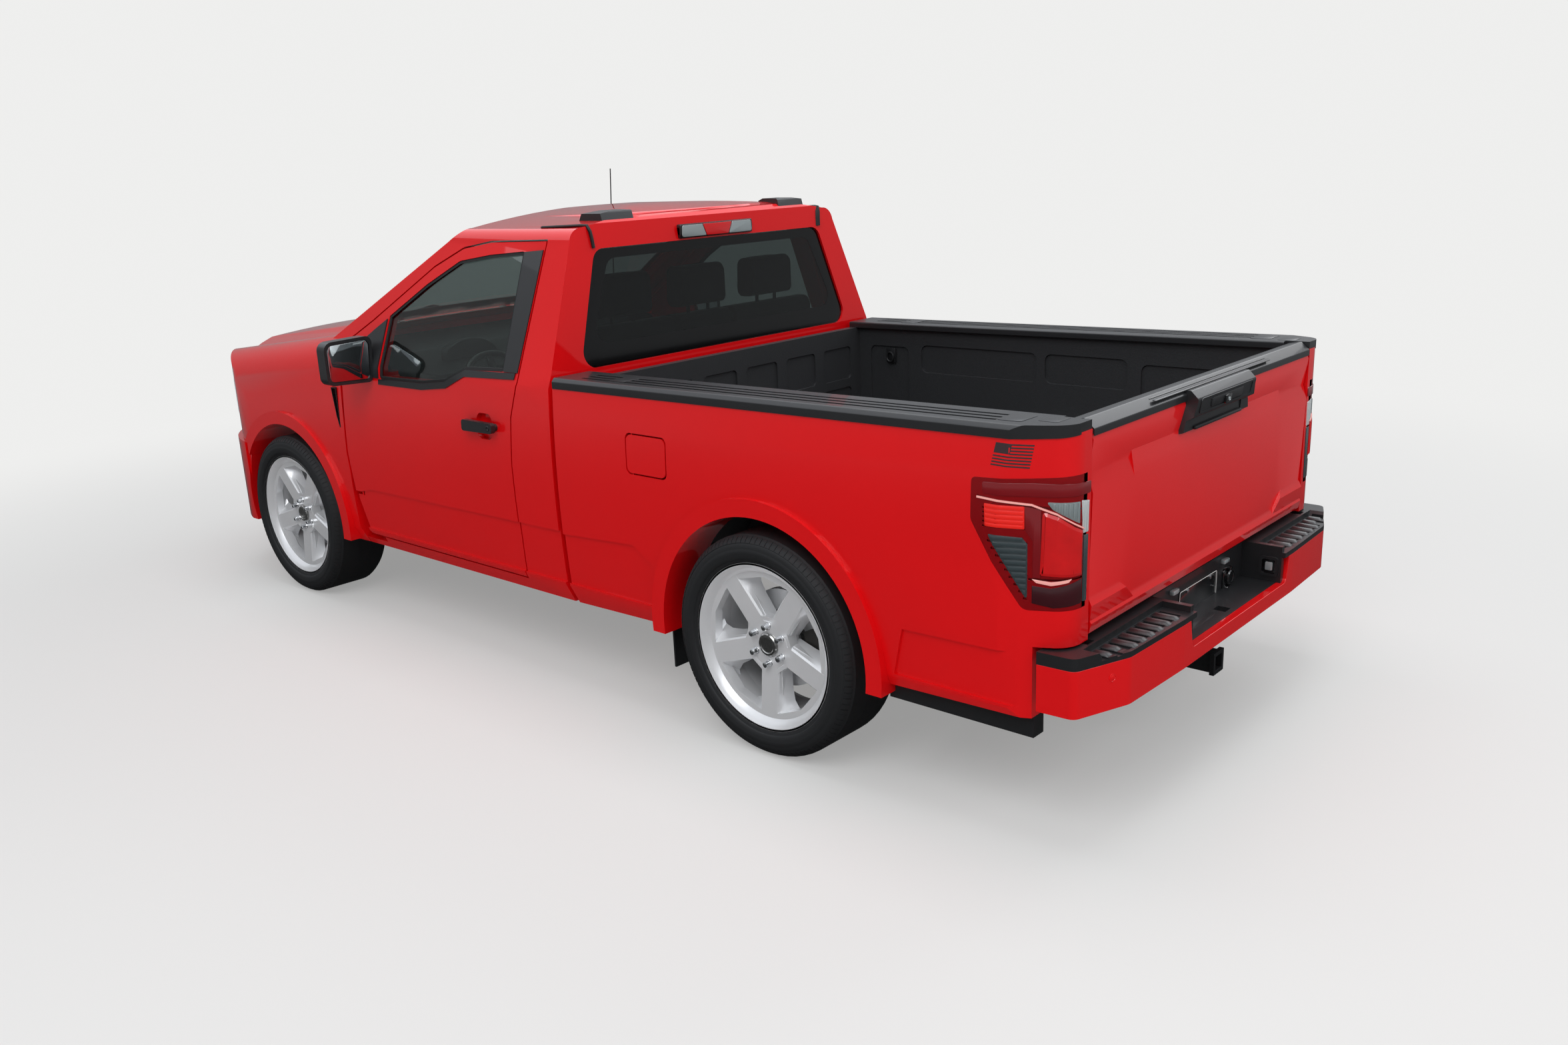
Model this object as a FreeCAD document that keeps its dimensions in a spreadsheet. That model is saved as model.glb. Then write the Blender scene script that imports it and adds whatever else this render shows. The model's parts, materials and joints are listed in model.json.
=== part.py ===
"""Regular-cab pickup truck with a short bed, lowered on 22-inch wheels.

Frame: millimetres, +Z up, the truck faces -Y, its left side is +X.
The origin is at ground level under the middle of the truck.
"""
import FreeCAD, Part
import math
import os
import Sketcher

# Driving dimensions: alias, value in mm (or degrees, or a count), meaning
SIZES = (
    ("front_overhang", 945, "front axle to the front bumper's nose"),
    ("wheelbase", 3119, "front axle to rear axle"),
    ("rear_overhang", 1247, "rear axle to the rear bumper's step edge"),
    ("half_width", 1000, "body half width at the waist, without the arch lips"),
    ("side_bow", 15, "waist line in to the belt line and to the sill's crease"),
    ("sill_tuck", 55, "waist line in to the sill's lower edge"),
    ("sill_height", 340, "ground to the sill's lower edge"),
    ("sill_crease", 80, "sill's lower edge up to its crease"),
    ("waist_height", 780, "ground to the widest line of the body side"),
    ("belt_height", 1190, "ground to the belt line"),
    ("greenhouse", 642, "belt line to the crown of the roof"),
    ("roof_crown", 64, "rise of the roof from its side rail to its crown"),
    ("roof_tuck", 280, "waist line in to the roof's side edge"),
    ("tumblehome", 0.38, "inward lean of the side glass, mm a mm of height"),
    ("shut_gap", 7, "gap round a door, the hood and the tailgate"),
    ("door_length", 1255, "door's front shut line to its rear one"),
    ("fender_tail", 120, "front arch to the door's front shut line"),
    ("door_wall", 110, "thickness of the door below the glass"),
    ("frame_wall", 48, "thickness of the pillars and the door's glass frame"),
    ("mount_gap", 18, "rubber mounts between the frame and the cab floor"),
    ("floor_wall", 40, "thickness of the cab floor"),
    ("back_wall", 60, "thickness of the cab's rear wall"),
    ("pillar_length", 240, "door's rear shut line to the back of the cab"),
    ("glass_inset", 10, "depth of the glass under the body's skin"),
    ("glass_wall", 5, "thickness of the glass"),
    ("screen_slope", 0.53, "rise of the windshield, mm a mm"),
    ("screen_bow", 120, "bow of the windshield's base in plan"),
    ("screen_tuck", 150, "waist line in to the end of the windshield's bow"),
    ("screen_lead", 240, "door's front shut line on to the middle of the windshield's base"),
    ("cowl_rise", 102, "belt line to the windshield's base"),
    ("bed_gap", 25, "gap between cab and bed"),
    ("rail_over", 22, "belt line to the top of the bed side at its front"),
    ("rail_rise", 24, "rise of the bed side's top from front to rear"),
    ("bed_side_wall", 178, "waist line in to the bed's inner wall"),
    ("bed_skin", 14, "thickness of the bed's inner walls"),
    ("bed_mount", 50, "raised rear frame up to the bed floor"),
    ("bed_front_wall", 45, "thickness of the bed's front wall"),
    ("house_width", 180, "width of a wheel housing inside the bed"),
    ("house_room", 25, "housing's wheel room beyond the arch"),
    ("cap_wall", 26, "thickness of the plastic rail caps"),
    ("cap_width", 190, "width of the plastic rail caps"),
    ("gate_wall", 75, "thickness of the tailgate"),
    ("lamp_width", 188, "waist line in to the tailgate's edge"),
    ("gate_over_step", 18, "bumper's step up to the tailgate's lower edge"),
    ("gate_over", 46, "belt line up to the tailgate's upper edge"),
    ("gate_pin", 10, "radius of the tailgate's pivot pins"),
    ("bumper_reach", 125, "tailgate's face to the edge of the bumper's step"),
    ("bumper_tuck", 28, "waist line in to the rear bumper's end"),
    ("bumper_top", 612, "ground to the top of the bumper's step"),
    ("bumper_foot", 428, "ground to the rear bumper's lower edge"),
    ("step_wall", 38, "depth of the black step over the painted bumper"),
    ("step_notch", 380, "half width of the low middle step"),
    ("tyre_radius", 395, "radius of the tyre"),
    ("tyre_width", 285, "section width of the tyre"),
    ("rim_radius", 279, "bead seat radius of a 22-inch rim"),
    ("rim_half", 128, "half width of the rim over its lips"),
    ("rim_lip", 20, "height of the rim's lip over the bead seat"),
    ("rim_wall", 10, "thickness of the rim's barrel"),
    ("hub_offset", 32, "wheel's middle out to its mounting face"),
    ("hub_radius", 88, "radius of the wheel's hub pad"),
    ("hub_bore", 36, "radius of the hub's bore"),
    ("bore_depth", 38, "depth of the hub's bore"),
    ("spoke_wall", 44, "thickness of a spoke"),
    ("spoke_width", 70, "width of a spoke's flat face"),
    ("spoke_count", 5, "number of spokes"),
    ("lug_count", 6, "number of lug nuts"),
    ("lug_circle", 67.5, "radius of the lug circle"),
    ("lug_radius", 11, "radius of a lug nut"),
    ("wheel_track", 1745, "left wheel's middle to the right one's"),
    ("arch_room", 65, "wheel arch radius over the tyre's"),
    ("flare_width", 62, "width of the arch lip"),
    ("flare_out", 14, "arch lip's stand over the body side"),
    ("disc_radius", 175, "radius of a brake disc"),
    ("disc_wall", 28, "thickness of a brake disc"),
    ("run_fit", 0.05, "radial clearance of a pin or shaft"),
    ("seat_gap", 0.3, "gap between curved faces of two pieces"),
    ("rail_half", 420, "centre line to the middle of a frame rail"),
    ("frame_height", 150, "height of a frame rail"),
    ("frame_width", 80, "width of a frame rail"),
    ("frame_foot", 362, "ground to the frame rail's lower edge"),
    ("kick_up", 140, "rise of the frame over the rear axle"),
    ("kingpin_offset", 82.5, "wheel's middle in to its steering axis"),
    ("pin_radius", 12, "radius of a ball joint's pin"),
    ("hinge_back", 60, "door's front edge to its hinge axis"),
    ("hinge_inset", 15, "waist line in to the door's hinge axis"),
    ("hinge_pin", 4, "radius of a door's hinge pin"),
    ("hood_wall", 40, "thickness of the hood"),
    ("fender_width", 255, "waist line in to the hood's side edge"),
    ("seat_width", 520, "width of an outer seat"),
    ("steer_radius", 190, "radius of the steering wheel's rim"),
    ("steer_tilt", 25, "lean of the steering column from the level, degrees"),
    ("fuel_flap", 150, "side of the fuel flap"),
    ("receiver_bore", 50.8, "opening of the square hitch receiver"),
    ("hitch_height", 290, "ground to the middle of the hitch receiver"),
    ("mirror_width", 225, "mirror's housing from its inner end to its outer"),
)


class Size(float):
    """A number that remembers the expression it comes from."""

    def __new__(cls, value, text):
        size = super().__new__(cls, value)
        size.text = text
        return size

    def joined(self, other, sign, value, swapped=False):
        left, right = (text_of(other), self.text) if swapped else (self.text, text_of(other))
        return Size(value, f"({left} {sign} {right})")

    def __add__(self, other):
        return self.joined(other, "+", float(self) + float(other))

    __radd__ = __add__

    def __sub__(self, other):
        return self.joined(other, "-", float(self) - float(other))

    def __rsub__(self, other):
        return self.joined(other, "-", float(other) - float(self), True)

    def __mul__(self, other):
        return self.joined(other, "*", float(self) * float(other))

    __rmul__ = __mul__

    def __truediv__(self, other):
        return self.joined(other, "/", float(self) / float(other))

    def __neg__(self):
        return Size(-float(self), f"(-1 * {self.text})")


def text_of(value):
    """The expression of a size, or a plain number as text."""
    return getattr(value, "text", f"{float(value):.6g}")


class Sizes:
    """The sheet's values by name, as attributes."""

    def __init__(self, table):
        for name, value, _ in table:
            setattr(self, name, Size(value, f"Sizes.{name}"))


doc = FreeCAD.newDocument("PickupTruck")
sheet = doc.addObject("Spreadsheet::Sheet", "Sizes")
for row, (alias, value, meaning) in enumerate(SIZES, start=1):
    sheet.set(f"A{row}", meaning)
    sheet.set(f"B{row}", str(value))
    sheet.setAlias(f"B{row}", alias)
doc.recompute()
S = Sizes(SIZES)
S.shoulder_half = S.half_width - S.side_bow
S.sill_half = S.half_width - S.sill_tuck
S.roof_half = S.half_width - S.roof_tuck
S.screen_half = S.half_width - S.screen_tuck
S.hood_half = S.half_width - S.fender_width
S.bed_half = S.half_width - S.bed_side_wall
S.house_half = S.bed_half - S.house_width
S.gate_half = S.half_width - S.lamp_width
S.bumper_half = S.half_width - S.bumper_tuck
S.kingpin_half = S.wheel_track / 2 - S.kingpin_offset
S.roof_height = S.belt_height + S.greenhouse
S.cowl_height = S.belt_height + S.cowl_rise
S.rail_height = S.belt_height + S.rail_over
S.gate_top = S.belt_height + S.gate_over
S.gate_foot = S.bumper_top + S.gate_over_step
S.frame_top = S.frame_foot + S.frame_height
S.floor_height = S.frame_top + S.mount_gap + S.floor_wall
S.bed_floor = S.frame_top + S.kick_up - 10 + S.bed_mount

# Stations along the truck, front to rear
front_end = -(S.front_overhang + S.wheelbase + S.rear_overhang) / 2
front_axle = front_end + S.front_overhang
rear_axle = front_axle + S.wheelbase
tail_end = rear_axle + S.rear_overhang
arch_radius = S.tyre_radius + S.arch_room
house_radius = arch_radius + S.house_room
door_front = front_axle + arch_radius + S.fender_tail
door_rear = door_front + S.door_length
cab_back = door_rear + S.pillar_length
bed_front = cab_back + S.bed_gap
gate_face = tail_end - S.bumper_reach
gate_inner = gate_face - S.gate_wall
bed_rear = gate_inner - 12
screen_base = door_front - S.screen_lead
wheel_x = S.wheel_track / 2
NODES = {}
# Half length, top and half width of a cutting block that reaches past the truck
LONG, HIGH = 3000, 2000
WIDE = S.half_width + 100
# Where cuts in the body's side start, inside the walls that they pass
cut_in, edge_in, pane_in = S.half_width - 100, S.half_width - 400, S.half_width - 500


class Via(tuple):
    """A point that an arc passes through on its way to the next point."""


def vec(x, y, z):
    return FreeCAD.Vector(float(x), float(y), float(z))


AXIS = {"X": vec(1, 0, 0), "Y": vec(0, 1, 0), "Z": vec(0, 0, 1)}
SIDES = (("left", 1), ("right", -1))


def place(u, v, normal, at):
    """A point of an outline drawn square to an axis."""
    return {"X": vec(at, u, v), "Y": vec(u, at, v), "Z": vec(u, v, at)}[normal]


def corner(before, point, after):
    """Start, middle and end of the arc that rounds a corner (u, v, radius)."""
    u, v, radius = point
    ends = []
    for other in (before, after):
        run = math.hypot(other[0] - u, other[1] - v)
        ends.append(((other[0] - u) / run, (other[1] - v) / run, run))
    (au, av, a_run), (bu, bv, b_run) = ends
    half = math.acos(max(-1, min(1, au * bu + av * bv))) / 2
    back = min(radius / math.tan(half), 0.45 * min(a_run, b_run))
    radius = back * math.tan(half)
    mu, mv = au + bu, av + bv
    run = math.hypot(mu, mv)
    deep = (radius / math.sin(half) - radius) / run
    return ((u + au * back, v + av * back), (u + mu * deep, v + mv * deep),
            (u + bu * back, v + bv * back))


def outline(points, normal="X", at=0.0):
    """Closed wire through (u, v), (u, v, corner radius) and Via points."""
    solid = [(i, p) for i, p in enumerate(points) if not isinstance(p, Via)]
    count = len(solid)
    joints = []
    for k, (_, point) in enumerate(solid):
        if len(point) == 3 and point[2] > 0:
            joints.append(corner(solid[k - 1][1], point, solid[(k + 1) % count][1]))
        else:
            joints.append((point[:2], None, point[:2]))
    edges = []
    for k, (i, _) in enumerate(solid):
        start, middle, end = joints[k]
        if middle:
            arc = [place(*p, normal, at) for p in (start, middle, end)]
            edges.append(Part.Arc(*arc).toShape())
        follow = points[(i + 1) % len(points)]
        goal = joints[(k + 1) % count][0]
        here, there = place(*end, normal, at), place(*goal, normal, at)
        if isinstance(follow, Via):
            edges.append(Part.Arc(here, place(*follow, normal, at), there).toShape())
        elif here.distanceToPoint(there) > 1e-4:
            edges.append(Part.LineSegment(here, there).toShape())
    return Part.Wire(edges)


def prism(points, normal, start, end):
    """An outline square to an axis, pushed from one station to another."""
    face = Part.Face(outline(points, normal, start))
    return face.extrude(AXIS[normal] * float(end - start))


def box(x, y, z):
    """A block between two stations on each axis."""
    return Part.makeBox(float(x[1] - x[0]), float(y[1] - y[0]), float(z[1] - z[0]),
                        vec(x[0], y[0], z[0]))


def rod(start, end, radius):
    """A round bar from point to point."""
    run = vec(*end) - vec(*start)
    return Part.makeCylinder(float(radius), run.Length, vec(*start), run)


def mirrored(points):
    """An outline's right half (u > 0, bottom to top) with its left half added."""
    back = []
    for point in reversed(points):
        turned = (-point[0],) + tuple(point[1:])
        if point[0] == 0:
            continue
        back.append(Via(turned) if isinstance(point, Via) else turned)
    return list(points) + back


def flip(shape):
    """The same shape on the truck's other side."""
    return shape.mirror(vec(0, 0, 0), vec(1, 0, 0))


def both(shape):
    """A shape and its mirror image as solids of one node."""
    return Part.makeCompound(list(shape.Solids) + list(flip(shape).Solids))


def largest(shape):
    """The main solid of a shape, without slivers that a cut leaves."""
    return max(shape.Solids, key=lambda solid: solid.Volume)


def inset(points, gap):
    """An outline of straight runs drawn smaller by a gap."""
    area = sum(a[0] * b[1] - b[0] * a[1] for a, b in zip(points, points[1:] + points[:1]))
    turn = 1 if area > 0 else -1
    smaller = []
    count = len(points)
    for k, point in enumerate(points):
        before, after = points[k - 1], points[(k + 1) % count]
        lines = []
        for a, b in ((before, point), (point, after)):
            du, dv = b[0] - a[0], b[1] - a[1]
            run = math.hypot(du, dv)
            lines.append((-dv / run * turn, du / run * turn))
        (au, av), (bu, bv) = lines
        scale = float(gap) / (1 + au * bu + av * bv)
        moved = (point[0] + (au + bu) * scale, point[1] + (av + bv) * scale)
        smaller.append(moved + tuple(point[2:]))
    return smaller


def keep(name, shape, body=None):
    """Put a finished sub-part into the document under its own label."""
    node = body
    if node is None:
        node = doc.addObject("Part::Feature", name)
        node.Shape = shape.removeSplitter() if len(shape.Solids) == 1 else shape
    node.Label = name
    NODES[name] = node
    return node


def bound(kind, name, **sizes):
    """A primitive whose sizes are bound to the sheet."""
    part = doc.addObject(kind, name)
    for prop, size in sizes.items():
        part.setExpression(prop.replace("At", "Placement.Base."), text_of(size))
    return part


# Body side: one section for cab, doors, fenders and bed

def arc_through(low, middle, high):
    """Centre and radius of the arc through three points (x, z)."""
    (ax, ay), (bx, by), (cx, cy) = low, middle, high
    d = 2 * (ax * (by - cy) + bx * (cy - ay) + cx * (ay - by))
    a, b, c = ax * ax + ay * ay, bx * bx + by * by, cx * cx + cy * cy
    x = (a * (by - cy) + b * (cy - ay) + c * (ay - by)) / d
    z = (a * (cx - bx) + b * (ax - cx) + c * (bx - ax)) / d
    return x, z, math.hypot(ax - x, ay - z)


SIDE_ARC = arc_through((S.shoulder_half, S.sill_height + S.sill_crease),
                       (S.half_width, S.waist_height), (S.shoulder_half, S.belt_height))


def skin(z):
    """Distance from the centre line to the body's skin at a height."""
    if z > S.belt_height:
        return S.shoulder_half - S.tumblehome * (z - S.belt_height)
    if z < S.sill_height + S.sill_crease:
        share = (S.sill_height + S.sill_crease - z) / S.sill_crease
        return S.shoulder_half - (S.shoulder_half - S.sill_half) * share
    x, mid, radius = SIDE_ARC
    return x + math.sqrt(radius ** 2 - (z - mid) ** 2)


def side_points(inward=0):
    """Right-hand outline of the body side from the sill to the belt."""
    crease = S.sill_height + S.sill_crease
    return [(S.sill_half - inward, S.sill_height), (S.shoulder_half - inward, crease),
            Via((S.half_width - inward, S.waist_height)),
            (S.shoulder_half - inward, S.belt_height)]


def cab_section(inward=0):
    """Section of the cab square to its length, drawn smaller by an inset."""
    top = S.roof_height - S.roof_crown - 53
    lean = S.shoulder_half - S.tumblehome * (top - S.belt_height)
    rail = S.roof_height - S.roof_crown
    return mirrored(side_points(inward) + [
        (lean - inward, top), Via((lean - 20 - inward, top + 38 - inward * 0.6)),
        (S.roof_half - inward, rail - inward), Via((0, S.roof_height - inward))])


def cab_profile(inward=0):
    """Side view of the cab's rear and roof, open past its front."""
    belt = S.belt_height + 50
    top = S.roof_height - 32
    far = door_front - 700
    return [(far, S.sill_height - 20), (cab_back - inward, S.sill_height - 20),
            (cab_back - inward, belt), (cab_back - 52 - inward, top - 20 - inward),
            (cab_back - 80 - inward, top - inward),
            Via((door_rear - 230, S.roof_height + 2 - inward)),
            (door_front + 610, top + 6 - inward), (far, top - 60 - inward)]


def screen_block(inward=0):
    """What lies behind the windshield's surface, which leans and bows."""
    foot, rise = S.cowl_height, 700
    middle = screen_base + inward * 2.1
    side = middle + S.screen_bow
    plan = [(S.screen_half, side), (S.screen_half + 260, side + 75),
            (S.screen_half + 260, side + 4000), (-S.screen_half - 260, side + 4000),
            (-S.screen_half - 260, side + 75), (-S.screen_half, side), Via((0, middle))]
    face = Part.Face(outline(plan, "Z", foot))
    return face.extrude(vec(0, rise / S.screen_slope, rise))


def cab_upper(inward=0):
    """The cab's outer form above the cowl, drawn smaller by an inset."""
    block = prism(cab_section(inward), "Y", door_front - 600, cab_back + 50)
    block = block.common(prism(cab_profile(inward), "X", -WIDE, WIDE))
    return block.common(screen_block(inward))


FIRE_WALL = 45
fire_wall = door_front - 170
below = box((-WIDE, WIDE), (door_front, cab_back + 60), (0, S.cowl_height + 1))
below = below.fuse(box((-S.hood_half, S.hood_half), (fire_wall, door_front),
                       (S.floor_height - S.floor_wall, S.cowl_height + 1)))
cab_lower = prism(cab_section(), "Y", door_front - 600, cab_back + 50)
cab_lower = cab_lower.common(prism(cab_profile(), "X", -WIDE, WIDE)).common(below)
cab_solid = cab_lower.fuse(cab_upper())

# Door: a plug whose rear face is drafted, so that it swings free of the pillar
DOOR_DRAFT = 0.2
DOOR_OUT, DOOR_IN = S.half_width + 60, S.roof_half - 120
# Front, lower and upper edges of the door: y, z, corner radius
DOOR_EDGE = [
    (door_front + 70, S.sill_height + 55, 25),
    (door_front + 15, S.sill_height + 220, 0),
    (door_front - 8, S.waist_height, 0),
    (door_front + 8, S.belt_height - 103, 0),
    (door_front, S.belt_height + 82, 25),
    (door_front + 211, S.belt_height + 197, 0),
    (door_front + 597, S.belt_height + 429, 60),
    (door_front + 780, S.roof_height - 136, 80),
    (door_front + 960, S.roof_height - 110, 0),
    (door_rear + 400, S.roof_height - 96, 0),
    (door_rear + 400, S.sill_height + 55, 0),
]
# Rear edge of the door where it meets the skin: y, z
DOOR_BACK = [
    (door_rear + 66, S.roof_height), (door_rear + 50, S.belt_height + 12),
    (door_rear + 4, S.belt_height - 128), (door_rear - 12, S.waist_height + 90),
    (door_rear - 8, S.sill_height + 230), (door_rear - 20, S.sill_height),
]


def door_plug(gap=0):
    """Everything of the left side that the door's shut lines enclose."""
    plug = prism(inset(DOOR_EDGE, gap), "X", DOOR_IN, DOOR_OUT)
    back = [(y + DOOR_DRAFT * (DOOR_IN - skin(z)), z) for y, z in DOOR_BACK]
    back += [(door_front - 300, S.sill_height), (door_front - 300, S.roof_height)]
    deep = DOOR_OUT - DOOR_IN
    face = Part.Face(outline(inset(back, gap), "X", DOOR_IN))
    return plug.common(face.extrude(vec(deep, DOOR_DRAFT * deep, 0)))


def inner_side(inward):
    """What lies inside the door: the cabin, the sill and the hinge post."""
    half = S.half_width - S.door_wall - inward
    low = box((-half, half), (-LONG, LONG), (0, S.belt_height - 25))
    high = prism(cab_section(S.frame_wall + inward), "Y", -LONG, LONG)
    return low.fuse(high.common(box((-WIDE, WIDE), (-LONG, LONG), (S.belt_height - 26, LONG))))


# Glass openings: y, z, corner radius for the side, x, z, radius for front and rear
SIDE_GLASS = (
    (door_rear - 50, S.belt_height + 45, 12), (door_rear - 295, S.belt_height + 35, 60),
    (door_rear - 430, S.belt_height - 22, 60), (door_rear - 600, S.belt_height - 42, 60),
    (door_rear - 925, S.belt_height - 48, 15), (door_front + 335, S.belt_height + 217, 10),
    (door_front + 565, S.belt_height + 353, 40), (door_front + 772, S.roof_height - 190, 60),
    (door_front + 968, S.roof_height - 164, 30), (door_rear - 65, S.roof_height - 148, 12),
)
REAR_GLASS = ((S.half_width - 182, S.belt_height + 49, 60),
              (S.half_width - 331, S.roof_height - 146, 60))
FRONT_GLASS = ((S.half_width - 210, S.cowl_height + 38, 70),
               (S.half_width - 345, S.roof_height - 84, 70))


def glass_outline(points, gap=0):
    """A front or rear glass outline from its two right-hand corners."""
    return inset(mirrored(list(points)), gap)


side_hole = prism(list(SIDE_GLASS), "X", pane_in, WIDE + 100)
rear_hole = prism(glass_outline(REAR_GLASS), "Y", cab_back - 300, cab_back + 100)
front_hole = prism(glass_outline(FRONT_GLASS), "Y", screen_base - 200, door_front + 800)

# Cab: shell with floor, firewall, roof, posts and sills
TUNNEL_HALF, TUNNEL_WALL = 190, 20
half_room = S.half_width - S.door_wall
POST_WIDE = 54
rocker_in = half_room - 60
post = box((rocker_in, rocker_in + POST_WIDE), (door_front - 60, door_front + 110),
           (S.floor_height - 10, S.belt_height + 20))
room_low = box((-half_room, half_room), (fire_wall + FIRE_WALL, cab_back - S.back_wall),
               (S.floor_height, S.cowl_height))
room_low = room_low.common(inner_side(0)).cut(post).cut(flip(post))
room_high = prism(cab_section(S.frame_wall), "Y", fire_wall, cab_back)
room_high = room_high.common(prism(cab_profile(S.frame_wall), "X", -WIDE, WIDE))
room_high = room_high.common(screen_block(S.frame_wall).fuse(
    box((-700, 700), (fire_wall + FIRE_WALL, cab_back), (S.belt_height - 30, S.cowl_height + 1))))
room_high = room_high.common(box((-WIDE, WIDE), (-LONG, LONG), (S.belt_height - 30, LONG)))
under_floor = box((-rocker_in, rocker_in), (-LONG, LONG), (0, S.floor_height - S.floor_wall))
tunnel_y = (fire_wall, front_axle + 1170)
tunnel_top = S.floor_height + 170
tunnel = box((-TUNNEL_HALF, TUNNEL_HALF), tunnel_y, (S.floor_height - S.floor_wall, tunnel_top))
tunnel_room = box((-TUNNEL_HALF + TUNNEL_WALL, TUNNEL_HALF - TUNNEL_WALL),
                  (fire_wall - 10, tunnel_y[1] - TUNNEL_WALL), (0, tunnel_top - TUNNEL_WALL))
cab = cab_solid.cut(room_low.fuse(room_high)).cut(under_floor).fuse(tunnel).cut(tunnel_room)
arch_cut = rod((300, front_axle, S.tyre_radius), (WIDE, front_axle, S.tyre_radius), arch_radius)
cab = cab.cut(arch_cut).cut(flip(arch_cut))
door_hole = door_plug().cut(box((0, half_room - 6), (-LONG, LONG), (0, S.floor_height))).cut(post)
for hole in (door_hole, flip(door_hole), rear_hole, front_hole):
    cab = cab.cut(hole)

# Door hinges: pins in the door turn in the leaves of the hinge post
hinge_x = S.half_width - S.hinge_inset
hinge_y = door_front + S.hinge_back
HINGE_HEIGHTS = (S.sill_height + 290, S.belt_height - 215)
HINGE_HALF, LEAF_HALF, BARREL = 45, 20, 8
HOOD_PIN, MOUNT_PUCK = 6, 34
# Room behind the door's inner front corner as the door swings
SWING_ROOM = 6
swing_reach = math.hypot(hinge_x - half_room, S.hinge_back + 8 - S.shut_gap) + SWING_ROOM
for x in (hinge_x, -hinge_x):
    cab = cab.cut(rod((x, hinge_y, S.sill_height + 30), (x, hinge_y, S.belt_height + 30), swing_reach))


def hinge_leaf(height):
    """A leaf from the hinge post to its barrel round the pin."""
    z = (height - LEAF_HALF, height + LEAF_HALF)
    leaf = box((half_room - 30, hinge_x), (hinge_y - 5, hinge_y + 5), z)
    leaf = leaf.fuse(rod((hinge_x, hinge_y, z[0]), (hinge_x, hinge_y, z[1]), BARREL))
    return leaf.cut(rod((hinge_x, hinge_y, z[0] - 5), (hinge_x, hinge_y, z[1] + 5),
                        S.hinge_pin + S.run_fit))


def hinge_pocket(height):
    """The pocket in the door's front edge that the leaf swings in."""
    y = (door_front - 60, hinge_y + BARREL + 6)
    return box((half_room - 60, hinge_x + BARREL + 0.5), y,
               (height - HINGE_HALF, height + HINGE_HALF))


door = cab_solid.common(door_plug(S.shut_gap)).cut(inner_side(0))
door = door.cut(side_hole)
lower_recess = prism([(door_front - 200, S.sill_height + 265), (door_front + 60, S.sill_height + 262),
                      (door_front + 150, S.sill_height + 283), (cab_back + 60, S.sill_height + 303),
                      (cab_back + 60, S.sill_height + 90), (door_front - 200, S.sill_height + 90)],
                     "X", cut_in, WIDE)
lower_recess = lower_recess.cut(prism(cab_section(9), "Y", -LONG, LONG))
door = door.cut(lower_recess)
cab = cab.cut(lower_recess).cut(flip(lower_recess))
for height in HINGE_HEIGHTS:
    door = door.cut(hinge_pocket(height))
    pin = rod((hinge_x, hinge_y, height - HINGE_HALF - 4), (hinge_x, hinge_y, height + HINGE_HALF + 4),
              S.hinge_pin)
    door = door.fuse(pin)
    leaf = hinge_leaf(height)
    cab = cab.fuse(leaf).fuse(flip(leaf))
hood_pin_y, hood_pin_z = door_front - 200, S.cowl_height - 26
arm_x = (S.hood_half - 60, S.hood_half - 48)
bracket = box((arm_x[1] + 6, arm_x[1] + 16), (hood_pin_y - 14, fire_wall + 1),
              (hood_pin_z - 14, hood_pin_z + 14))
bracket = bracket.fuse(rod((arm_x[0] - 3, hood_pin_y, hood_pin_z), (arm_x[1] + 7, hood_pin_y, hood_pin_z),
                           HOOD_PIN))
cab = cab.fuse(bracket).fuse(flip(bracket))
for y in (door_front + 90, door_rear - 120):
    for x in (S.rail_half, -S.rail_half):
        cab = cab.fuse(rod((x, y, S.frame_top), (x, y, S.floor_height - S.floor_wall), MOUNT_PUCK))
striker = rod((half_room + 55, door_rear - 20, S.waist_height + 60),
              (half_room + 55, door_rear + 90, S.waist_height + 60), 7)
striker = striker.cut(door_plug(S.shut_gap - S.seat_gap))
cab = cab.fuse(striker).fuse(flip(striker))
# Floor pan, tunnel and firewall are a panel of their own between the rockers
floor_zone = box((-rocker_in, rocker_in), (fire_wall - 60, cab_back - S.back_wall), (0, S.floor_height))
floor_zone = floor_zone.fuse(box((-TUNNEL_HALF, TUNNEL_HALF), tunnel_y, (0, tunnel_top)))
floor_zone = floor_zone.fuse(box((-S.hood_half, S.hood_half), (fire_wall - 60, fire_wall + FIRE_WALL),
                                 (0, S.cowl_height - 40)))
keep("cab_floor", cab.common(floor_zone))
keep("cab_shell", cab.cut(floor_zone))

# Dish behind the door handle, drawn in the side view
handle_y, handle_z = door_rear - 186, S.belt_height - 176
dish = prism([(handle_y - 40, handle_z - 55, 30), (handle_y + 60, handle_z - 55, 30),
              (handle_y + 60, handle_z + 50, 30), (handle_y - 40, handle_z + 50, 30)], "X", cut_in, WIDE)
dish = dish.cut(prism(cab_section(22), "Y", -LONG, LONG))
door = largest(door.cut(dish))
for side, sign in SIDES:
    keep(f"door_{side}", door if sign > 0 else flip(door))


def side_slab(points, outer, inner, start=pane_in):
    """A plate that follows the left side's skin between two insets."""
    plate = prism(points, "X", start, WIDE + 200)
    plate = plate.common(prism(cab_section(outer), "Y", -LONG, LONG))
    return plate.cut(prism(cab_section(inner), "Y", -LONG, LONG))


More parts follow.
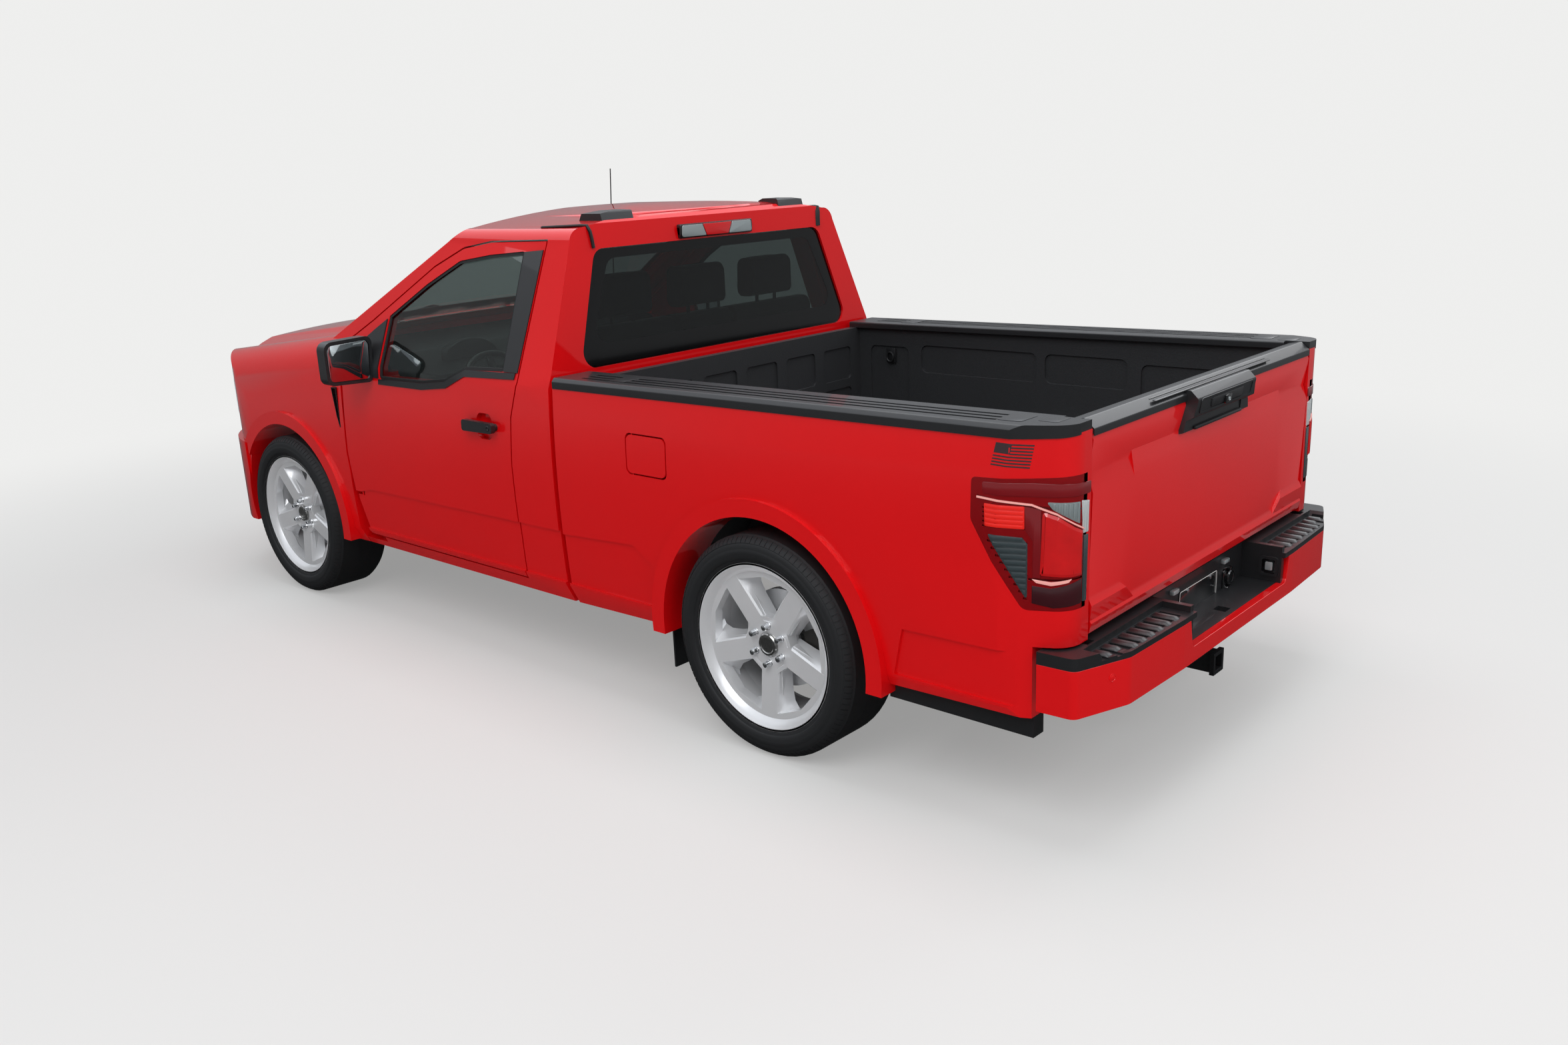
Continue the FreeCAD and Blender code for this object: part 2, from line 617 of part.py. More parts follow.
# Glass panes
glass_in = S.glass_inset + S.glass_wall
side_pane = side_slab(inset(list(SIDE_GLASS), 0.4), S.glass_inset, glass_in)
front_pane = cab_upper(S.glass_inset).cut(screen_block(glass_in))
front_pane = front_pane.common(prism(glass_outline(FRONT_GLASS, 0.4), "Y", -LONG, door_front + 800))
rear_slab = prism(cab_profile(S.glass_inset), "X", -cut_in, cut_in)
rear_slab = rear_slab.cut(prism(cab_profile(glass_in), "X", -cut_in, cut_in))
rear_pane = rear_slab.common(prism(glass_outline(REAR_GLASS, 0.4), "Y", cab_back - 200, cab_back + 50))
for side, sign in SIDES:
    keep(f"side_glass_{side}", side_pane if sign > 0 else flip(side_pane))
keep("windshield", front_pane)
keep("rear_window", rear_pane)

# Mirror, sail, belt moulding, pillar trim and door handle
sail = side_slab([(door_rear - 932, S.belt_height - 44), (door_rear - 928, S.belt_height + 205),
                  (door_rear - 1010, S.belt_height + 158), (door_rear - 1150, S.belt_height + 70),
                  (door_rear - 1160, S.belt_height - 40)], -6, -S.seat_gap)
mirror_in = skin(S.belt_height + 40) + 8
head = [(mirror_in + 10, S.belt_height - 62, 26), (mirror_in + S.mirror_width, S.belt_height - 52, 34),
        (mirror_in + S.mirror_width, S.belt_height + 132, 40),
        (mirror_in - 6, S.belt_height + 140, 30)]
mirror_y = door_rear - 975
shell = prism(head, "Y", mirror_y - 60, mirror_y)
nose = prism(inset(head, 26), "Y", mirror_y - 95, mirror_y - 60)
stalk = box((mirror_in - 40, mirror_in + 40), (mirror_y - 70, mirror_y - 20),
            (S.belt_height - 30, S.belt_height + 30))
mirror = shell.fuse(nose).cut(prism(inset(head, 12), "Y", mirror_y - 8, mirror_y + 1))
mirror = mirror.fuse(stalk).cut(prism(cab_section(-3), "Y", -LONG, LONG)).fuse(sail)
belt = side_slab([(door_rear + 26, S.belt_height + 22), (door_rear + 28, S.belt_height + 46),
                  (door_rear - 298, S.belt_height + 36), (door_rear - 433, S.belt_height - 21),
                  (door_rear - 600, S.belt_height - 41), (door_rear - 929, S.belt_height - 47),
                  (door_rear - 932, S.belt_height - 70), (door_rear - 600, S.belt_height - 67),
                  (door_rear - 428, S.belt_height - 47), (door_rear - 296, S.belt_height + 10)],
                 -5, -S.seat_gap)
trim = side_slab([(door_rear - 62, S.roof_height - 150), (door_rear - 48, S.belt_height + 47),
                  (door_rear + 40, S.belt_height + 47), (door_rear + 50, S.roof_height - 142)],
                 -5, -S.seat_gap)
grip = [(handle_y - 100, handle_z - 24, 12), (handle_y + 100, handle_z - 20, 12),
        (handle_y + 100, handle_z + 20, 12), (handle_y - 100, handle_z + 22, 12)]
strap = side_slab(grip, -34, -14, cut_in)
for reach in (-82, 82):
    foot = rod((cut_in, handle_y + reach, handle_z), (skin(handle_z) + 24, handle_y + reach, handle_z), 15)
    strap = strap.fuse(foot.cut(prism(cab_section(-S.seat_gap), "Y", -LONG, LONG)))
for side, sign in SIDES:
    pieces = Part.makeCompound([mirror, belt.fuse(trim), strap])
    keep(f"door_trim_{side}", pieces if sign > 0 else flip(pieces))

# Nose: one master for fenders, hood, lamps and bumper, falling towards the front
FALL = 0.1225
nose_length = door_front - front_end + 60
hood_top = S.cowl_height + 96
nose_section = mirrored([
    (S.sill_half, S.sill_height - 80), (S.sill_half, S.sill_height),
    (S.shoulder_half, S.sill_height + S.sill_crease), Via((S.half_width, S.waist_height)),
    (S.shoulder_half - 2, S.belt_height - 20), Via((S.shoulder_half - 55, S.belt_height + 80)),
    (S.hood_half + 20, S.cowl_height + 16), (S.hood_half - 90, S.cowl_height + 22),
    (S.hood_half - 165, S.cowl_height + 60), Via((0, hood_top))])
nose_face = Part.Face(outline(nose_section, "Y", door_front - S.shut_gap))
nose_mass = nose_face.extrude(vec(0, -nose_length, -nose_length * FALL))
face_y = front_end + 55
nose_plan = mirrored([(S.half_width + 40, door_front), (S.half_width + 5, front_axle - 180),
                      Via((S.half_width - 38, front_axle - 520)), (S.half_width - 160, face_y + 165),
                      Via((S.half_width - 260, face_y + 85)), (S.half_width - 400, face_y + 45),
                      Via((0, face_y))])
nose_side = [(door_front, S.sill_height - 90), (face_y + 10, S.sill_height - 90),
             (face_y, S.belt_height - 140), Via((face_y + 90, S.belt_height + 10)),
             (face_y + 330, S.belt_height + 92), (door_front - 100, hood_top + 40),
             (door_front, hood_top + 40)]
nose_mass = nose_mass.common(prism(nose_plan, "Z", 0, HIGH))
nose_mass = nose_mass.common(prism(nose_side, "X", -WIDE, WIDE))

hood_plan = mirrored([(S.hood_half, door_front - 235), (S.hood_half + 40, front_axle - 380, 60),
                      (S.hood_half - 30, face_y + 90, 80), (S.hood_half - 200, face_y - 20)])
hood_plan.append(Via((0, door_front - 320)))
HOOD_FOOT, HOOD_LIP = 130, 32
hood_zone = prism(hood_plan, "Z", S.belt_height - HOOD_FOOT, HIGH)
drop = nose_mass.copy()
drop.translate(vec(0, HOOD_LIP, -S.hood_wall))
hood = nose_mass.common(hood_zone).cut(drop)
hood_cut = prism([(S.hood_half + 7, door_front - 200), (S.hood_half + 47, front_axle - 380, 60),
                  (S.hood_half - 23, face_y + 84, 80), (S.hood_half - 195, face_y - 60),
                  (-S.hood_half + 195, face_y - 60), (-S.hood_half + 23, face_y + 84, 80),
                  (-S.hood_half - 47, front_axle - 380, 60), (-S.hood_half - 7, door_front - 200)],
                 "Z", S.belt_height - HOOD_FOOT - S.shut_gap, HIGH)

# Hood hinge: an arm of the hood on a pin of the firewall
arm_view = [(hood_pin_y - 16, hood_pin_z - 16), (hood_pin_y + 14, hood_pin_z - 16),
            (hood_pin_y + 14, hood_pin_z + 12), (hood_pin_y - 60, hood_pin_z + 22),
            (hood_pin_y - 150, hood_pin_z + 34), (hood_pin_y - 150, hood_pin_z - 20)]
gooseneck = prism(arm_view, "X", arm_x[0], arm_x[1]).common(drop.fuse(nose_mass))
gooseneck = gooseneck.cut(rod((0, hood_pin_y, hood_pin_z), (WIDE, hood_pin_y, hood_pin_z),
                              HOOD_PIN + S.run_fit))
hood = hood.fuse(gooseneck).fuse(flip(gooseneck))
keep("hood", hood)

fender = nose_mass.common(box((S.hood_half + 55, WIDE), (face_y + 120, door_front), (0, HIGH)))
fender_low = S.belt_height - HOOD_FOOT - S.shut_gap + 1
for reach, y in ((60, (face_y + 60, front_axle - 300)), (20, (front_axle - 301, door_front))):
    edge = box((S.hood_half - reach, S.hood_half + 56), y, (fender_low, HIGH))
    fender = fender.fuse(nose_mass.common(edge))
fender = fender.cut(hood_cut).cut(cab_solid).cut(
    prism(inset(DOOR_EDGE, -S.shut_gap), "X", edge_in, WIDE))
liner = rod((S.hood_half - 115, front_axle, S.tyre_radius),
            (S.hood_half + 70, front_axle, S.tyre_radius), house_radius)
liner = liner.cut(box((0, WIDE), (-LONG, LONG), (-500, S.tyre_radius - 20)))
fender = fender.common(box((0, WIDE), (-LONG, LONG), (S.sill_height, HIGH)))
fender = fender.fuse(liner).cut(arch_cut).cut(cab_solid)
flare = rod((S.half_width - 70, front_axle, S.tyre_radius),
            (S.half_width + S.flare_out, front_axle, S.tyre_radius), arch_radius + S.flare_width)
flare = flare.common(box((0, WIDE), (face_y, door_front - S.shut_gap), (S.sill_height + 10, HIGH)))
fender = fender.fuse(flare).cut(arch_cut)
vent = prism([(door_front - 82, S.belt_height - 112), (door_front - 40, S.belt_height - 112),
              (door_front - 36, S.belt_height - 330, 8), (door_front - 62, S.belt_height - 250)],
             "X", S.half_width - 22, WIDE)
fender = fender.cut(vent)

# Lamps, grille and front bumper
grille_half = S.hood_half - 150
lamp_zone = [(grille_half, S.belt_height - 142), (S.half_width, S.belt_height - 132),
             (S.half_width, S.belt_height - 395, 30), (grille_half, S.belt_height - 395, 30)]
lamp_box = prism(lamp_zone, "Y", face_y - 100, face_y + 300)
headlight = nose_mass.common(prism(inset(lamp_zone, 0.5), "Y", face_y - 100, face_y + 290))
core = nose_mass.copy()
core.translate(vec(0, 85, 0))
headlight = headlight.cut(core.common(box((0, S.half_width - 60), (-LONG, LONG), (0, HIGH))))
headlight = headlight.cut(hood_cut).cut(arch_cut)
# Two square lenses stand in a sunk field inside the lamp's frame
LAMP_FRAME, LAMP_SINK, LENS_X, LENS_WIDE = 34, 14, (40, 150), 84
sunk_face = nose_mass.copy()
sunk_face.translate(vec(-LAMP_SINK, LAMP_SINK, 0))
lamp_field = prism(inset(lamp_zone, LAMP_FRAME), "Y", face_y - 100, face_y + 200)
for reach in LENS_X:
    lens_x = (grille_half + reach, grille_half + reach + LENS_WIDE)
    lamp_field = lamp_field.cut(box(lens_x, (-LONG, 0), (S.belt_height - 345, S.belt_height - 190)))
headlight = headlight.cut(lamp_field.cut(sunk_face))
bumper_zone = box((-WIDE, WIDE), (front_end - 10, front_axle - 380), (0, S.belt_height - 470))
bumper_mass = nose_mass.common(bumper_zone)
forward = bumper_mass.copy()
forward.translate(vec(0, -(face_y - front_end), 0))
bumper = bumper_mass.fuse(forward)
hollow = nose_mass.copy()
hollow.translate(vec(0, 70, 0))
bumper = bumper.cut(hollow.common(box((-S.half_width + 120, S.half_width - 120), (-LONG, LONG),
                                      (0, HIGH))))
MOUTH_HALF, MOUTH_LOW, MOUTH_HIGH = 430, 40, 190
bumper = bumper.cut(box((-MOUTH_HALF, MOUTH_HALF), (front_end - 50, face_y + 200),
                        (S.sill_height + MOUTH_LOW, S.sill_height + MOUTH_HIGH)))
# Sunk fields for the fog lamps, and the line between the bumper's bar and its chin
FOG_X, FOG_Z, FOG_SINK = (560, 740), (62, 168), 22
sunk_bar = bumper_mass.copy()
sunk_bar.translate(vec(0, FOG_SINK - (face_y - front_end), 0))
fog = prism([(FOG_X[0], S.sill_height + FOG_Z[0], 20), (FOG_X[1], S.sill_height + FOG_Z[0], 20),
             (FOG_X[1] - 20, S.sill_height + FOG_Z[1], 20), (FOG_X[0], S.sill_height + FOG_Z[1], 20)],
            "Y", front_end - 50, face_y + 200).cut(sunk_bar)
bumper = bumper.cut(fog).cut(flip(fog))
bumper = bumper.cut(arch_cut).cut(flip(arch_cut))
for x in (-S.rail_half, S.rail_half):
    bumper = bumper.fuse(box((x - S.frame_width / 2, x + S.frame_width / 2), (face_y + 50, front_end + 200),
                             (S.frame_foot + 30, S.frame_top - 10)))
bumper = bumper.cut(box((-WIDE, WIDE), (-LONG, LONG), (0, S.sill_height - 40)))
keep("front_bumper", bumper)
fender = fender.cut(lamp_box).cut(box((0, WIDE), (-LONG, front_axle - 378), (0, S.belt_height - 467)))
keep("fenders", both(fender))
keep("headlights", both(headlight))

grille_z = (S.belt_height - 470, S.belt_height - 95)
under_lamp = (grille_z[0], S.belt_height - 396)
grille_zone = box((-grille_half + 1, grille_half - 1), (face_y - 60, face_y + 160), grille_z)
grille_zone = grille_zone.fuse(box((-S.hood_half - 54, S.hood_half + 54),
                                   (face_y - 60, face_y + 300), under_lamp))
grille_back = nose_mass.copy()
grille_back.translate(vec(0, 60, 0))
frame = nose_mass.common(grille_zone).cut(grille_back)
mouth = (grille_z[0] + 28, grille_z[1] - 84)
opening = prism([(grille_half - 30, mouth[0], 20), (grille_half - 30, mouth[1], 20),
                 (-grille_half + 30, mouth[1], 20), (-grille_half + 30, mouth[0], 20)],
                "Y", face_y - 100, face_y + 200)
GRILLE_BARS = 3
pitch = (mouth[1] - mouth[0]) / (GRILLE_BARS + 1)
for k in range(1, GRILLE_BARS + 1):
    middle = mouth[0] + pitch * k
    opening = opening.cut(box((-WIDE, WIDE), (-LONG, 0), (middle - 13, middle + 13)))
grille = frame.cut(opening)
radiator = box((-grille_half + 20, grille_half - 20), (face_y + 58, face_y + 150),
               (grille_z[0] + 2, mouth[1] + 20))
grille = grille.fuse(radiator).cut(hood_cut)
keep("grille", grille)

# Cowl panel between hood and windshield
cowl_half = S.hood_half - 22
cowl_plan = mirrored([(cowl_half, fire_wall + 60), (cowl_half, door_front - 228)])
cowl_plan = [cowl_plan[0], cowl_plan[1], Via((0, door_front - 311)), cowl_plan[2], cowl_plan[3]]
cowl = prism(cowl_plan, "Z", S.cowl_height - 60, S.cowl_height - 2)
cowl = cowl.cut(cab_solid).cut(front_pane)
for sign in (1, -1):
    slot_x = sorted((sign * (arm_x[0] - 8), sign * (arm_x[1] + 18)))
    cowl = cowl.cut(box(slot_x, (-LONG, fire_wall), (0, HIGH)))
keep("cowl", largest(cowl))

# Bed side: outer skin with arch, lip, lamp corner and fuel flap
bed_section = [(S.bed_half + S.bed_skin, S.sill_height), (S.sill_half, S.sill_height),
               (S.shoulder_half, S.sill_height + S.sill_crease), Via((S.half_width, S.waist_height)),
               (S.shoulder_half, S.belt_height), (S.shoulder_half - 6, S.rail_height + 60),
               (S.bed_half + S.bed_skin, S.rail_height + 60)]
bed_mass = prism(bed_section, "Y", bed_front, gate_face)
# Plan of the bed's rear corner: two arcs from the side round to the tail
bed_plan = [(0, bed_front), (S.half_width + 30, bed_front), (S.half_width + 30, gate_face - 420),
            Via((S.half_width - 6, gate_face - 190)), (S.shoulder_half - 45, gate_face - 55),
            Via((S.shoulder_half - 77, gate_face - 15.5)), (S.shoulder_half - 130, gate_face),
            (0, gate_face)]
bed_mass = bed_mass.common(prism(bed_plan, "Z", 0, HIGH))
bed_side_view = [(bed_front, S.sill_height), (gate_face + 10, S.sill_height + 60),
                 (gate_face + 10, S.rail_height + S.rail_rise), (bed_front, S.rail_height)]
bed_mass = bed_mass.common(prism(bed_side_view, "X", 0, WIDE))
# The bed side stops short of the bumper that wraps round its rear corner
BUMPER_GAP, WRAP_GAP = 6, 20
bumper_wrap = tail_end - 203
bed_mass = bed_mass.cut(box((0, WIDE), (bumper_wrap - WRAP_GAP, tail_end), (0, S.bumper_top + BUMPER_GAP)))
rear_arch = rod((S.house_half, rear_axle, S.tyre_radius), (WIDE, rear_axle, S.tyre_radius), arch_radius)
rear_flare = rod((S.half_width - 70, rear_axle, S.tyre_radius),
                 (S.half_width + S.flare_out, rear_axle, S.tyre_radius), arch_radius + S.flare_width)
rear_flare = rear_flare.common(box((0, WIDE), (bed_front, gate_face), (S.sill_height + 10, HIGH)))
tail_pillar = box((S.gate_half + S.shut_gap, S.bed_half + S.bed_skin + 1), (bed_rear, gate_face),
                  (S.bumper_top + BUMPER_GAP, S.rail_height + S.rail_rise))
bed_side = bed_mass.fuse(tail_pillar).fuse(rear_flare).cut(rear_arch)
bed_recess = prism([(bed_front - 50, S.sill_height + 290),
                    (rear_axle - arch_radius - 160, S.sill_height + 316),
                    (rear_axle - arch_radius - 60, S.sill_height + 250),
                    (rear_axle - arch_radius - 40, S.sill_height + 90),
                    (bed_front - 50, S.sill_height + 90)],
                   "X", cut_in, WIDE)
tail_recess = prism([(rear_axle + arch_radius + 90, S.sill_height + 90),
                     (rear_axle + arch_radius + 130, S.sill_height + 250),
                     (gate_face + 10, S.sill_height + 262), (gate_face + 10, S.sill_height + 90)],
                    "X", cut_in, WIDE)
deep_section = [(700, S.sill_height - 40), (S.sill_half - 9, S.sill_height - 40),
                (S.sill_half - 9, S.sill_height), (S.shoulder_half - 9, S.sill_height + S.sill_crease),
                Via((S.half_width - 9, S.waist_height)), (S.shoulder_half - 9, S.belt_height),
                (700, S.belt_height)]
deep = prism(deep_section, "Y", -LONG, LONG)
flare_keep = rod((cut_in, rear_axle, S.tyre_radius), (WIDE, rear_axle, S.tyre_radius),
                 arch_radius + S.flare_width)
bed_side = bed_side.cut(bed_recess.cut(deep).cut(flare_keep))
bed_side = bed_side.cut(tail_recess.cut(deep).cut(flare_keep))

# Tail lamp at the corner
lamp_view = [(gate_face - 282, S.belt_height - 89, 14), (gate_face + 30, S.belt_height - 70),
             (gate_face + 30, S.belt_height - 462), (gate_face - 125, S.belt_height - 462, 30),
             (gate_face - 282, S.belt_height - 212, 30)]
LAMP_DEEP = 46


def lamp_block(gap):
    """The corner of the bed side that the tail lamp fills, less a gap."""
    block = prism(inset(lamp_view, gap), "X", S.gate_half + S.shut_gap + 22 + gap, WIDE)
    core = box((0, S.shoulder_half - 60 - LAMP_DEEP + gap), (-LONG, gate_face - LAMP_DEEP + gap), (0, HIGH))
    return block.cut(core)


# Ribs of the lamp: y from and to, z from and to, number of grooves between them
LAMP_RIBS = (
    (gate_face - 242, gate_face - 121, S.belt_height - 226, S.belt_height - 160, 5),
    (gate_face - 226, gate_face - 113, S.belt_height - 430, S.belt_height - 248, 9),
)
GROOVE_DEEP = 4
taillight = bed_mass.common(lamp_block(S.seat_gap))
under_skin = bed_mass.copy()
under_skin.translate(vec(-GROOVE_DEEP, 0, 0))
for y_from, y_to, z_from, z_to, count in LAMP_RIBS:
    pitch = (z_to - z_from) / count
    for k in range(count):
        low = z_from + pitch * k
        start = max(y_from, lamp_view[3][0] - 0.63 * (low - lamp_view[3][1]) + 22)
        groove = box((cut_in, WIDE), (start, y_to), (low, low + pitch * 0.3))
        taillight = taillight.cut(groove.cut(under_skin))
lamp_slots = prism([(gate_face - 110, S.belt_height - 366), (gate_face + 40, S.belt_height - 366),
                    (gate_face + 40, S.belt_height - 372), (gate_face - 110, S.belt_height - 372)],
                   "X", S.gate_half + 50, WIDE)
lamp_slots = lamp_slots.fuse(prism([(gate_face - 260, S.belt_height - 138),
                                    (gate_face - 100, S.belt_height - 154),
                                    (gate_face + 40, S.belt_height - 172),
                                    (gate_face + 40, S.belt_height - 178),
                                    (gate_face - 100, S.belt_height - 160),
                                    (gate_face - 260, S.belt_height - 144)],
                                   "X", S.gate_half + 50, WIDE))
under_lens = bed_mass.copy()
under_lens.translate(vec(-GROOVE_DEEP, -GROOVE_DEEP, 0))
taillight = taillight.cut(lamp_slots.cut(under_lens))
bed_side = bed_side.cut(lamp_block(0))
keep("taillights", both(taillight))

# Fuel flap on the left side, with its pocket, hinge pins and filler neck
flap_y = (rear_axle - arch_radius - 160, rear_axle - arch_radius - 160 + S.fuel_flap * 1.4)
flap_z = (S.belt_height - 265, S.belt_height - 265 + S.fuel_flap)
flap_view = [(flap_y[0], flap_z[0], 24), (flap_y[1], flap_z[0], 24),
             (flap_y[1], flap_z[1], 24), (flap_y[0], flap_z[1], 24)]
FLAP_GAP, FLAP_WALL, FLAP_PIN, FLAP_BACK = 5.5, 8, 2, 26
flap = bed_mass.common(prism(inset(flap_view, FLAP_GAP), "X", cut_in, WIDE))
shrunk = bed_mass.copy()
shrunk.translate(vec(-FLAP_WALL, 0, 0))
flap = flap.cut(shrunk)
flap_axis = [(skin(z) - FLAP_WALL / 2, flap_y[0] + FLAP_GAP + FLAP_BACK, z) for z in flap_z]
low, high = (vec(*p) for p in flap_axis)
run = (high - low).normalize()
pin_line = Part.makeCylinder(FLAP_PIN, (high - low).Length + 16, low - run * 8, run)
flap_core = prism(inset(flap_view, FLAP_GAP + 4), "X", cut_in, WIDE)
flap = flap.fuse(pin_line.cut(flap_core))
keep("fuel_flap", flap)
pocket = prism(inset(flap_view, 0), "X", S.half_width - 70, WIDE)
pin_holes = Part.makeCylinder(FLAP_PIN + float(S.run_fit), (high - low).Length + 17, low - run * 8.5, run)
left_side = bed_side.cut(pocket).cut(pin_holes)
neck_y, neck_z = flap_y[1] - 95, (flap_z[0] + flap_z[1]) / 2
neck = rod((S.half_width - 72, neck_y, neck_z), (S.half_width - 36, neck_y, neck_z), 36)
left_side = left_side.fuse(neck)

# Bed box: floor with ribs, walls and wheel housings
bed_box = box((-S.bed_half - S.bed_skin, S.bed_half + S.bed_skin), (bed_front + 4, bed_rear),
              (S.bed_floor - 30, S.rail_height + S.rail_rise))
bed_box = bed_box.common(prism(bed_side_view, "X", -WIDE, WIDE))
bed_box = bed_box.cut(box((-S.bed_half, S.bed_half), (bed_front + S.bed_front_wall, bed_rear + 1),
                          (S.bed_floor, HIGH)))
RIB_PITCH, RIB_WIDE, RIB_DEEP = 120, 60, 12
rib = int((S.bed_half - 60) / RIB_PITCH)
for k in range(-rib, rib + 1):
    bed_box = bed_box.cut(box((k * RIB_PITCH - RIB_WIDE / 2, k * RIB_PITCH + RIB_WIDE / 2),
                              (bed_front + 140, bed_rear - 60), (S.bed_floor - RIB_DEEP, S.bed_floor + 1)))
# Panels pressed into the side walls: y from and to, z from and to, over the floor
LINER_PANELS = ((110, 330, 90, 440), (400, 1000, 330, 455), (1040, 1420, 330, 455), (1480, 1960, 120, 440))
PRESS_DEEP = 8
for y_from, y_to, z_from, z_to in LINER_PANELS:
    press = prism([(bed_front + y_from, S.bed_floor + z_from, 30),
                   (bed_front + y_to, S.bed_floor + z_from, 30),
                   (bed_front + y_to, S.bed_floor + z_to, 30),
                   (bed_front + y_from, S.bed_floor + z_to, 30)],
                  "X", S.bed_half - 1, S.bed_half + PRESS_DEEP)
    bed_box = bed_box.cut(press).cut(flip(press))
FRONT_PANELS, PANEL_PITCH, PANEL_WIDE = 6, 260, 200
for k in range(FRONT_PANELS):
    x = (k - (FRONT_PANELS - 1) / 2) * PANEL_PITCH
    for low, high in ((60, 250), (290, 440)):
        bed_box = bed_box.cut(prism([
            (x - PANEL_WIDE / 2, S.bed_floor + low, 20), (x + PANEL_WIDE / 2, S.bed_floor + low, 20),
            (x + PANEL_WIDE / 2, S.bed_floor + high, 20), (x - PANEL_WIDE / 2, S.bed_floor + high, 20)],
            "Y", bed_front + S.bed_front_wall - PRESS_DEEP, bed_front + S.bed_front_wall + 1))
house = rod((S.house_half, rear_axle, S.tyre_radius),
            (S.bed_half + S.bed_skin, rear_axle, S.tyre_radius), house_radius)
house = house.common(box((0, WIDE), (-LONG, LONG), (S.bed_floor - 30, HIGH)))
wheel_room = rod((S.house_half + 14, rear_axle, S.tyre_radius), (WIDE, rear_axle, S.tyre_radius),
                 arch_radius)
bed_box = bed_box.fuse(house).fuse(flip(house)).cut(wheel_room).cut(flip(wheel_room))
for y, foot in ((bed_front + 120, S.frame_top), (tail_end - 420, S.frame_top + S.kick_up - 10)):
    for x in (S.rail_half, -S.rail_half):
        bed_box = bed_box.fuse(rod((x, y, foot), (x, y, S.bed_floor - 30), MOUNT_PUCK))
keep("bed_box", bed_box)

# Rail caps with three long grooves, and the cap of the front wall
cap_out = S.shoulder_half + 3
cap_run = bed_rear - bed_front - 8
cap_section = [(cap_out - S.cap_width, 0), (cap_out, -14), (cap_out, 12, 8), (cap_out - 12, S.cap_wall, 8),
               (cap_out - S.cap_width, S.cap_wall, 8)]
cap_low = S.rail_height
cap_points = [(p[0], p[1] + cap_low) + tuple(p[2:]) for p in cap_section]
cap_face = Part.Face(outline(cap_points, "Y", bed_front + 4))
cap = cap_face.extrude(vec(0, gate_face - bed_front - 6, S.rail_rise))
cap = cap.cut(bed_mass.fuse(tail_pillar)).cut(bed_box)
cap = cap.common(prism([(0, bed_front), (S.half_width + 32, bed_front),
                        (S.half_width + 32, gate_face - 420),
                        Via((S.half_width - 3, gate_face - 190)), (S.shoulder_half - 42, gate_face - 53),
                        Via((S.shoulder_half - 74, gate_face - 13.5)), (S.shoulder_half - 130, gate_face),
                        (0, gate_face)], "Z", 0, HIGH))
GROOVES = 3
for k in range(GROOVES):
    x = cap_out - 60 - 36 * k
    groove = Part.Face(outline([(x, cap_low + S.cap_wall - 5), (x + 14, cap_low + S.cap_wall - 5),
                                (x + 14, cap_low + 60), (x, cap_low + 60)], "Y", bed_front + 120))
    cap = cap.cut(groove.extrude(vec(0, cap_run - 260, S.rail_rise * 0.88)))
cap = cap.cut(box((0, S.gate_half + S.shut_gap), (gate_inner - 14, gate_face + 50), (0, HIGH)))
keep("rail_caps", both(largest(cap)))

# Tailgate with its folded face, pins and cap
# Height of the crease near the foot, low in the middle and high at the ends
CREASE_LOW, CREASE_HIGH, CREASE_WIDE = 34, 88, 28
SHELF_FOOT, SHELF_TOP, BEVEL = 186, 132, 34
gate_view = [(gate_inner, S.gate_foot + 36), (gate_inner + 34, S.gate_foot),
             (gate_face - 2, S.gate_foot, 8), (gate_face + 6, S.gate_foot + CREASE_LOW),
             (gate_face - 8, S.gate_foot + CREASE_LOW + CREASE_WIDE),
             (gate_face + 2, S.gate_top - SHELF_FOOT), (gate_face - 13, S.gate_top - SHELF_TOP),
             (gate_face, S.gate_top - BEVEL), (gate_face - 13, S.gate_top), (gate_inner, S.gate_top)]
gate = prism(gate_view, "X", -S.gate_half, S.gate_half)
wing_side = prism([(gate_face - 20, S.gate_foot), (gate_face - 2, S.gate_foot, 8),
                   (gate_face + 6, S.gate_foot + CREASE_HIGH),
                   (gate_face - 8, S.gate_foot + CREASE_HIGH + CREASE_WIDE),
                   (gate_face - 20, S.gate_foot + CREASE_HIGH + CREASE_WIDE)], "X", 0, S.gate_half)
gate_wing = prism([(S.gate_half - 277, S.gate_foot), (S.gate_half - 277, S.gate_foot + CREASE_LOW),
                   (S.gate_half - 178, S.gate_foot + CREASE_HIGH + CREASE_WIDE),
                   (S.gate_half, S.gate_foot + CREASE_HIGH + CREASE_WIDE), (S.gate_half, S.gate_foot)],
                  "Y", gate_face - 20, gate_face + 10).common(wing_side)
shelf_rise = prism([(gate_inner + 20, S.gate_top - SHELF_FOOT), (gate_face + 2, S.gate_top - SHELF_FOOT),
                    (gate_face - 10, S.gate_top - SHELF_TOP + 20),
                    (gate_inner + 20, S.gate_top - SHELF_TOP + 20)],
                   "X", -S.gate_half + 250, S.gate_half - 250)
gate = gate.fuse(gate_wing).fuse(flip(gate_wing)).fuse(shelf_rise)
panel = box((-S.gate_half + 120, S.gate_half - 120), (gate_inner - 1, gate_inner + 8),
            (S.gate_foot + 90, S.gate_top - 90))
gate = gate.cut(panel)
gate_pin_y, gate_pin_z = gate_face - 26, S.gate_foot + 22
for s in (1, -1):
    ends = sorted((s * (S.gate_half - 20), s * (S.gate_half + 30)))
    gate = gate.fuse(rod((ends[0], gate_pin_y, gate_pin_z), (ends[1], gate_pin_y, gate_pin_z), S.gate_pin))
keep("tailgate", gate)
pin_bore = rod((S.gate_half, gate_pin_y, gate_pin_z), (S.gate_half + 32, gate_pin_y, gate_pin_z),
               S.gate_pin + S.run_fit)
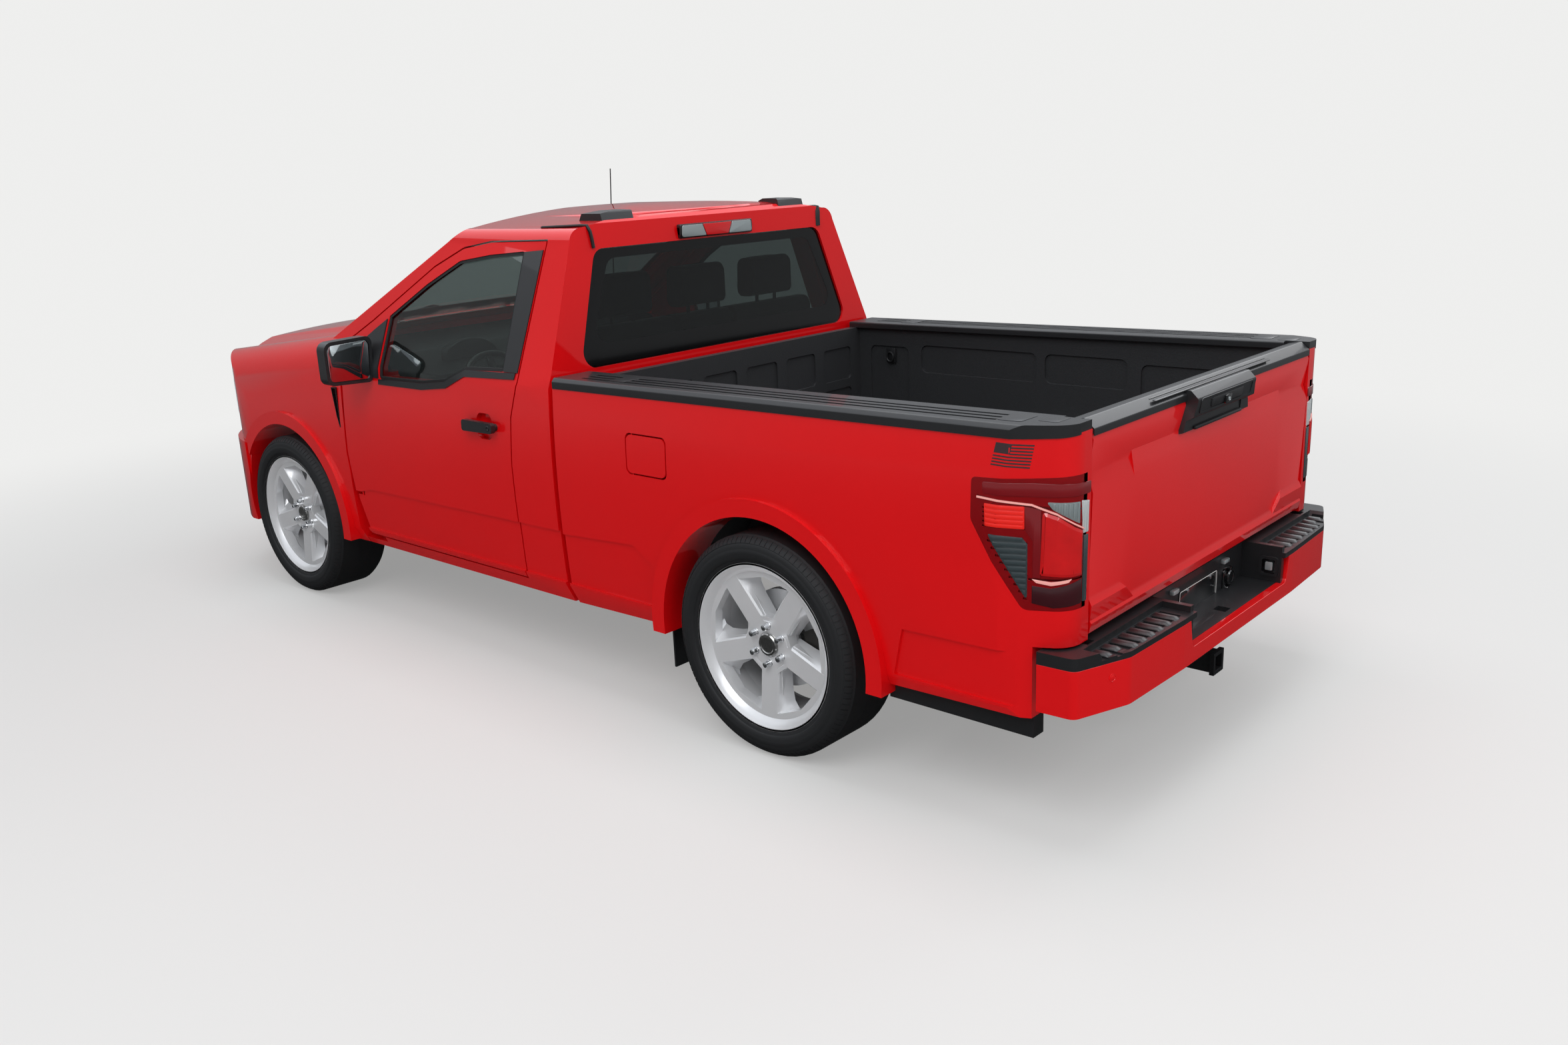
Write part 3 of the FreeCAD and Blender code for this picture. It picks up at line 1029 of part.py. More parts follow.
keep("bed_sides", Part.makeCompound([left_side.cut(pin_bore), flip(bed_side.cut(pin_bore))]))

gate_cap_view = [(gate_inner - 2, S.gate_top), (gate_inner - 2, S.gate_top + 18, 6),
                 (gate_face - 30, S.gate_top + 26, 8), (gate_face + 2, S.gate_top - 2, 6),
                 (gate_face + 2, S.gate_top - 22), (gate_face - 10, S.gate_top)]
gate_cap = prism(gate_cap_view, "X", -S.gate_half, S.gate_half)
GRIP_HALF = 224
grip_view = [(gate_face - 40, S.gate_top + 10), (gate_face + 14, S.gate_top + 12, 8),
             (gate_face + 40, S.gate_top - 14, 10), (gate_face + 30, S.gate_top - 70, 8),
             (gate_face + 8, S.gate_top - 82), (gate_face + 6, S.gate_top - 118),
             (gate_face - 14, S.gate_top - 124)]
grip_block = prism(grip_view, "X", -GRIP_HALF - 30, GRIP_HALF + 30)
grip_front = mirrored([(GRIP_HALF + 30, S.gate_top - 130), (GRIP_HALF, S.gate_top - 30),
                       (GRIP_HALF, S.gate_top + 20)])
grip_block = grip_block.common(prism(grip_front, "Y", gate_face - 60, gate_face + 60))
grip_block = grip_block.cut(box((-GRIP_HALF + 40, GRIP_HALF - 40), (gate_face + 4, gate_face + 26),
                                (S.gate_top - 120, S.gate_top - 50)))
gate_cap = gate_cap.fuse(grip_block).cut(gate)
keep("tailgate_cap", gate_cap)

# Rear bumper: painted shell under black step pads
bumper_in = gate_face - 30
corner_in = gate_face + 12
bumper_plan = mirrored([(S.bumper_half, bumper_wrap), (S.bumper_half - 6, gate_face + 40, 30),
                        (S.bumper_half - 200, tail_end - 12, 60), (S.step_notch + 60, tail_end, 40)])
shell_core = mirrored([(S.bumper_half - 24, bumper_wrap - 20), (S.bumper_half - 60, gate_face + 24),
                       (S.bumper_half - 220, tail_end - 40), (S.step_notch + 50, tail_end - 28)])
bumper_zone = box((-WIDE, WIDE), (corner_in, tail_end + 10), (0, HIGH))
wing = box((S.bed_half + 20, WIDE), (bumper_wrap, tail_end), (0, HIGH))
bumper_zone = bumper_zone.fuse(wing).fuse(flip(wing))
inner_zone = box((-S.gate_half + 10, S.gate_half - 10), (gate_face - 60, tail_end), (0, HIGH))
notch_half = S.step_notch - 20
painted = prism(bumper_plan, "Z", S.bumper_foot, S.bumper_top - S.step_wall)
painted = painted.cut(prism(shell_core, "Z", 0, HIGH)).common(bumper_zone)
painted = painted.cut(prism([(-S.step_notch - 26, S.bumper_top), (-S.step_notch, S.bumper_foot + 52, 20),
                             (S.step_notch, S.bumper_foot + 52, 20), (S.step_notch + 26, S.bumper_top)],
                            "Y", gate_face, tail_end + 20))
pads = prism(bumper_plan, "Z", S.bumper_top - S.step_wall, S.bumper_top)
pads = pads.common(bumper_zone.fuse(inner_zone))
pads = pads.cut(box((-notch_half, notch_half), (0, LONG), (0, HIGH)))
PAD_SINK, PAD_END, PAD_SLOPE = 20, 884, 18
sunk = prism([(S.step_notch - 30, S.bumper_top + 1), (S.step_notch - 30, S.bumper_top - PAD_SINK),
              (PAD_END - PAD_SLOPE, S.bumper_top - PAD_SINK), (PAD_END, S.bumper_top + 1)],
             "Y", corner_in + 8, tail_end + 20)
pads = pads.cut(sunk).cut(flip(sunk))
STEP_RIBS, RIB_STEP, RIB_CUT, RIB_SINK = 9, 54, 22, 5
for k in range(STEP_RIBS):
    x = S.step_notch + 40 + k * RIB_STEP
    rib_cut = box((x, x + RIB_CUT), (corner_in + 20, tail_end - 24),
                  (S.bumper_top - PAD_SINK - RIB_SINK, S.bumper_top))
    pads = pads.cut(rib_cut).cut(flip(rib_cut))
plate_half = S.rail_half + S.frame_width / 2 + 40
well_low = S.bumper_foot + 24
step = pads.fuse(box((-notch_half, notch_half), (bumper_in, tail_end - 12), (well_low, well_low + 28)))
step = step.fuse(box((-plate_half, plate_half), (bumper_in - 18, bumper_in),
                     (S.bumper_foot - 10, S.bumper_top - 4)))
for s in (1, -1):
    step = step.fuse(box(sorted((s * notch_half, s * (notch_half + 21))), (bumper_in, tail_end - 12),
                         (well_low, S.bumper_top)))
    hanger_x = sorted((s * (S.rail_half - S.frame_width / 2), s * (S.rail_half + S.frame_width / 2)))
    step = step.fuse(box(hanger_x,
                         (tail_end - 190, bumper_in), (S.frame_foot + S.kick_up + 10, S.bumper_top - 12)))
step = step.cut(painted).cut(box((-22, 22), (tail_end - 92, tail_end - 48), (0, S.bumper_top)))
PLATE_PITCH, PLATE_HOLE = 178, 3.2
plate_z = S.bumper_foot + 125
for s in (1, -1):
    x = s * PLATE_PITCH / 2
    step = step.cut(rod((x, bumper_in - 30, plate_z), (x, bumper_in + 30, plate_z), PLATE_HOLE))
keep("rear_bumper", painted)
keep("bumper_step", step)

# Wheels: rims with tapered windows between five spokes, tyres and brake discs

def origin_plane(body, role):
    """One of a body's own origin planes or axes, found by its role."""
    return next(f for f in body.Origin.OriginFeatures if f.Role == role)


def sketch(body, name, role, points):
    """A closed sketch of straight runs whose corners are bound to the sheet."""
    drawing = body.newObject("Sketcher::SketchObject", name)
    drawing.AttachmentSupport = [(origin_plane(body, role), "")]
    drawing.MapMode = "FlatFace"
    count = len(points)
    spots = [vec(u, v, 0) for u, v in points]
    for k in range(count):
        drawing.addGeometry(Part.LineSegment(spots[k], spots[(k + 1) % count]), False)
    for k in range(count):
        drawing.addConstraint(Sketcher.Constraint("Coincident", k, 2, (k + 1) % count, 1))
    for k, spot in enumerate(spots):
        for word, value in (("DistanceX", spot.x), ("DistanceY", spot.y)):
            index = drawing.addConstraint(Sketcher.Constraint(word, -1, 1, k, 1, value))
            drawing.setExpression(f"Constraints[{index}]", text_of(points[k][word[-1] == "Y"]))
    return drawing


def pattern(body, name, feature, count):
    """Copies of a feature round the wheel's axis."""
    turn = body.newObject("PartDesign::PolarPattern", name)
    turn.Originals = [feature]
    turn.Axis = (origin_plane(body, "X_Axis"), [""])
    turn.Angle = 360
    turn.setExpression("Occurrences", text_of(count))
    body.Tip = turn
    return turn


seat = S.rim_radius
lip = seat + S.rim_lip
inner = seat - 14 - S.rim_wall
face_in = S.hub_offset
RIM_PROFILE = (
    (face_in - 30, 0), (face_in - 30, S.disc_radius * 0.42), (face_in, S.disc_radius * 0.42),
    (face_in, S.hub_radius), (face_in + 16, S.hub_radius + 10), (face_in + 34, inner - 6),
    (face_in + 24, inner), (-S.rim_half + 52, inner), (-S.rim_half + 20, inner + 14),
    (-S.rim_half, lip - 12), (-S.rim_half, lip), (-S.rim_half + 9, lip), (-S.rim_half + 14, seat),
    (-S.rim_half + 34, seat - 3), (-S.rim_half + 50, inner + S.rim_wall),
    (S.rim_half - 70, inner + S.rim_wall),
    (S.rim_half - 54, seat - 3), (S.rim_half - 14, seat), (S.rim_half - 9, lip), (S.rim_half, lip),
    (S.rim_half, lip - 9), (S.rim_half - 12, lip - 26), (S.rim_half - 26, lip - 36),
    (face_in + S.spoke_wall + 12, S.hub_radius + 2), (face_in + S.spoke_wall + 6, S.hub_radius - 10),
    (face_in + S.spoke_wall + 6, 40), (face_in + S.spoke_wall, 36), (face_in + S.spoke_wall, 0),
)


def window(scale):
    """Corners of the gap between two spokes, in the wheel's side view."""
    half = math.pi / S.spoke_count
    reach, near = inner - 10, S.hub_radius + 12
    wide = S.spoke_width / 2 + scale
    far_half = half - math.asin(wide / reach)
    near_v = max(near, wide / math.sin(half) + 6)
    tip = (near_v - wide / math.sin(half)) * math.tan(half)
    return [(-tip, near_v), (tip, near_v), (reach * math.sin(far_half), reach * math.cos(far_half)),
            (0, reach + 2), (-reach * math.sin(far_half), reach * math.cos(far_half))]


def rim_body(name):
    """A wheel rim with its brake disc, its axis along X and its face outward."""
    body = doc.addObject("PartDesign::Body", name)
    turned = body.newObject("PartDesign::Revolution", name + "_turned")
    turned.Profile = sketch(body, name + "_section", "XZ_Plane", RIM_PROFILE)
    turned.ReferenceAxis = (origin_plane(body, "X_Axis"), [""])
    turned.Angle = 360
    doc.recompute()
    for label, extra, start in (("window", 10, -1), ("bevel", 0, 1)):
        drawing = body.newObject("Sketcher::SketchObject", f"{name}_{label}_view")
        drawing.AttachmentSupport = [(origin_plane(body, "YZ_Plane"), "")]
        drawing.MapMode = "FlatFace"
        if start > 0:
            drawing.AttachmentOffset = FreeCAD.Placement(
                vec(0, 0, face_in + S.spoke_wall - 2), FreeCAD.Rotation())
        corners = [vec(u, v, 0) for u, v in window(extra)]
        for k, spot in enumerate(corners):
            drawing.addGeometry(Part.LineSegment(spot, corners[(k + 1) % len(corners)]), False)
        cut = body.newObject("PartDesign::Pocket", f"{name}_{label}")
        cut.Profile = drawing
        if start > 0:
            cut.Type = "Length"
            cut.Length = 200
            cut.Reversed = True
        else:
            cut.Type = "Length"
            cut.Length = 2 * float(face_in + S.rim_half)
            cut.Midplane = True
        doc.recompute()
        pattern(body, f"{name}_{label}s", cut, S.spoke_count)
        doc.recompute()
    drawing = body.newObject("Sketcher::SketchObject", f"{name}_lug_view")
    drawing.AttachmentSupport = [(origin_plane(body, "YZ_Plane"), "")]
    drawing.MapMode = "FlatFace"
    drawing.AttachmentOffset = FreeCAD.Placement(vec(0, 0, face_in + S.spoke_wall - 5), FreeCAD.Rotation())
    drawing.addGeometry(Part.Circle(vec(0, S.lug_circle, 0), AXIS["Z"], float(S.lug_radius)), False)
    nut = body.newObject("PartDesign::Pad", f"{name}_lug")
    nut.Profile = drawing
    nut.Length = 24
    doc.recompute()
    pattern(body, f"{name}_lugs", nut, S.lug_count)
    doc.recompute()
    bore = body.newObject("Sketcher::SketchObject", f"{name}_bore_view")
    bore.AttachmentSupport = [(origin_plane(body, "YZ_Plane"), "")]
    bore.MapMode = "FlatFace"
    bore.AttachmentOffset = FreeCAD.Placement(vec(0, 0, face_in - 30 + S.bore_depth), FreeCAD.Rotation())
    bore.addGeometry(Part.Circle(vec(0, 0, 0), AXIS["Z"], float(S.hub_bore)), False)
    hole = body.newObject("PartDesign::Pocket", f"{name}_bore")
    hole.Profile = bore
    hole.Length = 200
    doc.recompute()
    disc = body.newObject("PartDesign::Revolution", name + "_disc")
    disc.Profile = sketch(body, name + "_disc_section", "XZ_Plane", (
        (face_in - 30 - S.disc_wall, S.disc_radius * 0.33), (face_in - 30 - S.disc_wall, S.disc_radius),
        (face_in - 29.5, S.disc_radius), (face_in - 29.5, S.disc_radius * 0.33)))
    disc.ReferenceAxis = (origin_plane(body, "X_Axis"), [""])
    disc.Angle = 360
    body.Tip = disc
    doc.recompute()
    return body


# Half section of a tyre from its bead to its crown: x, radius, 1 where it lies on the rim
TYRE_HALF = (
    (S.rim_half - 15.4, S.rim_radius + S.seat_gap, 1), (S.rim_half - 10.2, lip + 0.4, 1),
    (S.rim_half + 2, lip + 3, 1), (S.tyre_width / 2, S.rim_radius + 56, 0),
    (S.tyre_width * 0.46, S.tyre_radius - 18, 0), (S.tyre_width * 0.38, S.tyre_radius, 0),
)
TYRE_SIDES = 60


def tyre_ring():
    """A low tyre as one closed ring of flat facets, with a corner at the ground."""
    grown = 1 / math.cos(math.pi / TYRE_SIDES)
    half = [(x, radius * grown if seated else radius) for x, radius, seated in TYRE_HALF]
    section = half + [(-x, radius) for x, radius in reversed(half)]
    rings = []
    for k in range(TYRE_SIDES):
        turn = 2 * math.pi * k / TYRE_SIDES - math.pi / 2
        rings.append([vec(x, r * math.cos(turn), r * math.sin(turn)) for x, r in section])
    facets = []
    for k in range(TYRE_SIDES):
        here, there = rings[k - 1], rings[k]
        for i in range(len(section)):
            facets.append(Part.Face(Part.makePolygon(
                [here[i - 1], here[i], there[i], there[i - 1], here[i - 1]])))
    skin_of_ring = Part.makeCompound(facets)
    skin_of_ring.sewShape()
    return Part.makeSolid(skin_of_ring.Shells[0])


ring = tyre_ring()
for end, axle in (("front", front_axle), ("rear", rear_axle)):
    for side, sign in SIDES:
        tyre = doc.addObject("Part::Feature", f"tyre_{end}_{side}")
        tyre.Shape = ring
        rim = rim_body(f"rim_{end}_{side}")
        turn = FreeCAD.Rotation(AXIS["Z"], 0 if sign > 0 else 180)
        for kind, node in (("rim", rim), ("tyre", tyre)):
            node.Placement = FreeCAD.Placement(vec(sign * wheel_x, axle, S.tyre_radius), turn)
            for prop, size in (("x", sign * wheel_x), ("y", axle), ("z", S.tyre_radius)):
                node.setExpression("Placement.Base." + prop, text_of(size))
            keep(f"{kind}_{end}_{side}", None, node)
doc.recompute()

# Chassis: ladder frame, engine, axles, springs, shaft, tank and exhaust
rail_view = [(front_end + 200, S.frame_foot + 20), (front_axle - 330, S.frame_foot + 20),
             (front_axle - 200, S.frame_foot + 40), (front_axle + 200, S.frame_foot + 40),
             (front_axle + 380, S.frame_foot), (rear_axle - 620, S.frame_foot),
             (rear_axle - 330, S.frame_foot + S.kick_up), (tail_end - 190, S.frame_foot + S.kick_up),
             (tail_end - 190, S.gate_foot - 40), (tail_end - 240, S.gate_foot - 40),
             (tail_end - 300, S.frame_top + S.kick_up - 10),
             (rear_axle - 360, S.frame_top + S.kick_up - 10),
             (rear_axle - 660, S.frame_top), (front_axle + 360, S.frame_top),
             (front_axle + 180, S.frame_top + 30), (front_axle - 220, S.frame_top + 30),
             (front_axle - 350, S.frame_top), (front_end + 200, S.frame_top)]
rail = prism(rail_view, "X", S.rail_half - S.frame_width / 2, S.rail_half + S.frame_width / 2)
rail_in = S.rail_half - S.frame_width / 2
# Cross members: y of the middle, length along the truck, rise over the rail's foot, height
CROSS_MEMBERS = (
    (front_end + 245, 70, 30, 110), (front_axle, 160, 44, 60), (front_axle + 780, 90, 8, 60),
    (rear_axle - 800, 90, 8, 60), (rear_axle - 240, 70, S.kick_up + 70, 60),
    (tail_end - 420, 80, S.kick_up + 20, 90),
)
ladder = rail.fuse(flip(rail))
for y, long, rise, high in CROSS_MEMBERS:
    ladder = ladder.fuse(box((-rail_in, rail_in), (y - long / 2, y + long / 2),
                             (S.frame_foot + rise, S.frame_foot + rise + high)))
keep("frame", ladder)

engine = bound("Part::Box", "engine_block", Length=520, Width=620, Height=480,
               Atx=-260, Aty=front_axle - 260, Atz=S.frame_foot + 104)
gearbox = bound("Part::Box", "gearbox", Length=300, Width=760, Height=250,
                Atx=-150, Aty=front_axle + 360, Atz=S.frame_foot + 68)
drive = doc.addObject("Part::MultiFuse", "engine")
drive.Shapes = [engine, gearbox]
keep("engine", None, drive)

drive_block = box((-260, 260), (front_axle - 260, front_axle + 360),
                  (S.frame_foot + 104, S.frame_foot + 584))
drive_block = drive_block.fuse(box((-150, 150), (front_axle + 360, front_axle + 1120),
                                   (S.frame_foot + 68, S.frame_foot + 318)))

shaft = bound("Part::Cylinder", "driveshaft", Radius=38, Height=rear_axle - 160 - (front_axle + 1120),
              Aty=front_axle + 1120, Atz=S.frame_foot + 120)
shaft.Placement.Rotation = FreeCAD.Rotation(AXIS["X"], -90)
doc.recompute()

# Rear axle with its differential, spindles, calipers and leaf springs
axle_z = S.tyre_radius
brake_in = wheel_x + S.hub_offset - 30 - S.disc_wall
spindle_end = wheel_x + S.hub_offset - 30 + S.bore_depth - 4
axle_bar = rod((-brake_in + 12, rear_axle, axle_z), (brake_in - 12, rear_axle, axle_z), 42)
housing = Part.makeSphere(135, vec(0, rear_axle, axle_z)).common(
    box((-130, 130), (rear_axle - 125, rear_axle + 110), (axle_z - 130, axle_z + 118)))
nose_tube = rod((0, rear_axle - 160, S.frame_foot + 120), (0, rear_axle - 60, S.frame_foot + 120), 48)
stub = rod((brake_in - 13, rear_axle, axle_z), (spindle_end, rear_axle, axle_z), S.hub_bore - S.run_fit)
axle_body = axle_bar.fuse(housing).fuse(nose_tube).fuse(stub).fuse(flip(stub))


def caliper(axle, way):
    """A brake caliper astride the disc's edge, with its bracket inboard."""
    top, low = S.disc_radius + 26, S.disc_radius - 62
    mid = brake_in + S.disc_wall / 2
    ring = rod((mid - 52, axle, axle_z), (mid + 36, axle, axle_z), top)
    ring = ring.cut(rod((mid - 60, axle, axle_z), (mid + 40, axle, axle_z), low))
    wedge = prism([(axle, axle_z), (axle + way * 260, axle_z + 120), (axle + way * 260, axle_z - 120)],
                  "X", mid - 60, mid + 40)
    slot = rod((mid - S.disc_wall / 2 - 5, axle, axle_z), (mid + S.disc_wall / 2 + 5, axle, axle_z),
               S.disc_radius + 6)
    body = ring.common(wedge).cut(slot)
    arm = box((mid - 66, mid - S.disc_wall / 2 - 6), (axle, axle + way * (low + 6)) if way > 0 else
              (axle + way * (low + 6), axle), (axle_z - 24, axle_z + 24))
    return body.fuse(arm)


rear_caliper = caliper(rear_axle, 1)
axle_body = axle_body.fuse(rear_caliper).fuse(flip(rear_caliper))
spring_x = S.rail_half + S.frame_width / 2 + 45
spring_z = axle_z + 78
spring_view = [(rear_axle - 640, spring_z + 4), Via((rear_axle, spring_z - 34)),
               (rear_axle + 600, spring_z + 4),
               (rear_axle + 600, spring_z + 22), Via((rear_axle, spring_z - 4)),
               (rear_axle - 640, spring_z + 22)]
spring = prism(spring_view, "X", spring_x - 32, spring_x + 32)
saddle = box((spring_x - 38, spring_x + 38), (rear_axle - 60, rear_axle + 60), (axle_z + 20, spring_z - 10))
for y, length in ((rear_axle - 640, 60), (rear_axle + 600, 60)):
    spring = spring.fuse(box((spring_x - 45, spring_x + 32), (y - 30, y + 30),
                             (spring_z - 4, spring_z + length)))
springs = spring.fuse(saddle)
axle_body = axle_body.fuse(springs).fuse(flip(springs))
keep("rear_axle", axle_body.fuse(shaft.Shape))

# Front suspension: two arms and a strut a side, and the steering rack
PIN_LOW, PIN_HIGH = axle_z - 125, axle_z + 190


def wishbone(z, spread, inner_x, thick):
    """An arm from the frame to the bore round a ball joint's pin."""
    tip = S.kingpin_half
    plan = [(inner_x, front_axle - spread), (tip - 30, front_axle - 26), (tip + 4, front_axle - 26, 12),
            (tip + 26, front_axle, 10), (tip + 4, front_axle + 26, 12), (tip - 30, front_axle + 26),
            (inner_x, front_axle + spread), (inner_x, front_axle + spread - 60),
            (inner_x + 90, front_axle), (inner_x, front_axle - spread + 60)]
    blade = prism(plan, "Z", z - thick / 2, z + thick / 2)
    return blade.cut(rod((tip, front_axle, z - 60), (tip, front_axle, z + 60), S.pin_radius + S.run_fit))


rail_out = S.rail_half + S.frame_width / 2
low_arm = wishbone(PIN_LOW, 190, rail_out - 40, 30)
high_arm = wishbone(PIN_HIGH, 140, rail_out + 30, 24)
low_mount = box((rail_out - 60, rail_out + 8), (front_axle - 190, front_axle + 190),
                (PIN_LOW - 15, S.frame_foot + 40))
tower = box((rail_out, rail_out + 50), (front_axle - 140, front_axle + 140),
            (S.frame_top - 60, PIN_HIGH + 60))
arms = low_arm.fuse(high_arm).fuse(low_mount).fuse(tower).fuse(
    rod((rail_out + 110, front_axle, PIN_LOW + 14), (rail_out + 92, front_axle, PIN_HIGH - 12), 40))
keep("front_suspension", both(arms.cut(rail)))

# Knuckles: upright, ball pins, spindle and caliper, turned by the steering
upright = box((S.kingpin_half - 22, S.kingpin_half + 20), (front_axle - 42, front_axle + 42),
              (PIN_LOW + 22, PIN_HIGH - 20))
upright = upright.fuse(rod((S.kingpin_half, front_axle, PIN_LOW - 20),
                           (S.kingpin_half, front_axle, PIN_HIGH + 16), S.pin_radius))
upright = upright.fuse(rod((S.kingpin_half, front_axle, axle_z), (spindle_end, front_axle, axle_z),
                           S.hub_bore - S.run_fit))
upright = upright.fuse(caliper(front_axle, 1))
upright = upright.fuse(box((S.kingpin_half - 24, S.kingpin_half), (front_axle - 150, front_axle),
                           (axle_z - 60, axle_z - 30)))
for side, sign in SIDES:
    keep(f"knuckle_{side}", upright if sign > 0 else flip(upright))

tank = box((-310, rail_in - 12), (door_rear - 560, rear_axle - 870),
           (S.frame_foot - 30, S.frame_foot + 150))
tank = tank.makeFillet(30, [e for e in tank.Edges if e.BoundBox.YLength > 100])
tank = tank.cut(rod((0, -LONG, S.frame_foot + 120), (0, LONG, S.frame_foot + 120), 60))
tank = tank.common(box((70, WIDE), (-LONG, LONG), (0, LONG)))
for y in (door_rear - 460, rear_axle - 970):
    tank = tank.fuse(box((rail_in - 60, rail_in), (y - 20, y + 20), (S.frame_foot + 20, S.frame_foot + 60)))
keep("fuel_tank", tank)

pipe_x, pipe_z = -(rail_in - 95), S.frame_foot + 106
exhaust = rod((-200, front_axle + 300, pipe_z + 60), (pipe_x, front_axle + 460, pipe_z), 30)
exhaust = exhaust.fuse(Part.makeSphere(32, vec(pipe_x, front_axle + 460, pipe_z)))
exhaust = exhaust.fuse(rod((pipe_x, front_axle + 460, pipe_z), (pipe_x, rear_axle - 740, pipe_z), 32))
silencer = box((pipe_x - 85, pipe_x + 85), (rear_axle - 741, rear_axle - 360), (pipe_z - 65, pipe_z + 65))
tail = rod((pipe_x, rear_axle - 361, pipe_z), (pipe_x, rear_axle - 290, pipe_z + 10), 32)
hanger = box((-rail_in, pipe_x), (rear_axle - 560, rear_axle - 540), (pipe_z - 10, pipe_z + 10))
exhaust = exhaust.fuse(silencer.makeFillet(40, [e for e in silencer.Edges if e.BoundBox.YLength > 100]))
exhaust = exhaust.fuse(hanger).cut(drive_block)
keep("exhaust", exhaust.fuse(tail))

# Hitch: a square receiver tube with a collar, welded under a cross tube on two plates
TUBE_WALL, COLLAR_WALL, COLLAR_LONG, CROSS_TUBE = 7, 14, 16, 70
receiver_half = S.receiver_bore / 2
hitch_z = S.hitch_height
tube_half, collar_half = receiver_half + TUBE_WALL, receiver_half + COLLAR_WALL
tube_y = (tail_end - 340, tail_end - 70)
tube = box((-tube_half, tube_half), tube_y, (hitch_z - tube_half, hitch_z + tube_half))
tube = tube.fuse(box((-collar_half, collar_half), (tube_y[1] - COLLAR_LONG, tube_y[1]),
                     (hitch_z - collar_half, hitch_z + collar_half)))
tube = tube.cut(box((-receiver_half, receiver_half), (tube_y[0] + 10, tail_end),
                    (hitch_z - receiver_half, hitch_z + receiver_half)))
keep("receiver_tube", tube)
hitch = box((-rail_out + 6, rail_out - 6), (tube_y[0] + 10, tube_y[0] + 10 + CROSS_TUBE),
            (hitch_z + tube_half, hitch_z + tube_half + CROSS_TUBE))
for s in (1, -1):
    ends = sorted((s * (rail_in + 4), s * (rail_in + 16)))
    hitch = hitch.fuse(box(ends, (tail_end - 420, tail_end - 200),
                           (hitch_z + tube_half, S.frame_foot + S.kick_up)))
keep("hitch_receiver", hitch)

# Cabin: dashboard with column, steering wheel and three seats
dash_y = fire_wall + FIRE_WALL
dash_view = [(dash_y, S.floor_height + 180), (dash_y + 150, S.floor_height + 180),
             (dash_y + 310, S.floor_height + 330), (dash_y + 330, S.cowl_height - 202),
             (dash_y + 250, S.cowl_height - 82, 40), (dash_y, S.cowl_height - 32)]
dash = prism(dash_view, "X", -half_room + 68, half_room - 68)
dash = dash.common(box((-S.hood_half + 2, S.hood_half - 2), (dash_y, door_front + 4), (0, HIGH)).fuse(
    box((-half_room, half_room), (door_front + 3, 0), (0, HIGH))))
tilt = math.radians(S.steer_tilt)
column_x = 400
hub_y, hub_z = dash_y + 520, S.floor_height + 430
lean_y, lean_z = math.cos(tilt), math.sin(tilt)
column = rod((column_x, hub_y - 230 * lean_y, hub_z - 230 * lean_z),
             (column_x, hub_y - 30 * lean_y, hub_z - 30 * lean_z), 45)
peg = rod((column_x, hub_y - 31 * lean_y, hub_z - 31 * lean_z), (column_x, hub_y, hub_z), 12)
keep("dashboard", dash.fuse(column).fuse(peg))
RING_GRIP = 15
ring_face = Part.Face(outline([(S.steer_radius + RING_GRIP * math.cos(math.radians(a)),
                                RING_GRIP * math.sin(math.radians(a))) for a in range(0, 360, 60)], "Y"))
wheel_ring = ring_face.revolve(vec(0, 0, 0), AXIS["Z"], 360)
hub = Part.makeCylinder(55, 36, vec(0, 0, -22), AXIS["Z"])
spokes = Part.makeBox(2 * float(S.steer_radius), 40, 14, vec(-S.steer_radius, -20, -7))
spokes = spokes.fuse(Part.makeBox(34, float(S.steer_radius), 14, vec(-17, -S.steer_radius, -7)))
wheel = wheel_ring.fuse(hub).fuse(spokes)
wheel = wheel.cut(Part.makeCylinder(12 + float(S.run_fit), 26, vec(0, 0, -23), AXIS["Z"]))
turn = FreeCAD.Rotation(AXIS["X"], -90 + float(S.steer_tilt))
wheel.Placement = FreeCAD.Placement(vec(column_x, hub_y, hub_z), turn)
keep("steering_wheel", wheel)

seat_back = cab_back - S.back_wall - 60
seat_front = seat_back - 640
# Seats: x of the middle, width, 1 where it has a head restraint
SEATS = ((440, S.seat_width, 1), (0, 330, 1), (-440, S.seat_width, 1))
cushions = []
for x, width, _ in SEATS:
    half = width / 2
    base = prism([(seat_front, S.floor_height + 130, 40), (seat_back - 60, S.floor_height + 110),
                  (seat_back - 60, S.floor_height + 270), (seat_front, S.floor_height + 330, 60)],
                 "X", x - half, x + half)
    rest = prism([(seat_back - 150, S.floor_height + 272), (seat_back - 20, S.floor_height + 250),
                  (seat_back - 0, S.floor_height + 800, 40), (seat_back - 110, S.floor_height + 800, 40)],
                 "X", x - half + 10, x + half - 10)
    head = prism([(seat_back - 110, S.floor_height + 830, 30), (seat_back - 10, S.floor_height + 830, 30),
                  (seat_back - 10, S.floor_height + 1000, 40),
                  (seat_back - 100, S.floor_height + 1000, 40)],
                 "X", x - 130, x + 130)
    stays = [rod((x + s * 60, seat_back - 55, S.floor_height + 780),
                 (x + s * 60, seat_back - 55, S.floor_height + 850), 8) for s in (1, -1)]
    foot = box((x - half + 40, x + half - 40), (seat_front + 60, seat_back - 80),
               (S.floor_height, S.floor_height + 150))
    cushions.append(base.fuse(rest).fuse(head).fuse(stays[0]).fuse(stays[1]).fuse(foot))
keep("seats", Part.makeCompound(cushions))

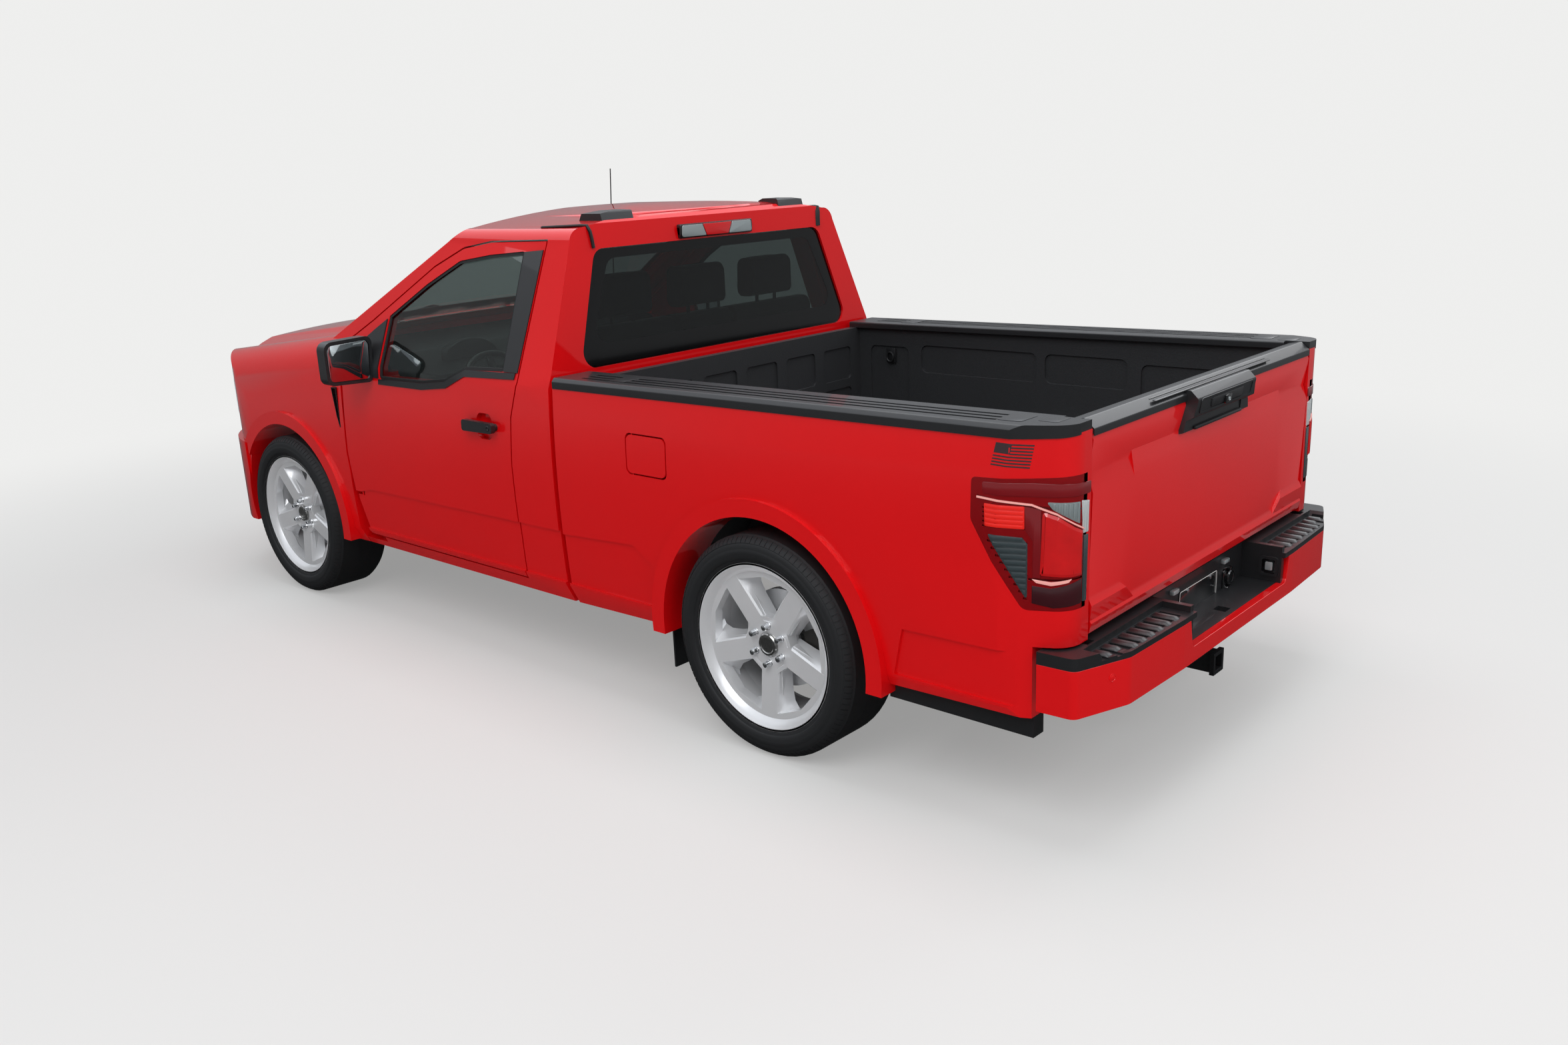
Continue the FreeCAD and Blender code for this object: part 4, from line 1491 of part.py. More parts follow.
# Roof end caps with the high brake lamp, and the antenna
LAMP_HALF = 217
lamp = box((-LAMP_HALF, LAMP_HALF), (cab_back - 70, cab_back - 30),
           (S.roof_height - 124, S.roof_height - 96))
lamp = lamp.cut(cab_solid)
CAP_RISE, CAP_X = 24, (435, 600)
cap_side = [(cab_back - 210, S.roof_height - 60), (cab_back - 185, S.roof_height - 32 + CAP_RISE * 0.6),
            (cab_back - 160, S.roof_height - 32 + CAP_RISE, 12),
            (cab_back - 74, S.roof_height - 34 + CAP_RISE, 10),
            (cab_back - 60, S.roof_height - 60)]
cap_end = prism(cap_side, "X", *CAP_X).common(prism(cab_section(-CAP_RISE), "Y", -LONG, LONG))
cap_end = cap_end.cut(cab_solid)
mast_x, mast_y = -(S.hood_half + 75), front_axle + 400
mast = rod((mast_x, mast_y, S.belt_height + 20), (mast_x, mast_y + 60, 1984), 3)
mast = mast.fuse(Part.makeCone(20, 7, 30, vec(mast_x, mast_y, S.belt_height + 70), AXIS["Z"]))
mast = mast.cut(flip(fender))
flap_y_rear = rear_axle - arch_radius - 4
mud_flap = box((S.sill_half - 215, S.sill_half - 4), (flap_y_rear - 34, flap_y_rear - 26),
               (S.sill_height - 150, S.sill_height + 90))
mud_flap = mud_flap.cut(bed_side)
strip_y = (rear_axle + arch_radius + 40, bumper_wrap - WRAP_GAP - 4)
strip = box((S.sill_half - 60, S.sill_half - 4), strip_y, (S.sill_height - 14, S.sill_height + 90))
strip = strip.cut(bed_side)
low_pieces = [largest(mud_flap), largest(strip)]
trim_pieces = [largest(lamp), largest(cap_end), flip(largest(cap_end)), mast]
keep("body_trim", Part.makeCompound(trim_pieces + low_pieces + [flip(piece) for piece in low_pieces]))

doc.recompute()
for item in doc.Objects:
    if "Invalid" in item.State or "Error" in item.State:
        raise RuntimeError(f"{item.Name} failed: {item.State}")
for name, node in NODES.items():
    if node.Shape.isNull() or not node.Shape.isValid():
        raise RuntimeError(f"{name} has no valid shape")
os.makedirs("parts", exist_ok=True)
for name, node in NODES.items():
    node.Shape.exportStep(f"parts/{name}.step")
    print(name, len(node.Shape.Solids))
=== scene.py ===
"""Dresses a lowered regular-cab pickup truck for a studio picture.

Metres, +Z up, the truck faces -Y and its left side is +X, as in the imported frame.
"""
import json
import logging
from dataclasses import dataclass
from enum import Enum
from functools import partial
from math import acos, ceil, cos, exp, floor, hypot, pi, radians, sin, sqrt, tan
from typing import Callable, Iterable, Sequence

import bmesh
import bpy
from mathutils import Matrix, Vector


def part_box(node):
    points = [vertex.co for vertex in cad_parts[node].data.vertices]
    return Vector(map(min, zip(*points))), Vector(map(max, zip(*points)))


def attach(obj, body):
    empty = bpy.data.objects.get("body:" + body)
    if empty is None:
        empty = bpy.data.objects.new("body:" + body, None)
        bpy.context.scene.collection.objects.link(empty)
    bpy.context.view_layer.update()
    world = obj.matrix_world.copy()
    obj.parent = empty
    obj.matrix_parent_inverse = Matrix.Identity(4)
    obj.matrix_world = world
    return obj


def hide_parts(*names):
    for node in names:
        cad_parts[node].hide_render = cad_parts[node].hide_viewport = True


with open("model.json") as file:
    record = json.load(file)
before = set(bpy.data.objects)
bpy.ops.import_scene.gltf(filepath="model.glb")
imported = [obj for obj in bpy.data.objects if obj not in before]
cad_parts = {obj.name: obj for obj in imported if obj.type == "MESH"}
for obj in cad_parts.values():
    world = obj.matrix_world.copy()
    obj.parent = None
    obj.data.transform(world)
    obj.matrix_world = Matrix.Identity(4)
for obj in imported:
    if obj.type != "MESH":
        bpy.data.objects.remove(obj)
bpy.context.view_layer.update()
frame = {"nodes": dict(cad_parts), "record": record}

LOG = logging.getLogger("pickup")
Point = tuple[float, float]
Spot = tuple[float, float, float]
Outline = Sequence[tuple]
Place = Callable[[float, float, float], Spot]
Skin = bmesh.types.BMesh
Mesh = bpy.types.Mesh
SIDES = (("left", 1.0), ("right", -1.0))


def mm(value: tuple | float) -> tuple | float:
    """Millimetres, plain or in nested tuples, as metres."""
    return tuple(mm(v) for v in value) if isinstance(value, tuple) else value / 1000


# Nodes and finishes

def linear(code: str) -> tuple[float, float, float, float]:
    """Turns an sRGB hex colour, #rrggbb, into linear light with an alpha of 1."""
    parts = [int(code[i:i + 2], 16) / 255 for i in (1, 3, 5)]
    light = [c / 12.92 if c <= 0.04045 else ((c + 0.055) / 1.055) ** 2.4 for c in parts]
    return light[0], light[1], light[2], 1.0


def add_node(tree: bpy.types.NodeTree, kind: str, links: dict | None = None,
             **settings: str) -> bpy.types.Node:
    """Adds a node with its settings, input values and links.

    Args:
        tree: The tree to add to.
        kind: The node's type name.
        links: Input name or number to a value, an output socket, or a node's first output.
        settings: Properties of the node by name.

    Returns:
        The new node.
    """
    made = tree.nodes.new(kind)
    for key, value in settings.items():
        setattr(made, key, value)
    for key, value in (links or {}).items():
        if isinstance(value, bpy.types.Node):
            value = value.outputs[0]
        if isinstance(value, bpy.types.NodeSocket):
            tree.links.new(value, made.inputs[key])
        else:
            made.inputs[key].default_value = value
    return made


class Grain(Enum):
    """How a surface's fine pattern is made."""

    FLAKE = "flake"
    MOULDED = "moulded"
    BRUSHED = "brushed"
    WOVEN = "woven"
    SPRAYED = "sprayed"
    RIBBED = "ribbed"


@dataclass(frozen=True)
class Finish:
    """A real material: how it was made, as shader values and a fine pattern.

    A pitch of 0 leaves the surface smooth.
    """

    name: str
    colour: str
    roughness: float
    metallic: float = 0.0
    coat: float = 0.0
    coat_roughness: float = 0.03
    base_gloss: float = 0.5
    transmission: float = 0.0
    ior: float = 1.5
    sheen: float = 0.0
    grain: Grain = Grain.MOULDED
    pitch_mm: float = 0.0
    depth_mm: float = 0.0
    mottle: float = 0.06
    mottle_mm: float = 120.0
    glow: float = 0.0
    pattern_axis: int = 0

    def material(self) -> bpy.types.Material:
        """The finish as a Blender material, made once."""
        found = bpy.data.materials.get(self.name)
        if found:
            return found
        made = bpy.data.materials.new(self.name)
        made.use_nodes = True
        tree = made.node_tree
        add, inputs = partial(add_node, tree), tree.nodes["Principled BSDF"].inputs
        for key, value in (("Metallic", self.metallic), ("Coat Weight", self.coat),
                           ("Coat Roughness", self.coat_roughness), ("IOR", self.ior),
                           ("Specular IOR Level", self.base_gloss), ("Sheen Weight", self.sheen),
                           ("Transmission Weight", self.transmission)):
            inputs[key].default_value = value
        if self.glow:
            inputs["Emission Color"].default_value = linear(self.colour)
            inputs["Emission Strength"].default_value = self.glow
        place = add("ShaderNodeTexCoord").outputs["Object"]
        low, high = (tuple(min(1.0, c * share) for c in linear(self.colour)[:3]) + (1.0,)
                     for share in (1 - self.mottle, 1 + self.mottle))
        cloud = add("ShaderNodeTexNoise",
                    {"Vector": place, "Scale": 1000 / self.mottle_mm, "Detail": 3.0})
        mix = add("ShaderNodeMix", {"Factor": cloud, "A": low, "B": high}, data_type="RGBA")
        tree.links.new(mix.outputs["Result"], inputs["Base Color"])
        height = self._pattern(add, place)
        reach = min(0.04, self.roughness * 0.15)
        spread = add("ShaderNodeMapRange", {"Value": height, "To Min": self.roughness - reach,
                                            "To Max": min(1.0, self.roughness + reach)})
        tree.links.new(spread.outputs["Result"], inputs["Roughness"])
        if self.depth_mm:
            bump = add("ShaderNodeBump",
                       {"Height": height, "Distance": mm(self.depth_mm), "Strength": 1.0})
            tree.links.new(bump.outputs["Normal"], inputs["Normal"])
        return made

    def _pattern(self, add: Callable, place: bpy.types.NodeSocket) -> bpy.types.NodeSocket:
        """The fine pattern's height, or a slow cloud on a smooth surface."""
        if not self.pitch_mm:
            return add("ShaderNodeTexNoise", {"Vector": place, "Scale": 6.0}).outputs["Fac"]
        values = {"Vector": place, "Scale": 1000 / self.pitch_mm}
        if self.grain is Grain.FLAKE:
            return add("ShaderNodeTexVoronoi", values).outputs["Color"]
        if self.grain in (Grain.WOVEN, Grain.RIBBED):
            values["Scale"] /= 2 * pi
            return add("ShaderNodeTexWave", values,
                       bands_direction="XYZ"[self.pattern_axis]).outputs["Fac"]
        if self.grain is Grain.BRUSHED:
            stretch = [1.0, 1.0, 1.0]
            stretch[self.pattern_axis] = 0.03
            values["Vector"] = add("ShaderNodeMapping", {"Vector": place, "Scale": stretch})
        else:
            values["Detail"] = 4.0
        return add("ShaderNodeTexNoise", values).outputs["Fac"]


# Basecoat with metal flake under clear lacquer; flakes are drawn 3 mm wide so that they show
PAINT = Finish("sprayed_red_metallic_lacquer", "#e6080f", 0.42, 0.1, coat=1, coat_roughness=0.02,
               base_gloss=0.1, grain=Grain.FLAKE, pitch_mm=3, mottle=0.04, mottle_mm=600)
# Toughened glass, body-tinted green-grey
TINTED_GLASS = Finish("tinted_float_glass", "#c3d0cc", 0.0, transmission=1, mottle=0.01)
DARK_GLASS = Finish("dark_privacy_glass", "#76807e", 0.0, transmission=1, mottle=0.01)
# Polypropylene moulded in a spark-eroded tool: satin, fine leather grain
GRAINED_PLASTIC = Finish("grained_black_polypropylene", "#1d1e20", 0.42, coat=0.25, pitch_mm=2.2,
                         depth_mm=0.12)
SATIN_PLASTIC = Finish("satin_black_acrylic", "#111214", 0.28, coat=0.3, pitch_mm=8, depth_mm=0.01)
# Gloss black moulding round lamps and sensors
GLOSS_PLASTIC = Finish("gloss_black_acrylic", "#0b0c0e", 0.12, coat=0.8)
RUBBER_SEAL = Finish("extruded_rubber_seal", "#0d0e0f", 0.7, pitch_mm=3, depth_mm=0.05)
# Sprayed bed liner: pebbled polyurea
BED_LINER = Finish("pebbled_bed_liner", "#2a2b2d", 0.48, grain=Grain.SPRAYED, pitch_mm=7, depth_mm=0.5)
RED_LENS = Finish("moulded_red_acrylic_lens", "#b00812", 0.08, coat=1, pitch_mm=6, depth_mm=0.05)
CLEAR_LENS = Finish("moulded_clear_polycarbonate", "#c9d0d2", 0.1, coat=1, pitch_mm=6, depth_mm=0.05)
# Clear moulding over a bright foil: shows the light that falls into it
CLEAR_BLOCK = Finish("pressed_clear_lens_over_foil", "#aab4b6", 0.12, 0.35, coat=1, pitch_mm=5,
                     depth_mm=0.05)
# Cast wheel under silver lacquer: pale, soft highlights
ALLOY = Finish("silver_painted_cast_aluminium", "#e6e7e9", 0.34, 0.35, coat=0.6, pitch_mm=1.2,
               depth_mm=0.02, mottle=0.03)
TYRE_RUBBER = Finish("vulcanised_tyre_rubber", "#17181a", 0.72, pitch_mm=3, depth_mm=0.15)
BLACK_STEEL = Finish("black_dipped_steel", "#1a1b1d", 0.5, 0.3, grain=Grain.SPRAYED, pitch_mm=14,
                     depth_mm=0.15)
CAST_IRON = Finish("sand_cast_iron", "#3a3836", 0.65, 0.6, grain=Grain.SPRAYED, pitch_mm=5,
                   depth_mm=0.4, mottle=0.2)
# Chromed steel nuts and lamp rims: a sharp bright edge
CHROME = Finish("chromed_steel", "#d6d8da", 0.08, 1, mottle=0.02)
CABIN_PLASTIC = Finish("grained_cabin_polypropylene", "#26282b", 0.6, pitch_mm=2.5, depth_mm=0.1)
SEAT_CLOTH = Finish("woven_polyester_cloth", "#2b2c30", 0.9, sheen=0.4, grain=Grain.WOVEN, pitch_mm=4,
                    depth_mm=0.3, mottle=0.1, mottle_mm=30)

FINISHES = {"paint": PAINT, "glass": TINTED_GLASS, "black_plastic": GRAINED_PLASTIC, "lens": RED_LENS,
            "clear_lens": CLEAR_LENS, "liner": BED_LINER, "wheel_metal": ALLOY, "tyre": TYRE_RUBBER,
            "steel": BLACK_STEEL, "iron": CAST_IRON, "cabin": CABIN_PLASTIC, "fabric": SEAT_CLOTH}
SLOT_OF = {s["node"]: s["material_slot"] for s in frame["record"]["subparts"]}
BODY_OF = {node: body for body, nodes in frame["record"]["behaviour"]["bodies"].items()
           for node in nodes}


# Meshes

def soften(mesh: Mesh, degrees: float, weld: float = 0.0) -> None:
    """Shades a mesh smooth, with sharp edges where its faces turn by more than an angle."""
    work = bmesh.new()
    work.from_mesh(mesh)
    if weld:
        bmesh.ops.remove_doubles(work, verts=work.verts, dist=weld)
    for face in work.faces:
        face.smooth = True
    for edge in work.edges:
        edge.smooth = len(edge.link_faces) == 2 and edge.calc_face_angle(0.0) < radians(degrees)
    work.to_mesh(mesh)
    work.free()


def put(name: str, data: bpy.types.ID) -> bpy.types.Object:
    """Adds an object to the scene."""
    made = bpy.data.objects.new(name, data)
    bpy.context.scene.collection.objects.link(made)
    return made


def add_piece(name: str, mesh: Mesh, finish: Finish, body: str = "body",
              slot: str = "black_plastic") -> bpy.types.Object:
    """Puts a finished mesh into the scene as a piece that rides on a body."""
    piece = put(name, mesh)
    mesh.materials.clear()
    mesh.materials.append(finish.material())
    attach(piece, body)
    LOG.info("%s: %d faces on %s", name, len(mesh.polygons), body)
    return piece


def panel_from_node(node: str, finish: Finish, edge_mm: float, degrees: float = 30.0) -> None:
    """Stands a smooth-shaded copy in for a CAD node, its edges rounded where they turn by an angle."""
    mesh = frame["nodes"][node].data.copy()
    soften(mesh, degrees, weld=mm(0.02))
    piece = add_piece(f"{node}_panel", mesh, finish, BODY_OF[node], SLOT_OF[node])
    if edge_mm:
        bevel = piece.modifiers.new("rounded_edges", "BEVEL")
        bevel.width = mm(edge_mm)
        bevel.segments = 2
        bevel.limit_method = "ANGLE"
        bevel.angle_limit = radians(degrees)
        bevel.harden_normals = True
        bevel.use_clamp_overlap = True
    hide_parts(node)


def circle(count: int) -> list[Point]:
    """Cosine and sine of evenly spaced angles."""
    return [(cos(2 * pi * k / count), sin(2 * pi * k / count)) for k in range(count)]


def box(u: Point, v: Point) -> list[Point]:
    """The four corners of a box outline."""
    return [(u[0], v[0]), (u[1], v[0]), (u[1], v[1]), (u[0], v[1])]


def rounded(points: Outline, radius: float = 0.0, steps: int = 4) -> list[Point]:
    """Rounds an outline's corners.

    Args:
        points: Corners (u, v) or (u, v, radius), in order.
        radius: Radius of the corners that give none.
        steps: Number of straight runs in a corner.

    Returns:
        The outline with an arc at each corner.
    """
    out: list[Point] = []
    for k, corner in enumerate(points):
        r = corner[2] if len(corner) > 2 else radius
        here = Vector(corner[:2])
        before, after = (Vector(points[n % len(points)][:2]) - here for n in (k - 1, k + 1))
        a, b = before.normalized(), after.normalized()
        half = acos(max(-0.9999, min(0.9999, a.dot(b)))) / 2
        if r <= 0 or half > 1.55:
            out.append(tuple(here))
            continue
        back = min(r / tan(half), 0.48 * min(before.length, after.length))
        centre = here + (a + b).normalized() * (back * tan(half) / sin(half))
        start, end = here + a * back - centre, here + b * back - centre
        turn = start.angle_signed(end)
        out += [tuple(centre + Matrix.Rotation(-turn * step / steps, 2) @ start)
                for step in range(steps + 1)]
    return out


def trapezoid(low_half: float, low: float, high_half: float, high: float, radius: float) -> list[Point]:
    """A rounded outline with level edges, the same on both sides of the middle."""
    return rounded([(-low_half, low), (low_half, low), (high_half, high), (-high_half, high)], radius)


def shrunk(points: Sequence[Point], gap: float) -> list[Point]:
    """An outline drawn smaller by a gap."""
    area = sum(a[0] * b[1] - b[0] * a[1] for a, b in zip(points, list(points[1:]) + [points[0]]))
    side = 1 if area > 0 else -1
    out = []
    for k, here in enumerate(points):
        lines = []
        for a, b in ((points[k - 1], here), (here, points[(k + 1) % len(points)])):
            du, dv = b[0] - a[0], b[1] - a[1]
            run = hypot(du, dv) or 1e-9
            lines.append((-dv / run * side, du / run * side))
        (au, av), (bu, bv) = lines
        scale = gap / max(0.25, 1 + au * bu + av * bv)
        out.append((here[0] + (au + bu) * scale, here[1] + (av + bv) * scale))
    return out


def span(outline: Outline, level: float, axis: int = 1) -> Point:
    """The two ends of an outline's cut at a level of v (axis 1) or u (axis 0), or zeros."""
    cuts = []
    for a, b in zip(outline, outline[1:] + outline[:1]):
        if (a[axis] - level) * (b[axis] - level) < 0:
            share = (level - a[axis]) / (b[axis] - a[axis])
            cuts.append(a[1 - axis] + share * (b[1 - axis] - a[1 - axis]))
    return (min(cuts), max(cuts)) if len(cuts) > 1 else (0.0, 0.0)


def loft(rings: Sequence[Sequence[Spot]], closed: bool = False) -> Skin:
    """Skins a row of rings that have equal numbers of points.

    Args:
        rings: The rings, in order.
        closed: Whether the last ring joins the first; else both are filled.

    Returns:
        The skin, with its faces turned outwards.
    """
    work = bmesh.new()
    rows = [[work.verts.new(p) for p in ring] for ring in rings]
    for low, high in list(zip(rows, rows[1:])) + ([(rows[-1], rows[0])] if closed else []):
        for k in range(len(low)):
            m = (k + 1) % len(low)
            work.faces.new((low[k], low[m], high[m], high[k]))
    if not closed:
        work.faces.new(rows[0])
        work.faces.new(list(reversed(rows[-1])))
    bmesh.ops.recalc_face_normals(work, faces=work.faces)
    return work


def plate(outline: Sequence[Point], low: float, high: float, edge: float, steps: int = 2) -> Skin:
    """A plate in (u, v, w) whose upper edge is rounded.

    Args:
        outline: The plate's outline (u, v).
        low: Its lower face's w.
        high: Its upper face's w.
        edge: Radius of the upper edge.
        steps: Number of runs in that edge.

    Returns:
        The closed plate.
    """
    rings = [[(u, v, low) for u, v in outline]]
    for k in range(steps + 1):
        a = pi / 2 * k / steps
        drop = edge * (1 - sin(a))
        rings.append([(u, v, high - drop) for u, v in shrunk(outline, edge * (1 - cos(a)))])
    return loft(rings)


def frame_ring(outer: Sequence[Point], inner: Sequence[Point], low: float, high: float) -> Skin:
    """A flat ring between two outlines with as many points, with softened rims."""
    # Share of the way to the other outline, and height
    climb = ((0.0, low), (0.0, high - (high - low) * 0.3), (0.04, high))
    up, down = ([[(u + (s - u) * share, v + (t - v) * share, w) for (u, v), (s, t) in zip(near, far)]
                 for share, w in climb] for near, far in ((outer, inner), (inner, outer)))
    return loft(up + down[::-1], closed=True)


def drape(work: Skin, place: Place, step: float = 0.0, step_u: float = 0.0) -> Skin:
    """Slices a flat piece into strips and lays it on a surface.

    Args:
        work: The piece in (u, v, w).
        place: Turns (u, v, w) into a place on the truck.
        step: Strip width along v, or 0 for none.
        step_u: Strip width along u, or 0 for none.

    Returns:
        The same piece, laid on the surface.
    """
    for axis, width in ((1, step), (0, step_u)):
        values = [v.co[axis] for v in work.verts]
        cuts = range(floor(min(values) / width) + 1, ceil(max(values) / width)) if width else ()
        for k in cuts:
            point, normal = [0.0, 0.0, 0.0], [0.0, 0.0, 0.0]
            point[axis], normal[axis] = k * width, 1.0
            geom = list(work.verts) + list(work.edges) + list(work.faces)
            bmesh.ops.bisect_plane(work, geom=geom, plane_co=point, plane_no=normal, dist=1e-7)
    for vert in work.verts:
        vert.co = place(*vert.co)
    bmesh.ops.recalc_face_normals(work, faces=work.faces)
    return work


def tile(outline: Outline, radius: float, levels: Point, edge: float, place: Place,
         step_u: float = 0.0) -> Skin:
    """A plate with rounded corners between two levels, laid on a surface."""
    return drape(plate(rounded(outline, radius), *levels, edge), place, step_u=step_u)


def turned(profile: Sequence[Point], around: int, closed: bool = False) -> Skin:
    """Turns a profile (x, radius) round the X axis into a closed skin."""
    return loft([[(x, r * c, r * s) for c, s in circle(around)] for x, r in profile], closed)


def tube(points: Sequence[Spot], radius: float, around: int = 8, closed: bool = False,
         flat: float = 1.0) -> Skin:
    """A round or flattened bead along a path.

    Args:
        points: The path.
        radius: The bead's radius.
        around: Points round the bead.
        closed: Whether the path is a loop.
        flat: Share of the radius kept across the path's plane.

    Returns:
        The bead as a closed skin.
    """
    path = [Vector(p) for p in points]
    last = len(path) - 1
    side, rings = None, []
    for k, spot in enumerate(path):
        after = path[(k + 1) % len(path)] if closed or k < last else spot
        before = path[k - 1] if closed or k else spot
        run = (after - before).normalized()
        side = side or run.orthogonal().normalized()
        side = (side - run * side.dot(run)).normalized()
        up = run.cross(side)
        rings.append([tuple(spot + side * radius * c + up * radius * flat * s)
                      for c, s in circle(around)])
    return loft(rings, closed)


def block(x: Point, y: Point, z: Point, edge: float) -> Skin:
    """A block with all its edges rounded off."""
    work = bmesh.new()
    bmesh.ops.create_cube(work, size=1.0)
    for vert in work.verts:
        vert.co = tuple((s[0] + s[1]) / 2 + c * (s[1] - s[0]) for c, s in zip(vert.co, (x, y, z)))
    bmesh.ops.bevel(work, geom=list(work.edges), offset=edge, segments=2, profile=0.5, affect="EDGES")
    return work


def moved(work: Skin, place: Matrix) -> Skin:
    """A skin moved by a matrix, its faces kept outward."""
    bmesh.ops.transform(work, matrix=place, verts=work.verts)
    if place.determinant() < 0:
        bmesh.ops.reverse_faces(work, faces=work.faces)
    return work


def aimed(work: Skin, spot: Spot, outward: Spot) -> Skin:
    """A piece drawn along +X, set at a place with +X turned outward."""
    turn = Vector((1, 0, 0)).rotation_difference(Vector(outward)).to_matrix().to_4x4()
    return moved(work, Matrix.Translation(spot) @ turn)


def joined(works: Iterable[Skin], name: str, degrees: float = 30.0) -> Mesh:
    """Collects skins into one mesh, shades it smooth and frees them."""
    whole = bmesh.new()
    for work in works:
        part = bpy.data.meshes.new("part")
        work.to_mesh(part)
        work.free()
        whole.from_mesh(part)
        bpy.data.meshes.remove(part)
    mesh = bpy.data.meshes.new(name)
    whole.to_mesh(mesh)
    whole.free()
    soften(mesh, degrees)
    return mesh


def lay(name: str, works: Iterable[Skin], finish: Finish, body: str = "body",
        slot: str = "black_plastic", degrees: float = 30.0) -> bpy.types.Object:
    """Joins skins and adds them as one piece."""
    return add_piece(name, joined(works, name, degrees), finish, body, slot)


def add_pair(name: str, left: Mesh, finish: Finish, slot: str = "black_plastic") -> None:
    """Adds a left piece and its mirror image on the right."""
    work = bmesh.new()
    work.from_mesh(left)
    moved(work, Matrix.Scale(-1, 4, (1, 0, 0)))
    right = bpy.data.meshes.new(f"{name}_right")
    work.to_mesh(right)
    work.free()
    add_piece(f"{name}_left", left, finish, slot=slot)
    add_piece(f"{name}_right", right, finish, slot=slot)


@dataclass(frozen=True)
class Row:
    """Copies of a small shape in a straight row or a ring, made by geometry nodes."""

    name: str
    count: int
    start: Spot = (0.0, 0.0, 0.0)
    step: Spot = (0.0, 0.0, 0.0)
    ring_radius: float = 0.0
    phase: float = 0.0

    def mesh(self, shape: Mesh, finish: Finish) -> Mesh:
        """Repeats a shape and returns the result as one plain mesh.

        Args:
            shape: The shape to repeat, drawn round the origin.
            finish: What the copies are made of.

        Returns:
            All copies as one mesh.
        """
        tree = bpy.data.node_groups.new(self.name, "GeometryNodeTree")
        face, add = tree.interface, partial(add_node, tree)
        taken = face.new_socket("Shape", in_out="INPUT", socket_type="NodeSocketObject")
        turn = 2 * pi / self.count if self.ring_radius else 0.0
        for label, kind, value in (("Count", "Int", self.count), ("Start", "Vector", self.start),
                                   ("Step", "Vector", self.step), ("Turn", "Float", turn),
                                   ("Phase", "Float", self.phase),
                                   ("Radius", "Float", self.ring_radius)):
            socket = face.new_socket(label, in_out="INPUT", socket_type=f"NodeSocket{kind}")
            socket.default_value = value
        face.new_socket("Geometry", in_out="OUTPUT", socket_type="NodeSocketGeometry")
        ask = add("NodeGroupInput").outputs
        sample = add("GeometryNodeObjectInfo", {"Object": ask["Shape"]}).outputs["Geometry"]
        line = add("GeometryNodeMeshLine", {"Count": ask["Count"]})
        index = add("GeometryNodeInputIndex")
        angle = add("ShaderNodeMath", {0: index, 1: ask["Turn"], 2: ask["Phase"]},
                    operation="MULTIPLY_ADD")
        spin = add("ShaderNodeCombineXYZ", {"X": angle})
        reach = add("ShaderNodeCombineXYZ", {"Z": ask["Radius"]})
        arm = add("ShaderNodeVectorRotate", {"Vector": reach, "Rotation": spin},
                  rotation_type="EULER_XYZ")
        along = add("ShaderNodeVectorMath", {0: index, 1: ask["Step"], 2: ask["Start"]},
                    operation="MULTIPLY_ADD")
        spot = add("ShaderNodeVectorMath", {0: arm, 1: along}, operation="ADD")
        points = add("GeometryNodeSetPosition", {"Geometry": line, "Position": spot})
        copies = add("GeometryNodeInstanceOnPoints",
                     {"Points": points, "Instance": sample, "Rotation": spin})
        real = add("GeometryNodeRealizeInstances", {"Geometry": copies})
        dressed = add("GeometryNodeSetMaterial", {"Geometry": real, "Material": finish.material()})
        add("NodeGroupOutput", {"Geometry": dressed})
        pattern = put(f"{self.name}_shape", shape)
        holder = put(self.name, bpy.data.meshes.new(self.name))
        maker = holder.modifiers.new("copies", "NODES")
        maker.node_group = tree
        maker[taken.identifier] = pattern
        graph = bpy.context.evaluated_depsgraph_get()
        result = bpy.data.meshes.new_from_object(holder.evaluated_get(graph))
        for thing in (holder, pattern):
            bpy.data.objects.remove(thing)
        return result


# The body's surface

SHOULDER, WAIST, SILL_HALF = 0.985, 1.000, 0.945
SILL, CREASE, WAIST_Z, BELT = 0.340, 0.420, 0.780, 1.190


def circle_through(points: Sequence[Point]) -> Spot:
    """Centre (x, y) and radius of the circle through three points."""
    (ax, ay), (bx, by), (cx, cy) = points
    d = 2 * (ax * (by - cy) + bx * (cy - ay) + cx * (ay - by))
    a, b, c = ax * ax + ay * ay, bx * bx + by * by, cx * cx + cy * cy
    x = (a * (by - cy) + b * (cy - ay) + c * (ay - by)) / d
    y = (a * (cx - bx) + b * (ax - cx) + c * (bx - ax)) / d
    return x, y, hypot(ax - x, ay - y)


# Section (x, z) of the body side
SIDE_ARC = circle_through(((SHOULDER, CREASE), (WAIST, WAIST_Z), (SHOULDER, BELT)))
# Plan (x, y) of the bed's rear corner: two arcs, each by its start, middle and end
CORNER_ARCS = mm((((1030, 2110.5), (994, 2340.5), (940, 2475.5)), ((940, 2475.5), (908, 2515),
                  (855, 2530.5))))


def skin(z: float) -> float:
    """Distance from the centre line to the cab's skin at a height."""
    if z > BELT:
        return SHOULDER - 0.38 * (z - BELT)
    if z < CREASE:
        return SILL_HALF + (SHOULDER - SILL_HALF) * (z - SILL) / (CREASE - SILL)
    x, middle, radius = SIDE_ARC
    return x + sqrt(radius ** 2 - (z - middle) ** 2)


def side_half(z: float) -> float:
    """Distance from the centre line to the bed side, away from the corner."""
    return SHOULDER - 0.006 * (z - BELT) / 0.082 if z > BELT else skin(z)


